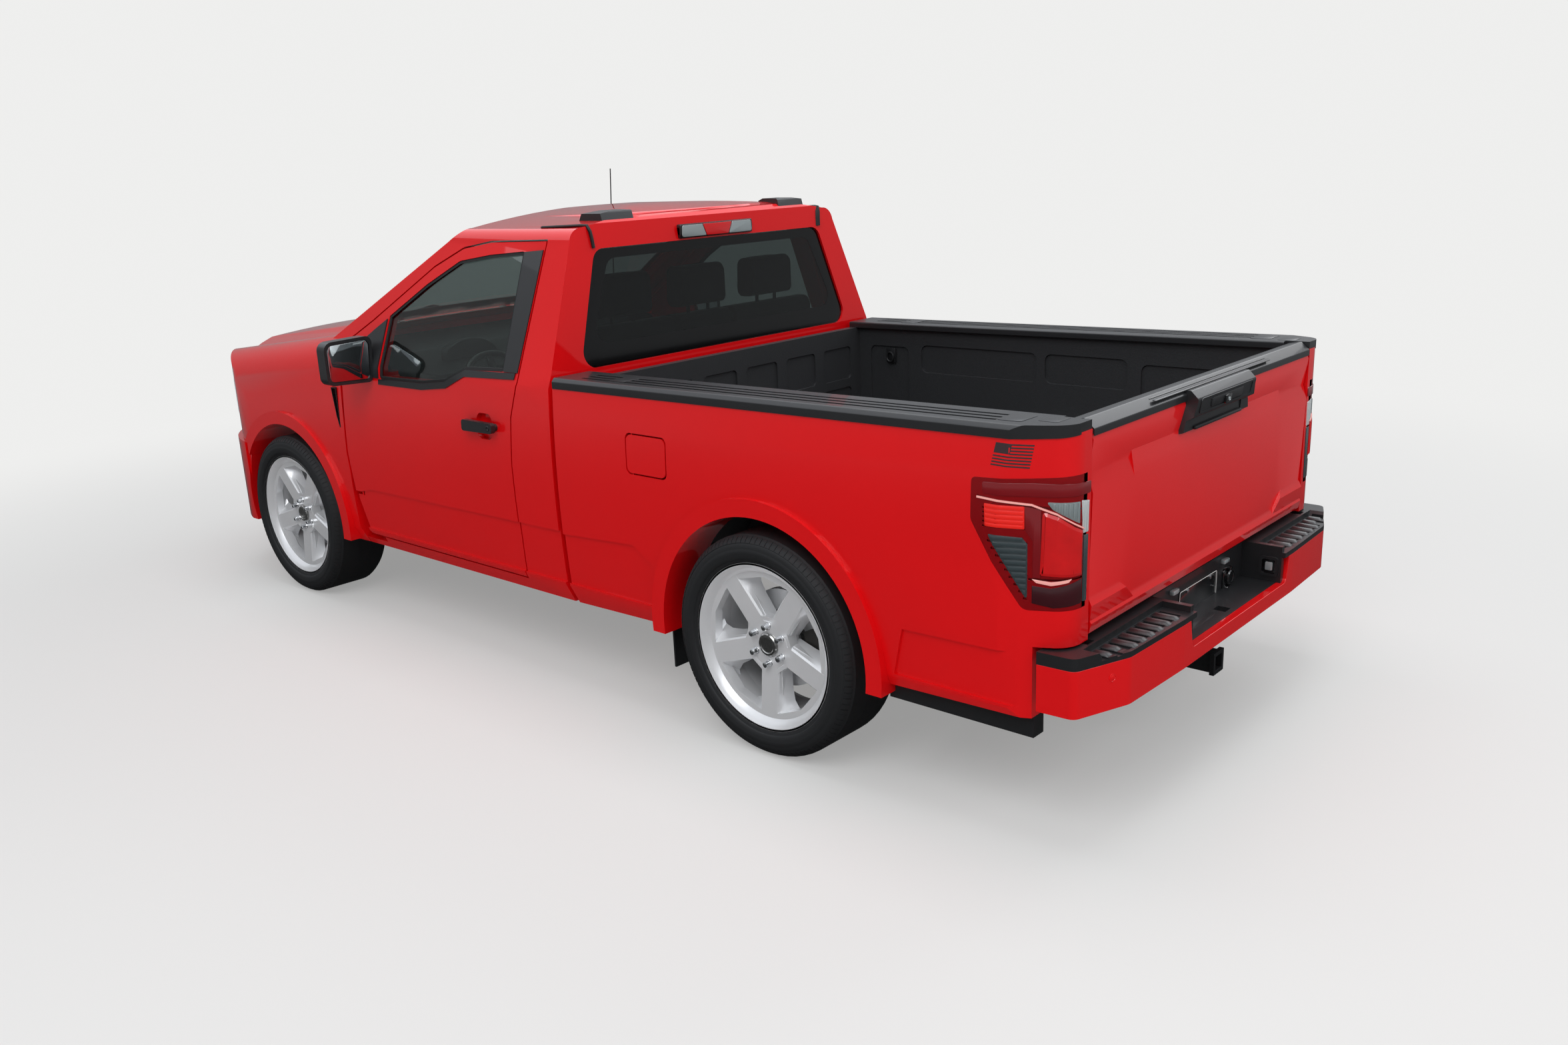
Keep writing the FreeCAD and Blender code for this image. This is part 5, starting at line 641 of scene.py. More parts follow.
def bed_skin(y: float, z: float) -> float:
    """Distance from the centre line to the bed side's skin at a place."""
    side = side_half(z)
    for arc in CORNER_ARCS:
        if arc[0][1] <= y < arc[2][1]:
            x, middle, radius = circle_through(arc)
            return min(side, x + sqrt(max(0.0, radius ** 2 - (y - middle) ** 2)))
    return side if y < CORNER_ARCS[0][0][1] else CORNER_ARCS[1][2][0]


def corner_point(run: float) -> tuple[Vector, Vector]:
    """The place (x, y) at a distance round the rear corner's plan, and its outward direction."""
    for arc in CORNER_ARCS:
        x, y, radius = circle_through(arc)
        centre = Vector((x, y))
        start, end = Vector(arc[0]) - centre, Vector(arc[2]) - centre
        turn = start.angle_signed(end)
        long = abs(turn) * radius
        if run <= long:
            out = (Matrix.Rotation(-turn * run / long, 2) @ start).normalized()
            return centre + out * radius, out
        run -= long
    return Vector((CORNER_ARCS[1][2][0] - run, CORNER_ARCS[1][2][1])), Vector((0.0, 1.0))


def on_corner(sign: float) -> Place:
    """A placing function for (distance round the rear corner, z, height over the skin)."""
    def place(run: float, z: float, height: float) -> Spot:
        spot, out = corner_point(run)
        x = min(spot.x, side_half(z)) + height * out.x
        return sign * x, spot.y + height * out.y, z
    return place


def on_side(sign: float, surface: Callable[[float, float], float], way: float = 1.0) -> Place:
    """A placing function for (y, z, height over a surface) on one side."""
    return lambda u, v, w: (sign * (surface(u, v) + way * w), u, v)


def facing_rear(y: float, sign: float = 1.0, way: float = 1.0) -> Place:
    """A placing function for (x, z, height) on an upright plane across the truck."""
    return lambda u, v, w: (sign * u, y + way * w, v)


# Tail lamps

# Injection-moulded acrylic over a vacuum-metallised housing: glossy, deep, smoked where unlit
LAMP_HOUSING = Finish("smoked_acrylic_housing", "#14060a", 0.12, coat=1)
# The glow of the band, ribs, lens and edge is painted light: it stands in for what the reflectors
# behind the acrylic throw back
LAMP_BAND = Finish("deep_red_acrylic_band", "#78060f", 0.15, coat=1, pitch_mm=9, depth_mm=0.02,
                   glow=0.04)
LAMP_RIBBED = Finish("bright_red_acrylic_ribs", "#dc190d", 0.2, coat=1, pitch_mm=5, depth_mm=0.02,
                     glow=0.22)
LAMP_LENS = Finish("red_acrylic_lens", "#bd0b0e", 0.12, coat=1, pitch_mm=14, depth_mm=0.03, mottle=0.25,
                   mottle_mm=60, glow=0.12)
LAMP_EDGE = Finish("lit_acrylic_edge", "#f2a79f", 0.2, coat=1, glow=0.15)
LAMP_LOW = Finish("dark_red_acrylic_foot", "#38060f", 0.15, coat=1)
LAMP_GREY = Finish("smoked_grey_acrylic", "#353f42", 0.18, coat=1)
LAMP_CLEAR = Finish("clear_acrylic_over_reflector", "#8f9a9b", 0.15, 0.3, coat=1)
LAMP_WHITE = Finish("fluted_clear_acrylic", "#cfd4d5", 0.15, 0.2, coat=1)
# Printed vinyl film, matt charcoal
DECAL_VINYL = Finish("printed_charcoal_vinyl", "#3c2a2d", 0.5, pitch_mm=4)


@dataclass
class TailLamps:
    """The lamps that wrap round the bed's rear corners.

    Outlines are (distance round the corner, z) on the body's surface.
    """

    line_half: float = 0.0028
    bar_gap: float = 0.003
    strip_width: float = 0.012
    band: tuple = mm(((176, 1092, 6), (330, 1099), (430, 1096), (518, 1092, 4), (518, 1058, 4),
                      (420, 1060), (320, 1060), (178, 1058, 10)))
    edge_line: tuple = mm(((160, 1047), (240, 1043), (326, 1037), (395, 1012), (445, 981), (480, 962)))
    ribbed: tuple = mm(((184, 1031, 3), (306, 1031, 3), (306, 965, 3), (188, 965, 3)))
    arm: tuple = mm(((306, 1031), (352, 1024), (352, 826), (330, 826), (330, 932), (309, 962)))
    lens: tuple = mm(((356, 1019, 8), (400, 1004, 12), (446, 972, 4), (477, 957, 4), (476, 829, 4),
                      (441, 828, 4), (350, 834, 4)))
    smile: tuple = mm(((328, 822), (381, 815), (440, 822), (430, 812), (381, 804), (340, 811)))
    foot: tuple = mm(((328, 802), (381, 796), (478, 816), (478, 744), (388, 738), (328, 750)))
    grey: tuple = mm(((197, 944, 3), (300, 941, 6), (315, 923, 4), (315, 756, 4)))
    reverse: tuple = mm(((366, 1046, 3), (466, 1042, 3), (466, 978, 3), (440, 992, 3), (384, 1024, 3)))
    strip: tuple = mm(((472, 1044, 3), (512, 1037, 3), (509, 946, 3), (480, 948, 3)))
    strip_low: tuple = mm(((482, 942, 3), (508, 940, 3), (504, 744, 3), (482, 746, 3)))

    def _groups(self, place: Place) -> tuple:
        """Name, finish and skins of each part of one lamp."""
        def face(outline: Outline, high: float, edge: float, low: float = -0.001) -> Skin:
            return tile(outline, 0.0, (low, high), edge, place, self.strip_width)

        def bars(outline: Outline, count: int, share: float, axis: int = 1) -> list[Skin]:
            """Bars across an outline, level (axis 1) or upright (axis 0), each a share of the pitch."""
            low, high = min(p[axis] for p in outline), max(p[axis] for p in outline)
            pitch, made = (high - low) / count, []
            for k in range(count):
                middle = low + pitch * (k + 0.5)
                start, end = span(outline, middle, axis)
                if end - start < 4 * self.bar_gap:
                    continue
                corners = box((start + self.bar_gap, end - self.bar_gap),
                              (middle - pitch * share / 2, middle + pitch * share / 2))
                made.append(face([c if axis else c[::-1] for c in corners], 0.0035, 0.0015, 0.0005))
            return made

        half, lens = self.line_half, rounded(self.lens)
        line = [(u, v + half) for u, v in self.edge_line]
        line += [(u, v - 2 * half) for u, v in reversed(line)]
        facets = loft([[(u, v, w) for u, v in shrunk(lens, gap)]
                       for w, gap in ((0.0, 0.0), (0.003, 0.0), (0.0075, 0.009))])
        return (("band", LAMP_BAND, [face(self.band, 0.003, 0.002)]),
                ("edge_line", LAMP_EDGE, [face(line, 0.006, half * 0.6, 0.0),
                                          face(self.smile, 0.003, 0.0015, 0.0)]),
                ("ribs", LAMP_RIBBED,
                 [face(self.ribbed, 0.0008, 0.0004)] + bars(self.ribbed, 5, 0.72)),
                ("arm", LAMP_BAND, [face(self.arm, 0.0022, 0.001)]),
                ("lens", LAMP_LENS, [drape(facets, place, step_u=self.strip_width)]),
                ("foot", LAMP_LOW, [face(self.foot, 0.0015, 0.001)]),
                ("grey", LAMP_GREY, [face(self.grey, 0.0008, 0.0005)] + bars(self.grey, 11, 0.7)),
                ("reverse", LAMP_CLEAR,
                 [face(self.reverse, 0.001, 0.0005)] + bars(self.reverse, 7, 0.5, 0)),
                ("strip", LAMP_WHITE,
                 [face(self.strip, 0.002, 0.001)] + bars(self.strip, 3, 0.4, 0)),
                ("strip_low", LAMP_GREY, [face(self.strip_low, 0.0025, 0.001)]))

    def build(self) -> None:
        """Makes both lamps."""
        panel_from_node("taillights", LAMP_HOUSING, 1.5)
        for side, sign in SIDES:
            for name, finish, works in self._groups(on_corner(sign)):
                lay(f"tail_lamp_{name}_{side}", works, finish, slot="lens", degrees=25)


@dataclass
class FlagDecal:
    """A small striped flag in charcoal film at the rear of each bed side."""

    # Upper front, upper rear, lower front, lower rear (y, z)
    corners: tuple[Point, ...] = mm(((2325, 1207), (2433, 1206), (2310, 1142), (2421, 1139)))
    stripes: int = 8
    short_stripes: int = 4
    canton: Point = (0.47, 0.48)

    def _patch(self, u: Point, v: Point, sign: float) -> Skin:
        """A patch of film between shares of the decal's width and depth."""
        high_front, high_rear, low_front, low_rear = (Vector(c) for c in self.corners)
        spots = [tuple(high_front.lerp(high_rear, s).lerp(low_front.lerp(low_rear, s), t))
                 for s, t in box(u, v)]
        return drape(plate(spots, -0.0003, 0.0005, 0.0002, 1), on_side(sign, bed_skin), step_u=0.006)

    def build(self) -> None:
        """Lays the film on both sides, its canton towards the front."""
        unit = 1 / (2 * self.stripes - 1)
        for side, sign in SIDES:
            works = [self._patch((0.0, self.canton[0]), (0.0, self.canton[1] - unit / 2), sign)]
            for k in range(self.stripes):
                start = self.canton[0] - 0.01 if k < self.short_stripes else 0.0
                works.append(self._patch((start, 1.0), (2 * k * unit, (2 * k + 1) * unit), sign))
            lay(f"flag_decal_{side}", works, DECAL_VINYL)


# Wheels

BRUSHED_CAP = Finish("brushed_aluminium_cap", "#b4b3b0", 0.28, 1, grain=Grain.BRUSHED, pitch_mm=0.8,
                     depth_mm=0.02, pattern_axis=1)
BRAKE_STEEL = Finish("turned_brake_iron", "#7d7c7a", 0.35, 0.9, grain=Grain.RIBBED, pitch_mm=2.5,
                     depth_mm=0.03, pattern_axis=1)


@dataclass
class Wheels:
    """Four 22-inch five-spoke wheels on low tyres.

    They are drawn with the axis along X and the face outward; profiles are (x, radius).
    """

    spokes: int = 5
    around: int = 120
    face_half: float = 0.035
    bevel: float = 0.006
    spoke_deep: float = 0.062
    lug_count: int = 6
    lug_circle: float = 0.0675
    shoulder_blocks: int = 108
    shoulder: float = 0.38
    # Radius, outer face's x, half width at the spoke's back
    spoke_rows: tuple = mm(((50, 84, 36), (92, 88, 44), (125, 91, 46), (170, 95, 50), (215, 99, 60),
                            (245, 101, 80), (262, 102, 112)))
    # x, radius, share of the radius at the flats' middles
    nut: tuple = ((0.072, 0.014, 1), (0.086, 0.014, 1), (0.088, 0.0125, 1), (0.09, 0.0118, 0.93),
                  (0.1085, 0.0112, 0.93), (0.1125, 0.0095, 1), (0.1145, 0.005, 1))
    barrel: tuple = mm(((128, 298.5), (128, 292), (122, 288), (118, 276.5), (112, 273.5), (106, 272.5),
                        (101, 263), (60, 257), (-76, 252), (-108, 266), (-128, 287), (-128, 298.5),
                        (-119, 298.5), (-114, 281), (-94, 278), (-78, 262), (58, 267), (74, 277),
                        (114, 281), (119, 298.5)))
    hub: tuple = mm(((2, 0), (2, 76), (30, 92), (70, 94), (81, 90), (87, 83), (87, 46), (84, 43),
                     (84, 0)))
    cap: tuple = mm(((82, 0), (82, 40), (92, 40.5), (96.5, 37), (97.5, 30), (95.5, 27), (95.5, 0)))
    disc: tuple = mm(((-26, 60), (-26, 175), (-16, 175), (-16, 150), (-8, 150), (-8, 175), (2, 175),
                      (2, 105), (4, 90), (4, 60)))
    valve: tuple = mm(((0, 0), (0, 4.5), (22, 4.5), (26, 3.5), (26, 0)))
    valve_foot: Spot = mm((60, 150, -196))
    tyre: tuple = mm(((112, 279.5), (117, 299.5), (128.5, 301.5), (131, 305.5), (132.5, 311),
                      (136.5, 313.5), (138.5, 316), (140.8, 325), (142.2, 336), (142.4, 345),
                      (140.5, 348.5), (140.5, 350.5), (139.5, 358), (137.2, 366), (135.5, 368),
                      (135.2, 370.5), (129, 377.5), (117, 386.5), (102, 391.5), (85, 393.2),
                      (83.8, 385.5), (74.2, 385.8), (73, 394), (38, 394.8), (36.8, 386.8),
                      (27.2, 386.9), (26, 395)))
    rib: tuple = mm(((99, 393.7), (104, 393.2), (118.5, 388.5), (130.5, 379.5), (136.5, 370.5),
                     (128, 369), (100, 385)))

    def _spoke(self, angle: float) -> Skin:
        """One spoke: a flat face with bevelled edges and side walls that spread towards its back."""
        out = Vector((0.0, sin(angle), cos(angle)))
        along = Vector((0.0, cos(angle), -sin(angle)))
        half, bevel, rings = self.face_half, self.bevel, []
        for radius, face, back in self.spoke_rows:
            near = [(face, half), (face - bevel, half + bevel),
                    (face - self.spoke_deep / 2, half + (back - half) * 0.55 + bevel / 2),
                    (face - self.spoke_deep, back + bevel)]
            far = [(x, -t) for x, t in reversed(near)]
            rings.append([tuple(Vector((x, 0, 0)) + along * t
                                + out * radius * sqrt(1 - min((t / radius) ** 2, 0.2)))
                          for x, t in far[-1:] + near + far[:-1]])
        return loft(rings)

    def _nut(self) -> Mesh:
        """A six-sided nut with a cone and a domed end."""
        rings = [[(x, r * c, r * s) for r, (c, s) in zip((radius, radius * flat) * 6, circle(12))]
                 for x, radius, flat in self.nut]
        return joined([loft(rings)], "nut", 20)

    def _ribs(self) -> list[Mesh]:
        """The ribs of both shoulders, with thin gaps between them."""
        half = pi * self.shoulder / self.shoulder_blocks * 0.84
        meshes = []
        for name, side in (("outer", 1), ("inner", -1)):
            shape = loft([[(side * x, y, r - self.shoulder) for x, r in self.rib]
                          for y in (-half, half)])
            row = Row(f"shoulder_{name}", self.shoulder_blocks, ring_radius=self.shoulder,
                      phase=0.02 * side)
            meshes.append(row.mesh(joined([shape], "shoulder_block", 20), TYRE_RUBBER))
        return meshes

    def build(self) -> None:
        """Makes rim, nuts, cap, disc and tyre for each wheel."""
        rim = [self._spoke(pi / self.spokes * (2 * k + 1)) for k in range(self.spokes)]
        rim += [turned(self.barrel, self.around, closed=True), turned(self.hub, 48)]
        nuts = Row("lug_nuts", self.lug_count, ring_radius=self.lug_circle).mesh(self._nut(), CHROME)
        tread = list(self.tyre) + [(-x, r) for x, r in reversed(self.tyre)]
        tyre = joined([turned(tread, self.around, closed=True)], "tyre", 32)
        valve = moved(turned(self.valve, 12), Matrix.Translation(self.valve_foot))
        cap, disc = turned(self.cap, 32), turned(self.disc, 64, closed=True)
        parts = (("rim", [joined(rim, "rim", 24)], ALLOY, "wheel_metal"),
                 ("lug_nuts", [nuts], CHROME, "wheel_metal"),
                 ("centre_cap", [joined([cap], "cap", 24)], BRUSHED_CAP, "wheel_metal"),
                 ("brake_disc", [joined([disc], "disc", 24)], BRAKE_STEEL, "steel"),
                 ("valve", [joined([valve], "valve", 24)], TYRE_RUBBER, "tyre"),
                 ("tyre", [tyre] + self._ribs(), TYRE_RUBBER, "tyre"))
        for place in ("front_left", "front_right", "rear_left", "rear_right"):
            low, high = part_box(f"tyre_{place}")
            turn = Matrix.Rotation(0.0 if place.endswith("left") else pi, 4, "Z")
            for kind, meshes, finish, slot in parts:
                work = bmesh.new()
                for mesh in meshes:
                    work.from_mesh(mesh)
                made = bpy.data.meshes.new(f"{kind}_{place}_detail")
                moved(work, Matrix.Translation((low + high) / 2) @ turn).to_mesh(made)
                work.free()
                if kind in ("tyre", "lug_nuts"):
                    soften(made, 32)
                piece = add_piece(f"{kind}_{place}_detail", made, finish, f"wheel_{place}", slot)
                if kind in ("tyre", "rim"):
                    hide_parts(f"{kind}_{place}")


# The rear: step pads, number plate place, sensors, handle and rail covers

# Blank number plate: pressed aluminium, enamelled black with a white border
PLATE_BLACK = Finish("black_enamelled_plate", "#08090b", 0.2, coat=0.6)
PLATE_WHITE = Finish("white_enamelled_border", "#e4e4e2", 0.35)
ZINC = Finish("zinc_plated_steel", "#b5b8bb", 0.25, 1, pitch_mm=2, depth_mm=0.01)
HIGH_RED = Finish("lit_red_acrylic_block", "#c40a10", 0.15, coat=1, pitch_mm=6, depth_mm=0.03,
                  glow=0.18)


@dataclass
class StepPads:
    """The black step over the rear bumper: tread ribs, lamps, socket, plate and sensors."""

    pad_top: float = 0.592
    rib_first: float = 0.458
    rib_pitch: float = 0.054
    rib_half: float = 0.0165
    rib_high: float = 0.0085
    # Name, count, number of ribs before it, reach along the truck
    rib_rows: tuple = (("step_ribs", 6, 0, 2.556, 2.64), ("step_end_ribs", 2, 6, 2.556, 2.612))
    cheek: float = 0.36
    lamp_y: Point = mm((2566, 2634))
    lamp_z: Point = mm((500, 572))
    back: float = 2.5005
    plate_half: float = 0.15
    plate_z: Point = mm((418, 566))
    screw: tuple = mm(((0, 8), (3, 8), (5, 5), (5, 0)))
    screw_spot: Point = mm((89, 553))
    lamp_x: Point = mm((178, 222))
    socket_x: Point = mm((-268, -196))
    socket_z: Point = mm((452, 550))
    lid: tuple = mm(((0, 27), (10, 27), (14, 23), (14, 19), (12.5, 17), (12.5, 0)))
    sensor: tuple = mm(((-1, 12.5), (1.2, 12.5), (1.8, 10.8), (0.6, 9.8), (0.6, 8.5), (1.4, 7.5),
                        (1.4, 0)))
    # A place on the shell's slanted corner and its direction outward
    sensor_spot: Spot = mm((835.6434, 2619.5517, 527))
    sensor_out: Spot = (0.073, 0.194, 0.0)

    def _rib(self, front: float, rear: float) -> Mesh:
        """One rounded rib between two places along the truck."""
        half, foot = self.rib_half, -0.001
        arc = [(half * c, self.rib_high * s) for c, s in circle(18)[:10]]
        rings = [[(x, y, z * share) for x, z in arc] + [(-half, y, foot), (half, y, foot)]
                 for y, share in ((front, 0.05), (front + 0.008, 1), (rear - 0.01, 1), (rear, 0.05))]
        return joined([loft(rings)], "step_rib", 40)

    def ribs(self) -> None:
        """Rounded ribs across both pads, shorter where the bumper's corner falls away."""
        for name, count, before, front, rear in self.rib_rows:
            row = Row(name, count, (self.rib_first + before * self.rib_pitch, 0.0, self.pad_top),
                      (self.rib_pitch, 0.0, 0.0))
            add_pair(name, row.mesh(self._rib(front, rear), GRAINED_PLASTIC), GRAINED_PLASTIC)

    def cheek_lamps(self) -> None:
        """A lamp in a rounded frame on the inner side of each pad."""
        (front, rear), (foot, top) = self.lamp_y, self.lamp_z
        outer, inner, lens = (rounded(box((front + low, rear - high), (foot + low, top - high)), radius)
                              for low, high, radius in mm(((0, 0, 12), (10, 10, 8), (22, 20, 4))))
        for side, sign in SIDES:
            place = on_side(sign, lambda y, z: self.cheek, -1)
            for name, work, finish in (("bezel", frame_ring(outer, inner, 0.0, 0.006), GRAINED_PLASTIC),
                                       ("dish", plate(inner, 0.0, 0.0015, 0.0005), GLOSS_PLASTIC),
                                       ("lens", plate(lens, 0.001, 0.006, 0.002), CLEAR_BLOCK)):
                lay(f"step_lamp_{name}_{side}", [drape(work, place)], finish)

    def number_plate(self) -> None:
        """A blank plate with a thin white border and two screws, and its lamps."""
        place = facing_rear(self.back)
        outer = rounded(box((-self.plate_half, self.plate_half), self.plate_z), 0.012)
        lay("plate_blank", [drape(plate(outer, 0.0005, 0.0022, 0.0006), place)], PLATE_BLACK)
        border = frame_ring(shrunk(outer, 0.0035), shrunk(outer, 0.0065), 0.002, 0.0026)
        lay("plate_border", [drape(border, place)], PLATE_WHITE)
        x, z = self.screw_spot
        lay("plate_screws", [aimed(turned(self.screw, 20), (s * x, self.back + 0.002, z), (0, 1, 0))
                             for s in (1, -1)], ZINC, slot="steel")
        y = (self.back - 0.001, self.back + 0.016)
        lay("plate_lamps", [block(sorted(s * x for x in self.lamp_x), y, (0.574, 0.59), 0.004)
                            for s in (1, -1)], CLEAR_BLOCK)

    def socket(self) -> None:
        """The trailer socket: a moulded surround with a round and an oval lid."""
        place = facing_rear(self.back)
        low, high = self.socket_z
        middle = sum(self.socket_x) / 2
        lay("trailer_socket",
            [tile(box(self.socket_x, self.socket_z), 0.016, (0.0, 0.007), 0.003, place),
             aimed(turned(self.lid, 40), (middle, self.back + 0.006, high - 0.034), (0, 1, 0)),
             tile(box((middle - 0.02, middle + 0.02), (low + 0.006, low + 0.034)), 0.01,
                  (0.006, 0.016), 0.004, place),
             block((middle - 0.012, middle + 0.012), (self.back + 0.006, self.back + 0.02),
                   (high - 0.008, high + 0.002), 0.003)], GLOSS_PLASTIC)

    def sensors(self) -> None:
        """Round parking sensors, painted like the shell."""
        (x, y, z), (along, back, _) = self.sensor_spot, self.sensor_out
        discs = [aimed(turned(self.sensor, 32), (s * x, y, z), (s * along, back, 0)) for s in (1, -1)]
        lay("parking_sensors_painted", discs, PAINT, slot="paint", degrees=40)

    def build(self) -> None:
        """Dresses the step."""
        for part in (self.ribs, self.cheek_lamps, self.number_plate, self.socket, self.sensors):
            part()


@dataclass
class GateHandle:
    """The pull in the tailgate's cap, its camera, and the gate's liner on the bed's side."""

    half: float = 0.2
    rim_z: Point = mm((1173, 1222))
    face_y: float = 2.563
    face_z: float = 1.18
    lean: float = 0.165
    lip_y: Point = mm((2533.5, 2545.5))
    lip_z: Point = mm((1117, 1129))
    inner_y: float = 2.4635
    inner: tuple[Point, Point] = mm(((-672, 672), (755, 1120)))
    pupil: tuple = mm(((0, 6.5), (3, 6.5), (4, 5), (2.8, 4), (2.8, 0)))

    def _on_face(self, x: float, z: float, w: float) -> Spot:
        """A place on the grip's leaning face."""
        return x, self.face_y + (z - self.face_z) * self.lean + w, z

    def build(self) -> None:
        """Makes the rim with its lip, the liner and the camera."""
        outer, reach = rounded(box((-self.half, self.half), self.rim_z), 0.01), self.half - 0.022
        lay("gate_pull", [drape(frame_ring(outer, shrunk(outer, 0.006), -0.001, 0.0025), self._on_face),
                          block((-reach, reach), self.lip_y, self.lip_z, 0.004),
                          tile(box((-0.12, 0.12), (1.182, 1.213)), 0.006, (-0.001, 0.003), 0.0015,
                               self._on_face)], GRAINED_PLASTIC, "tailgate")
        liner = tile(box(*self.inner), 0.03, (-0.001, 0.006), 0.003, facing_rear(self.inner_y, way=-1))
        lay("gate_inner_cover", [liner], BED_LINER, "tailgate", "liner")
        camera = box((-0.021, 0.021), (1.176, 1.206))
        lay("gate_camera_block", [tile(camera, 0.006, (0.002, 0.009), 0.003, self._on_face)],
            GLOSS_PLASTIC, "tailgate")
        eye = aimed(turned(self.pupil, 24), self._on_face(0.0, 1.19, 0.0085), (0, 1, -self.lean))
        lay("gate_camera_eye", [eye], CLEAR_BLOCK, "tailgate", degrees=40)


@dataclass
class RailCovers:
    """Thin lids on the bed's rail caps, and low ribs on the tailgate's cap."""

    front: float = 0.389
    top: float = 1.238
    climb: float = 0.0112
    # x, y and height of each lid
    lids: tuple = mm((((838, 938), (660, 740), 1.6), ((838, 938), (2295, 2375), 1.6), ((823, 903),
                      (2405, 2470), 1.2)))
    gate_ribs: tuple[float, ...] = mm((2486, 2506, 2526))
    gate_top: Spot = (2.48, 1.2585, 0.142)
    gate_round: float = 0.61

    def _on_cap(self, u: float, v: float, w: float) -> Spot:
        """A place on the tailgate cap's top, which falls away to the rear."""
        start, height, fall = self.gate_top
        back = v - start
        return u, v, height - fall * back - self.gate_round * back * back + w

    def build(self) -> None:
        """Lays the ribs on the tailgate's cap, and the lids on both rails."""
        ribs = [tile(box((-0.44, 0.44), (y - 0.006, y + 0.006)), 0.005, (-0.001, 0.0014), 0.001,
                     self._on_cap) for y in self.gate_ribs]
        lay("tailgate_cap_ribs", ribs, GRAINED_PLASTIC, "tailgate")
        for side, sign in SIDES:
            def place(u: float, v: float, w: float, sign: float = sign) -> Spot:
                return sign * u, v, self.top + (v - self.front) * self.climb + w
            lay(f"rail_lids_{side}", [tile(box(x, y), 0.012, (-0.001, high), 0.0008, place)
                                      for x, y, high in self.lids], GRAINED_PLASTIC)


@dataclass
class HighLamp:
    """The lamp over the rear window: red between two clear lenses."""

    half: float = 0.217
    z: Point = mm((1693, 1750))
    y: Point = mm((306, 336.5))
    red: tuple = mm((64, 1698, 86, 1745, 3))
    clear: tuple = mm(((69, 1698, 3), (210, 1698, 10), (206, 1745, 10), (91, 1745, 3)))

    def build(self) -> None:
        """Makes the housing and lays three lenses on its rear face."""
        lay("high_lamp_housing", [block((-self.half, self.half), self.y, self.z, 0.006)], SATIN_PLASTIC)
        red, clear = (tile(outline, 0.0, (-0.002, 0.003), 0.001, facing_rear(self.y[1]))
                      for outline in (trapezoid(*self.red), self.clear))
        lay("high_lamp_red", [red], HIGH_RED, slot="lens")
        add_pair("high_lamp_clear", joined([clear], "high_lamp_clear_left"), CLEAR_BLOCK, "clear_lens")


# The sides and the cab: vents, mirrors, glass borders, roof strips and wipers

MIRROR_SILVER = Finish("silvered_mirror_glass", "#c5cace", 0.03, 1)
# Black enamel fired onto the glass's rim
GLASS_ENAMEL = Finish("fired_black_enamel", "#060708", 0.12, coat=0.2)


def on_screen(x: float, z: float, w: float) -> Spot:
    """A place over the windshield's outer face."""
    return x, -0.957 + (z - 1.5) * 1.887 + 0.164 * x * x - 0.468 * w, z + 0.884 * w


def on_rear_glass(x: float, z: float, w: float) -> Spot:
    """A place behind the rear window's outer face."""
    return x, 0.3486 - 0.098 * (z - 1.3) + w, z


@dataclass
class GlassTrim:
    """Enamel borders of the windshield and the rear window, roof strips and wipers."""

    # Name, outer and inner edge, surface, strip width
    borders: tuple = (("rear_glass", mm((814, 1243, 665, 1682, 55)), mm((735, 1325, 600, 1645, 55)),
                       on_rear_glass, 0.0),
                      ("windshield", mm((784, 1336, 650, 1742, 66)), mm((735, 1385, 620, 1712, 50)),
                       on_screen, 0.06))
    strip: tuple = mm(((671, 321.5, 1690), (674, 318.5, 1725), (678, 316.5, 1752), (684, 308, 1773.5),
                       (694, 285, 1774.5), (706, 235, 1773), (716, 160, 1771), (722, 90, 1769)))
    # Each blade's ends and its arm's pivot, as x
    blades: tuple = mm(((690, 100, 600), (30, -540, -60)))
    knob: tuple = mm(((0, 17), (12, 17), (18, 12), (18, 0)))

    def _wiper(self, start: float, end: float, pivot: float) -> list[Skin]:
        """A blade at rest on the windshield's foot, its arm and the arm's knob."""
        blade = [on_screen(start + (end - start) * t, 1.352 + 0.016 * sin(pi * t), 0.01)
                 for t in (k / 10 for k in range(11))]
        middle = (start + end) / 2
        arm = [on_screen(pivot, 1.322, 0.014), on_screen(pivot - 0.08, 1.34, 0.026),
               on_screen(middle + 0.03, 1.366, 0.022), on_screen(middle, 1.368, 0.014)]
        return [tube(blade, 0.006), tube(arm, 0.008, flat=0.6),
                aimed(turned(self.knob, 20), on_screen(pivot, 1.322, 0.002), (0, -0.468, 0.884))]

    def build(self) -> None:
        """Dresses the cab's glass and roof."""
        for name, outer, inner, surface, width in self.borders:
            ring = frame_ring(trapezoid(*outer), trapezoid(*inner), 0.0001, 0.0006)
            lay(f"{name}_border", [drape(ring, surface, step_u=width)], GLASS_ENAMEL, slot="glass")
        add_pair("roof_strip", joined([tube(self.strip, 0.014, 12, flat=0.5)], "roof_strip_left", 50),
                 RUBBER_SEAL)
        wipers = [work for blade in self.blades for work in self._wiper(*blade)]
        lay("wipers", wipers, SATIN_PLASTIC, degrees=45)


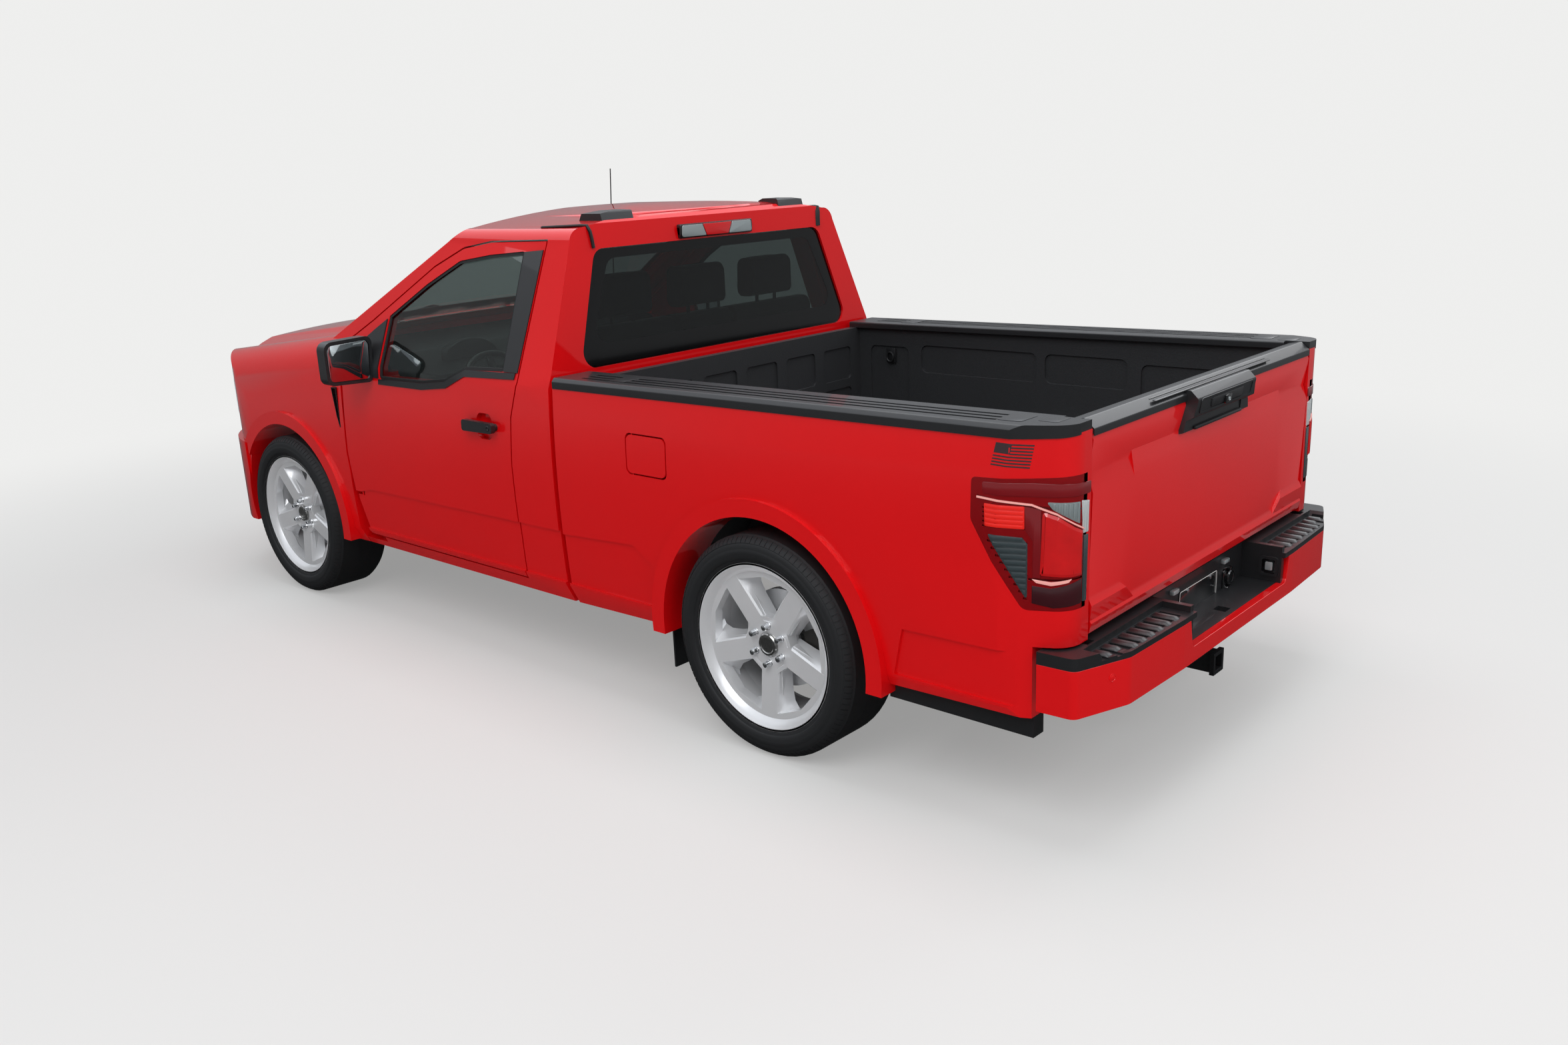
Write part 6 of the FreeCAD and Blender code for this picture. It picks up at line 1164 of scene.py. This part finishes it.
@dataclass
class SideTrim:
    """Fender vents, mirror glasses, key covers and the bed's tie-downs."""

    vent: tuple = mm(((-1211.5, 1076.5, 2), (-1171.2, 1076.5, 2), (-1167.5, 864, 3), (-1191.5, 941, 2)))
    vent_floor: float = 0.978
    vent_bars: int = 16
    vent_z: Point = mm((880, 1070))
    window: tuple = mm(((74.5, 1235, 12), (-170.5, 1225, 60), (-305.5, 1168, 60), (-475.5, 1148, 60),
                        (-800.5, 1142, 15), (-795.5, 1407, 10), (-565.5, 1543, 40), (-358.5, 1642, 60),
                        (-162.5, 1668, 30), (59.5, 1684, 12)))
    mirror: tuple = mm(((988, 1128, 26), (1203, 1138, 34), (1203, 1322, 40), (972, 1330, 30)))
    mirror_y: float = -0.8575
    key: Spot = mm((1029, 14, 1014))
    key_disc: tuple = mm(((-1, 10.5), (1.5, 10.5), (2.5, 8.5), (1.8, 7), (1.8, 0)))
    tie_y: tuple[float, ...] = mm((620, 2280))
    tie_x: float = 0.822
    tie_z: float = 1.09

    def _vent(self, sign: float) -> list[Skin]:
        """A black insert with a wire mesh's bars in the fender's side."""
        outline = rounded(self.vent)
        works = [drape(frame_ring(outline, shrunk(outline, 0.004), -0.001, 0.02),
                       on_side(sign, lambda y, z: self.vent_floor))]
        depth = sorted((sign * (self.vent_floor + 0.002), sign * (self.vent_floor + 0.008)))
        low, high = self.vent_z
        for k in range(self.vent_bars):
            z = low + (high - low) * k / (self.vent_bars - 1)
            front, rear = span(self.vent, z)
            if rear - front >= 0.008:
                works.append(block(depth, (front + 0.002, rear - 0.002), (z - 0.0022, z + 0.0022),
                                   0.0008))
        return works

    def _tie_downs(self, sign: float) -> list[Skin]:
        """Cleats with a folding ring on the bed's inner wall."""
        works, x, z = [], self.tie_x, self.tie_z
        for y in self.tie_y:
            works.append(block(sorted((sign * (x + 0.002), sign * (x - 0.006))), (y - 0.026, y + 0.026),
                               (z - 0.034, z + 0.034), 0.003))
            ring = [(sign * (x - 0.012), y + 0.018 * c, z - 0.006 + 0.022 * s) for c, s in circle(24)]
            works.append(tube(ring, 0.004, closed=True))
        return works

    def build(self) -> None:
        """Dresses both sides."""
        window = rounded(self.window)
        seal = (window, shrunk(window, 0.013), -0.0098, -0.003)
        mirror = shrunk(rounded(self.mirror), 0.016)
        for side, sign in SIDES:
            door = f"door_{side}"
            lay(f"fender_vent_{side}", self._vent(sign), SATIN_PLASTIC)
            rubber = drape(frame_ring(*seal), on_side(sign, lambda y, z: skin(z)), step=0.04)
            lay(f"window_seal_{side}", [rubber], RUBBER_SEAL, door)
            pane = tile(mirror, 0.0, (0.0, 0.0035), 0.001, facing_rear(self.mirror_y, sign))
            lay(f"mirror_glass_{side}", [pane], MIRROR_SILVER, door, "glass")
            x, y, z = self.key
            lay(f"key_cover_{side}", [aimed(turned(self.key_disc, 24), (sign * x, y, z), (sign, 0, 0))],
                GLOSS_PLASTIC, door, degrees=40)
            lay(f"tie_downs_{side}", self._tie_downs(sign), BLACK_STEEL, slot="steel", degrees=40)


# The front: headlamps, fog lamps and the grille's mesh

LIGHT_GUIDE = Finish("frosted_polycarbonate_guide", "#e6eaec", 0.3, coat=0.6, glow=0.1)


@dataclass
class FrontLamps:
    """Projector lenses behind each lamp's two square windows, a light guide and fog lamps."""

    # Centre and direction outward
    windows: tuple = (((0.677, -2.5415, 0.9225), (0.27, -0.963, 0.0)),
                      ((0.787, -2.483, 0.9225), (0.618, -0.786, 0.0)))
    window_half: Point = mm((40, 75))
    projector_z: tuple[float, ...] = mm((-37, 37))
    guide: tuple = mm(((612, -2557.5, 1029), (660, -2550, 1030), (700, -2537.5, 1030),
                       (750, -2512, 1030), (800, -2479, 1030), (860, -2406, 1029), (897, -2360, 1024),
                       (904, -2351, 1010), (904, -2351, 850), (898, -2359, 830)))
    fog: Spot = mm((650, -2581.5, 455))
    fog_out: Spot = (0.27, -0.963, 0.0)
    rim: tuple = mm(((0, 34), (5, 34), (6, 31), (1, 29), (1, 0)))
    dome: tuple = mm(((1, 28), (6, 26), (12, 19), (15, 10), (15.8, 0)))
    fog_rim: tuple = mm(((-2, 46), (10, 46), (13, 43), (8, 37), (4, 36), (4, 0)))
    fog_glass: tuple = mm(((4, 35), (9, 33), (12, 22), (13, 0)))

    def build(self) -> None:
        """Makes the left lamps and their mirror images."""
        across, high = self.window_half
        outer = rounded(box((-across, across), (-high, high)), 0.01)
        bezels, lenses = [], []
        for centre, outward in self.windows:
            face = Vector(outward).normalized()
            level = Vector((-face.y, face.x, 0)).normalized()

            def place(u: float, v: float, w: float) -> Spot:
                return tuple(Vector(centre) + level * u + Vector((0, 0, v)) + face * w)
            bezels.append(drape(frame_ring(outer, shrunk(outer, 0.006), -0.001, 0.003), place))
            for z in self.projector_z:
                bezels.append(aimed(turned(self.rim, 36), place(0.0, z, 0.0), outward))
                lenses.append(aimed(turned(self.dome, 32), place(0.0, z, 0.0), outward))
        bezels.append(aimed(turned(self.fog_rim, 40), self.fog, self.fog_out))
        lenses.append(aimed(turned(self.fog_glass, 40), self.fog, self.fog_out))
        for name, works, finish in (("bezel", bezels, CHROME), ("projector", lenses, CLEAR_BLOCK),
                                    ("guide", [tube(self.guide, 0.0055, 10)], LIGHT_GUIDE)):
            left = joined(works, f"front_lamp_{name}_left", 40)
            add_pair(f"front_lamp_{name}", left, finish, "clear_lens")


@dataclass
class GrilleMesh:
    """Upright slats and level wires that fill an opening of the nose."""

    name: str = "grille"
    half: float = 0.556
    z: Point = (0.75, 1.01)
    y: float = -2.5455
    slats: int = 56
    wires: int = 12
    backed: bool = False

    def build(self) -> None:
        """Repeats a slat across and a wire upward, before a dark panel where it has one."""
        half, (low, top), margin = self.half, self.z, 0.01
        middle, high = (low + top) / 2, (top - low) / 2
        slat = block((-0.0018, 0.0018), (-0.004, 0.004), (-high, high), 0.001)
        wire = block((-half, half), (-0.003, 0.003), (-0.0015, 0.0015), 0.0008)
        for row, shape in ((Row(f"{self.name}_slats", self.slats, (-half, self.y, middle),
                                (2 * half / (self.slats - 1), 0.0, 0.0)), slat),
                           (Row(f"{self.name}_wires", self.wires, (0.0, self.y, low + margin),
                                (0.0, 0.0, 2 * (high - margin) / (self.wires - 1))), wire)):
            add_piece(row.name, row.mesh(joined([shape], row.name), SATIN_PLASTIC), SATIN_PLASTIC)
        if self.backed:
            panel = block((-half, half), (self.y + 0.004, self.y + 0.009), self.z, 0.001)
            lay(f"{self.name}_backing", [panel], GRAINED_PLASTIC)


# The cabin: seats, steering wheel and dashboard

WRAPPED_VINYL = Finish("stitched_black_vinyl", "#1b1c1e", 0.45, sheen=0.1, pitch_mm=1.6, depth_mm=0.08)
DISPLAY_GLASS = Finish("black_display_glass", "#060708", 0.06, coat=1)


@dataclass(frozen=True)
class Cushion:
    """A crowned foam pad under cloth: half sizes, place, lean, sewn channels and a welt."""

    name: str
    centre: Spot
    half: Spot
    lean: float
    channels: tuple[float, ...] = ()
    cuts: int = 22
    fill: float = 0.8
    power: float = 6.0
    welt_level: float = 0.55

    def mesh(self) -> Mesh:
        """A rounded block, crowned on its top, pulled in at its edges and grooved at its seams."""
        work, (long, wide, high) = bmesh.new(), self.half
        bmesh.ops.create_cube(work, size=2.0)
        bmesh.ops.subdivide_edges(work, edges=list(work.edges), cuts=self.cuts, use_grid_fill=True)
        for vert in work.verts:
            x, y, z = vert.co / sum(abs(c) ** self.power for c in vert.co) ** (1 / self.power)
            groove = 0.0
            if z > 0:
                groove = sum(exp(-((x - place) / 0.035) ** 2) for place in self.channels)
                groove += exp(-((abs(y) - 0.72) / 0.04) ** 2) * (abs(x) < 0.80)
            waist = 1.0 - 0.025 * (1 - min(1.0, abs(z) * 1.6))
            crown = 1.0 - 0.10 * (x * x + y * y)
            vert.co = (x * waist * long, y * waist * wide, z * crown * high - 0.006 * min(1.0, groove))
        bmesh.ops.recalc_face_normals(work, faces=work.faces)
        welt = []
        for c, s in circle(72):
            size = sum(abs(e) ** self.power for e in (c, s, self.welt_level)) ** (1 / self.power)
            welt.append((c / size * long * 0.995, s / size * wide * 0.995,
                         self.welt_level / size * high * 0.93))
        mesh = joined([work, tube(welt, 0.0032, 6, closed=True)], self.name, 60)
        mesh.transform(Matrix.Translation(self.centre) @ Matrix.Rotation(self.lean, 4, "X"))
        return mesh


@dataclass
class Seats:
    """Two seats with a folding middle one, in woven cloth."""

    # Name, middle's x, width, places of the sewn channels
    places: tuple = (("left", 0.44, 0.52, (-0.62, 0.62)), ("middle", 0.0, 0.33, ()),
                     ("right", -0.44, 0.52, (-0.62, 0.62)))
    base_lean: float = radians(-5.5)
    rest_lean: float = radians(86.0)

    def build(self) -> None:
        """Makes cushions, backs, head restraints and the frames under them."""
        frames = []
        for name, x, width, sewn in self.places:
            half = width / 2
            for pad in (Cushion(f"seat_base_{name}", (x, -0.127, 0.79), (half - 0.004, 0.268, 0.082),
                                self.base_lean, sewn),
                        Cushion(f"seat_back_{name}", (x, 0.168, 1.098), (half - 0.014, 0.266, 0.06),
                                self.rest_lean, sewn),
                        Cushion(f"head_restraint_{name}", (x, 0.184, 1.485), (0.126, 0.082, 0.046),
                                self.rest_lean, (), 14, 0.9)):
                piece = add_piece(pad.name, pad.mesh(), SEAT_CLOTH, "body", "fabric")
            for s in (1, -1):
                stem = x + s * 0.06
                frames.append(tube([(stem, 0.19, 1.345), (stem, 0.188, 1.425)], 0.007, 12))
                frames.append(block(sorted((x + s * (half - 0.065), x + s * (half - 0.035))),
                                    (-0.33, 0.13), (0.5705, 0.606), 0.004))
            frames.append(block((x - half + 0.04, x + half - 0.04), (-0.3, 0.12), (0.6, 0.722), 0.01))
        piece = lay("seat_frames", frames, CABIN_PLASTIC, slot="cabin", degrees=40)
        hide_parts("seats")


@dataclass
class SteeringWheel:
    """A vinyl rim on three spokes with a soft middle pad."""

    centre: Spot = mm((400, -735.5, 1000))
    lean: float = radians(-65.0)
    radius: float = 0.19
    grip: float = 0.015
    pad: Point = mm((62, 54))
    # Height and share of the pad's size
    pad_rows: tuple = ((-0.022, 0.8), (-0.012, 1.0), (0.01, 1.05), (0.024, 0.92), (0.031, 0.6),
                       (0.033, 0.2))
    # Reach, half width and half height along a spoke
    spoke_rows: tuple = mm(((40, 30, 10), (110, 20, 8), (190, 16, 6)))
    spoke_section: tuple = ((1, -1), (1, 0.4), (0.7, 1), (-0.7, 1), (-1, 0.4), (-1, -1))

    def build(self) -> None:
        """Makes the wheel in its own plane and sets it on the column."""
        rim = [(self.radius * c, self.radius * s, 0.0) for c, s in circle(72)]
        works = [tube(rim, self.grip, 14, closed=True)]
        for c, s in ((1, 0), (-1, 0), (0, -1)):
            works.append(loft([[(c * reach - s * wide * u, s * reach + c * wide * u, high * v)
                                for u, v in self.spoke_section]
                               for reach, wide, high in self.spoke_rows]))
        wide, high = self.pad
        works.append(loft([[(wide * c * share, high * s * share, z) for c, s in circle(36)]
                           for z, share in self.pad_rows]))
        mesh = joined(works, "steering_wheel_trim", 50)
        mesh.transform(Matrix.Translation(self.centre) @ Matrix.Rotation(self.lean, 4, "X"))
        piece = add_piece("steering_wheel_trim", mesh, WRAPPED_VINYL, "steering_wheel", "cabin")
        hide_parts("steering_wheel")


@dataclass
class DashTrim:
    """Screen, instrument hood and air vents on the dashboard."""

    face_y: float = -0.932
    hood_rows: tuple = mm(((-1060, 50), (-1000, 85), (-950, 90), (-945, 84)))
    vent_x: tuple[float, ...] = mm((-760, -230, 215, 760))
    blade_z: tuple[float, ...] = mm((1034, 1047, 1060, 1073))

    def build(self) -> None:
        """Seats the trim on the dashboard's rear face."""
        y = self.face_y
        screen = block((-0.16, 0.15), (y - 0.006, y + 0.012), (0.955, 1.12), 0.006)
        lay("dash_screen", [screen], DISPLAY_GLASS, slot="cabin")
        trim = [loft([[(0.4 + 0.15 * c, back, 1.15 + high * max(0.0, s)) for c, s in circle(30)[:16]]
                      for back, high in self.hood_rows])]
        for x in self.vent_x:
            trim.append(block((x - 0.05, x + 0.05), (y - 0.004, y + 0.008), (1.02, 1.09), 0.005))
            trim += [block((x - 0.042, x + 0.042), (y + 0.006, y + 0.012), (z, z + 0.004), 0.001)
                     for z in self.blade_z]
        lay("dash_trim", trim, CABIN_PLASTIC, slot="cabin", degrees=40)


# The studio

@dataclass
class Studio:
    """Pale floor and backdrop, soft lamps and the camera."""

    eye: Spot = (3.93619, 4.18250, 1.97291)
    yaw: float = -2.40870740
    pitch: float = -0.27499162
    roll: float = -0.04418238
    focal_px: float = 1909.84
    frame_px: int = 2352
    sensor_mm: float = 36.0
    floor_radius: float = 16.0
    floor_bend: float = 4.0
    wall_height: float = 9.0
    around: int = 96
    # Colour and strength of the air, the mirrored sky and the sky that shows
    sky: tuple = (("#eef1f5", 0.5), ("#e6ebf2", 1.35), ("#f4f4f4", 0.95))
    # Name, place, size and power of each lamp
    lamp_rows: tuple = (("key", (6, 3.5, 7), (5, 5), 270), ("fill", (-7, 2, 6), (5, 5), 140),
                        ("rear", (1, 8.5, 5.5), (6, 3), 150), ("top", (0, 0, 8.5), (4, 8), 240))
    aim: Spot = (0, 0, 0.6)

    def camera(self) -> None:
        """Sets the camera to the photograph's viewpoint."""
        level = cos(self.pitch)
        ahead = Vector((level * cos(self.yaw), level * sin(self.yaw), sin(self.pitch)))
        right = Vector((sin(self.yaw), -cos(self.yaw), 0))
        up = right.cross(ahead)
        c, s = cos(self.roll), sin(self.roll)
        right, up = c * right + s * up, c * up - s * right
        data = bpy.data.cameras.new("camera")
        data.sensor_width = self.sensor_mm
        data.sensor_fit = "HORIZONTAL"
        data.lens = self.sensor_mm * self.focal_px / self.frame_px
        data.clip_end = 200
        shot = put("camera", data)
        turned_to = Matrix((right, up, -ahead)).transposed().to_4x4()
        shot.matrix_world = Matrix.Translation(self.eye) @ turned_to
        bpy.context.scene.camera = shot

    def backdrop(self) -> None:
        """A disc of floor that curves up into a pale wall."""
        bend, n = self.floor_bend, self.around
        profile = [(self.floor_radius + bend * sin(a), bend * (1 - cos(a)))
                   for a in (radians(9 * k) for k in range(11))]
        profile.append((self.floor_radius + bend, self.wall_height))
        verts = [(0.0, 0.0, 0.0)] + [(r * c, r * s, z) for r, z in profile for c, s in circle(n)]
        faces = [(0, 1 + k, 1 + (k + 1) % n) for k in range(n)]
        for low in range(1, (len(profile) - 1) * n, n):
            faces += [(low + k, low + n + k, low + n + (k + 1) % n, low + (k + 1) % n)
                      for k in range(n)]
        mesh = bpy.data.meshes.new("backdrop")
        mesh.from_pydata(verts, [], faces)
        soften(mesh, 60)
        floor = put("backdrop", mesh)
        mesh.materials.append(self.paper())

    def paper(self) -> bpy.types.Material:
        """Rolled studio paper: takes the truck's shadow, and is evenly pale to the camera beyond."""
        made = Finish("rolled_studio_paper", "#dededd", 0.9, mottle=0.005, mottle_mm=3000).material()
        tree = made.node_tree
        add = partial(add_node, tree)
        place = add("ShaderNodeTexCoord").outputs["Object"]
        flat = add("ShaderNodeVectorMath", {0: place, 1: (1.0, 1.0, 0.0)}, operation="MULTIPLY")
        far = add("ShaderNodeVectorMath", {0: flat}, operation="LENGTH").outputs["Value"]
        share, reflected_floor_shade = (add("ShaderNodeMapRange", {"Value": far, "From Min": near, "From Max": end,
                                                  "To Min": low, "To Max": high},
                           interpolation_type="SMOOTHSTEP")
                       for near, end, low, high in ((2.6, 7.0, 0.35, 1.0), (2.0, 12.0, 0.06, 0.34)))
        path = add("ShaderNodeLightPath").outputs
        seen = add("ShaderNodeMath", {0: share, 1: path["Is Camera Ray"]}, operation="MULTIPLY")
        white = add("ShaderNodeEmission", {"Color": linear("#f4f4f3"), "Strength": 0.95})
        # To glossy rays the paper glows, dimmer near the truck: painted shade on the floor as the paint
        # reflects it
        mirrored = add("ShaderNodeEmission", {"Color": linear("#e4e6e9"), "Strength": reflected_floor_shade})
        mix = add("ShaderNodeMixShader",
                  {0: path["Is Glossy Ray"], 1: tree.nodes["Principled BSDF"], 2: mirrored})
        mix = add("ShaderNodeMixShader", {0: seen, 1: mix, 2: white})
        tree.links.new(mix.outputs[0], tree.nodes["Material Output"].inputs["Surface"])
        return made

    def air(self) -> None:
        """An even pale world, brighter in reflections and white to the camera."""
        world = bpy.data.worlds.new("studio_air")
        bpy.context.scene.world = world
        world.use_nodes = True
        tree = world.node_tree
        tree.nodes.clear()
        add = partial(add_node, tree)
        path = add("ShaderNodeLightPath").outputs
        seen = add("ShaderNodeMath", {0: path["Is Camera Ray"], 1: path["Is Transmission Ray"]},
                   operation="MAXIMUM")
        air, mirrored, shown = (add("ShaderNodeBackground", {"Color": linear(code), "Strength": power})
                                for code, power in self.sky)
        mix = add("ShaderNodeMixShader", {0: path["Is Glossy Ray"], 1: air, 2: mirrored})
        mix = add("ShaderNodeMixShader", {0: seen, 1: mix, 2: shown})
        add("ShaderNodeOutputWorld", {"Surface": mix})

    def lamps(self) -> None:
        """Large soft lamps over the truck."""
        for name, spot, size, power in self.lamp_rows:
            data = bpy.data.lights.new(name, "AREA")
            data.shape = "RECTANGLE"
            data.size, data.size_y = size
            data.energy = power
            lamp = put(name, data)
            lamp.location = spot
            lamp.rotation_mode = "QUATERNION"
            lamp.rotation_quaternion = (Vector(self.aim) - Vector(spot)).to_track_quat("-Z", "Y")
        bpy.context.scene.view_settings.view_transform = "Standard"

    def build(self) -> None:
        """Makes camera, backdrop, air and lamps."""
        for part in (self.camera, self.backdrop, self.air, self.lamps):
            part()


@dataclass
class Panels:
    """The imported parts, smooth-shaded, each in its own finish."""

    edge_mm: float = 1.5

    def build(self) -> None:
        """Dresses every imported node."""
        for node in frame["nodes"]:
            finish = DARK_GLASS if node == "rear_window" else FINISHES[SLOT_OF[node]]
            panel_from_node(node, finish, 0.0 if SLOT_OF[node] == "glass" else self.edge_mm)


def main() -> None:
    """Builds the sub-assemblies in order."""
    logging.basicConfig(level=logging.INFO, format="%(message)s")
    intake = GrilleMesh("intake", 0.428, (0.382, 0.528), -2.58, slats=44, wires=7, backed=True)
    for assembly in (Studio(), Wheels(), TailLamps(), FlagDecal(), StepPads(), GateHandle(),
                     RailCovers(), HighLamp(), GlassTrim(), SideTrim(), FrontLamps(), GrilleMesh(),
                     intake, Seats(), SteeringWheel(), DashTrim(), Panels()):
        assembly.build()


if __name__ == "__main__":
    main()
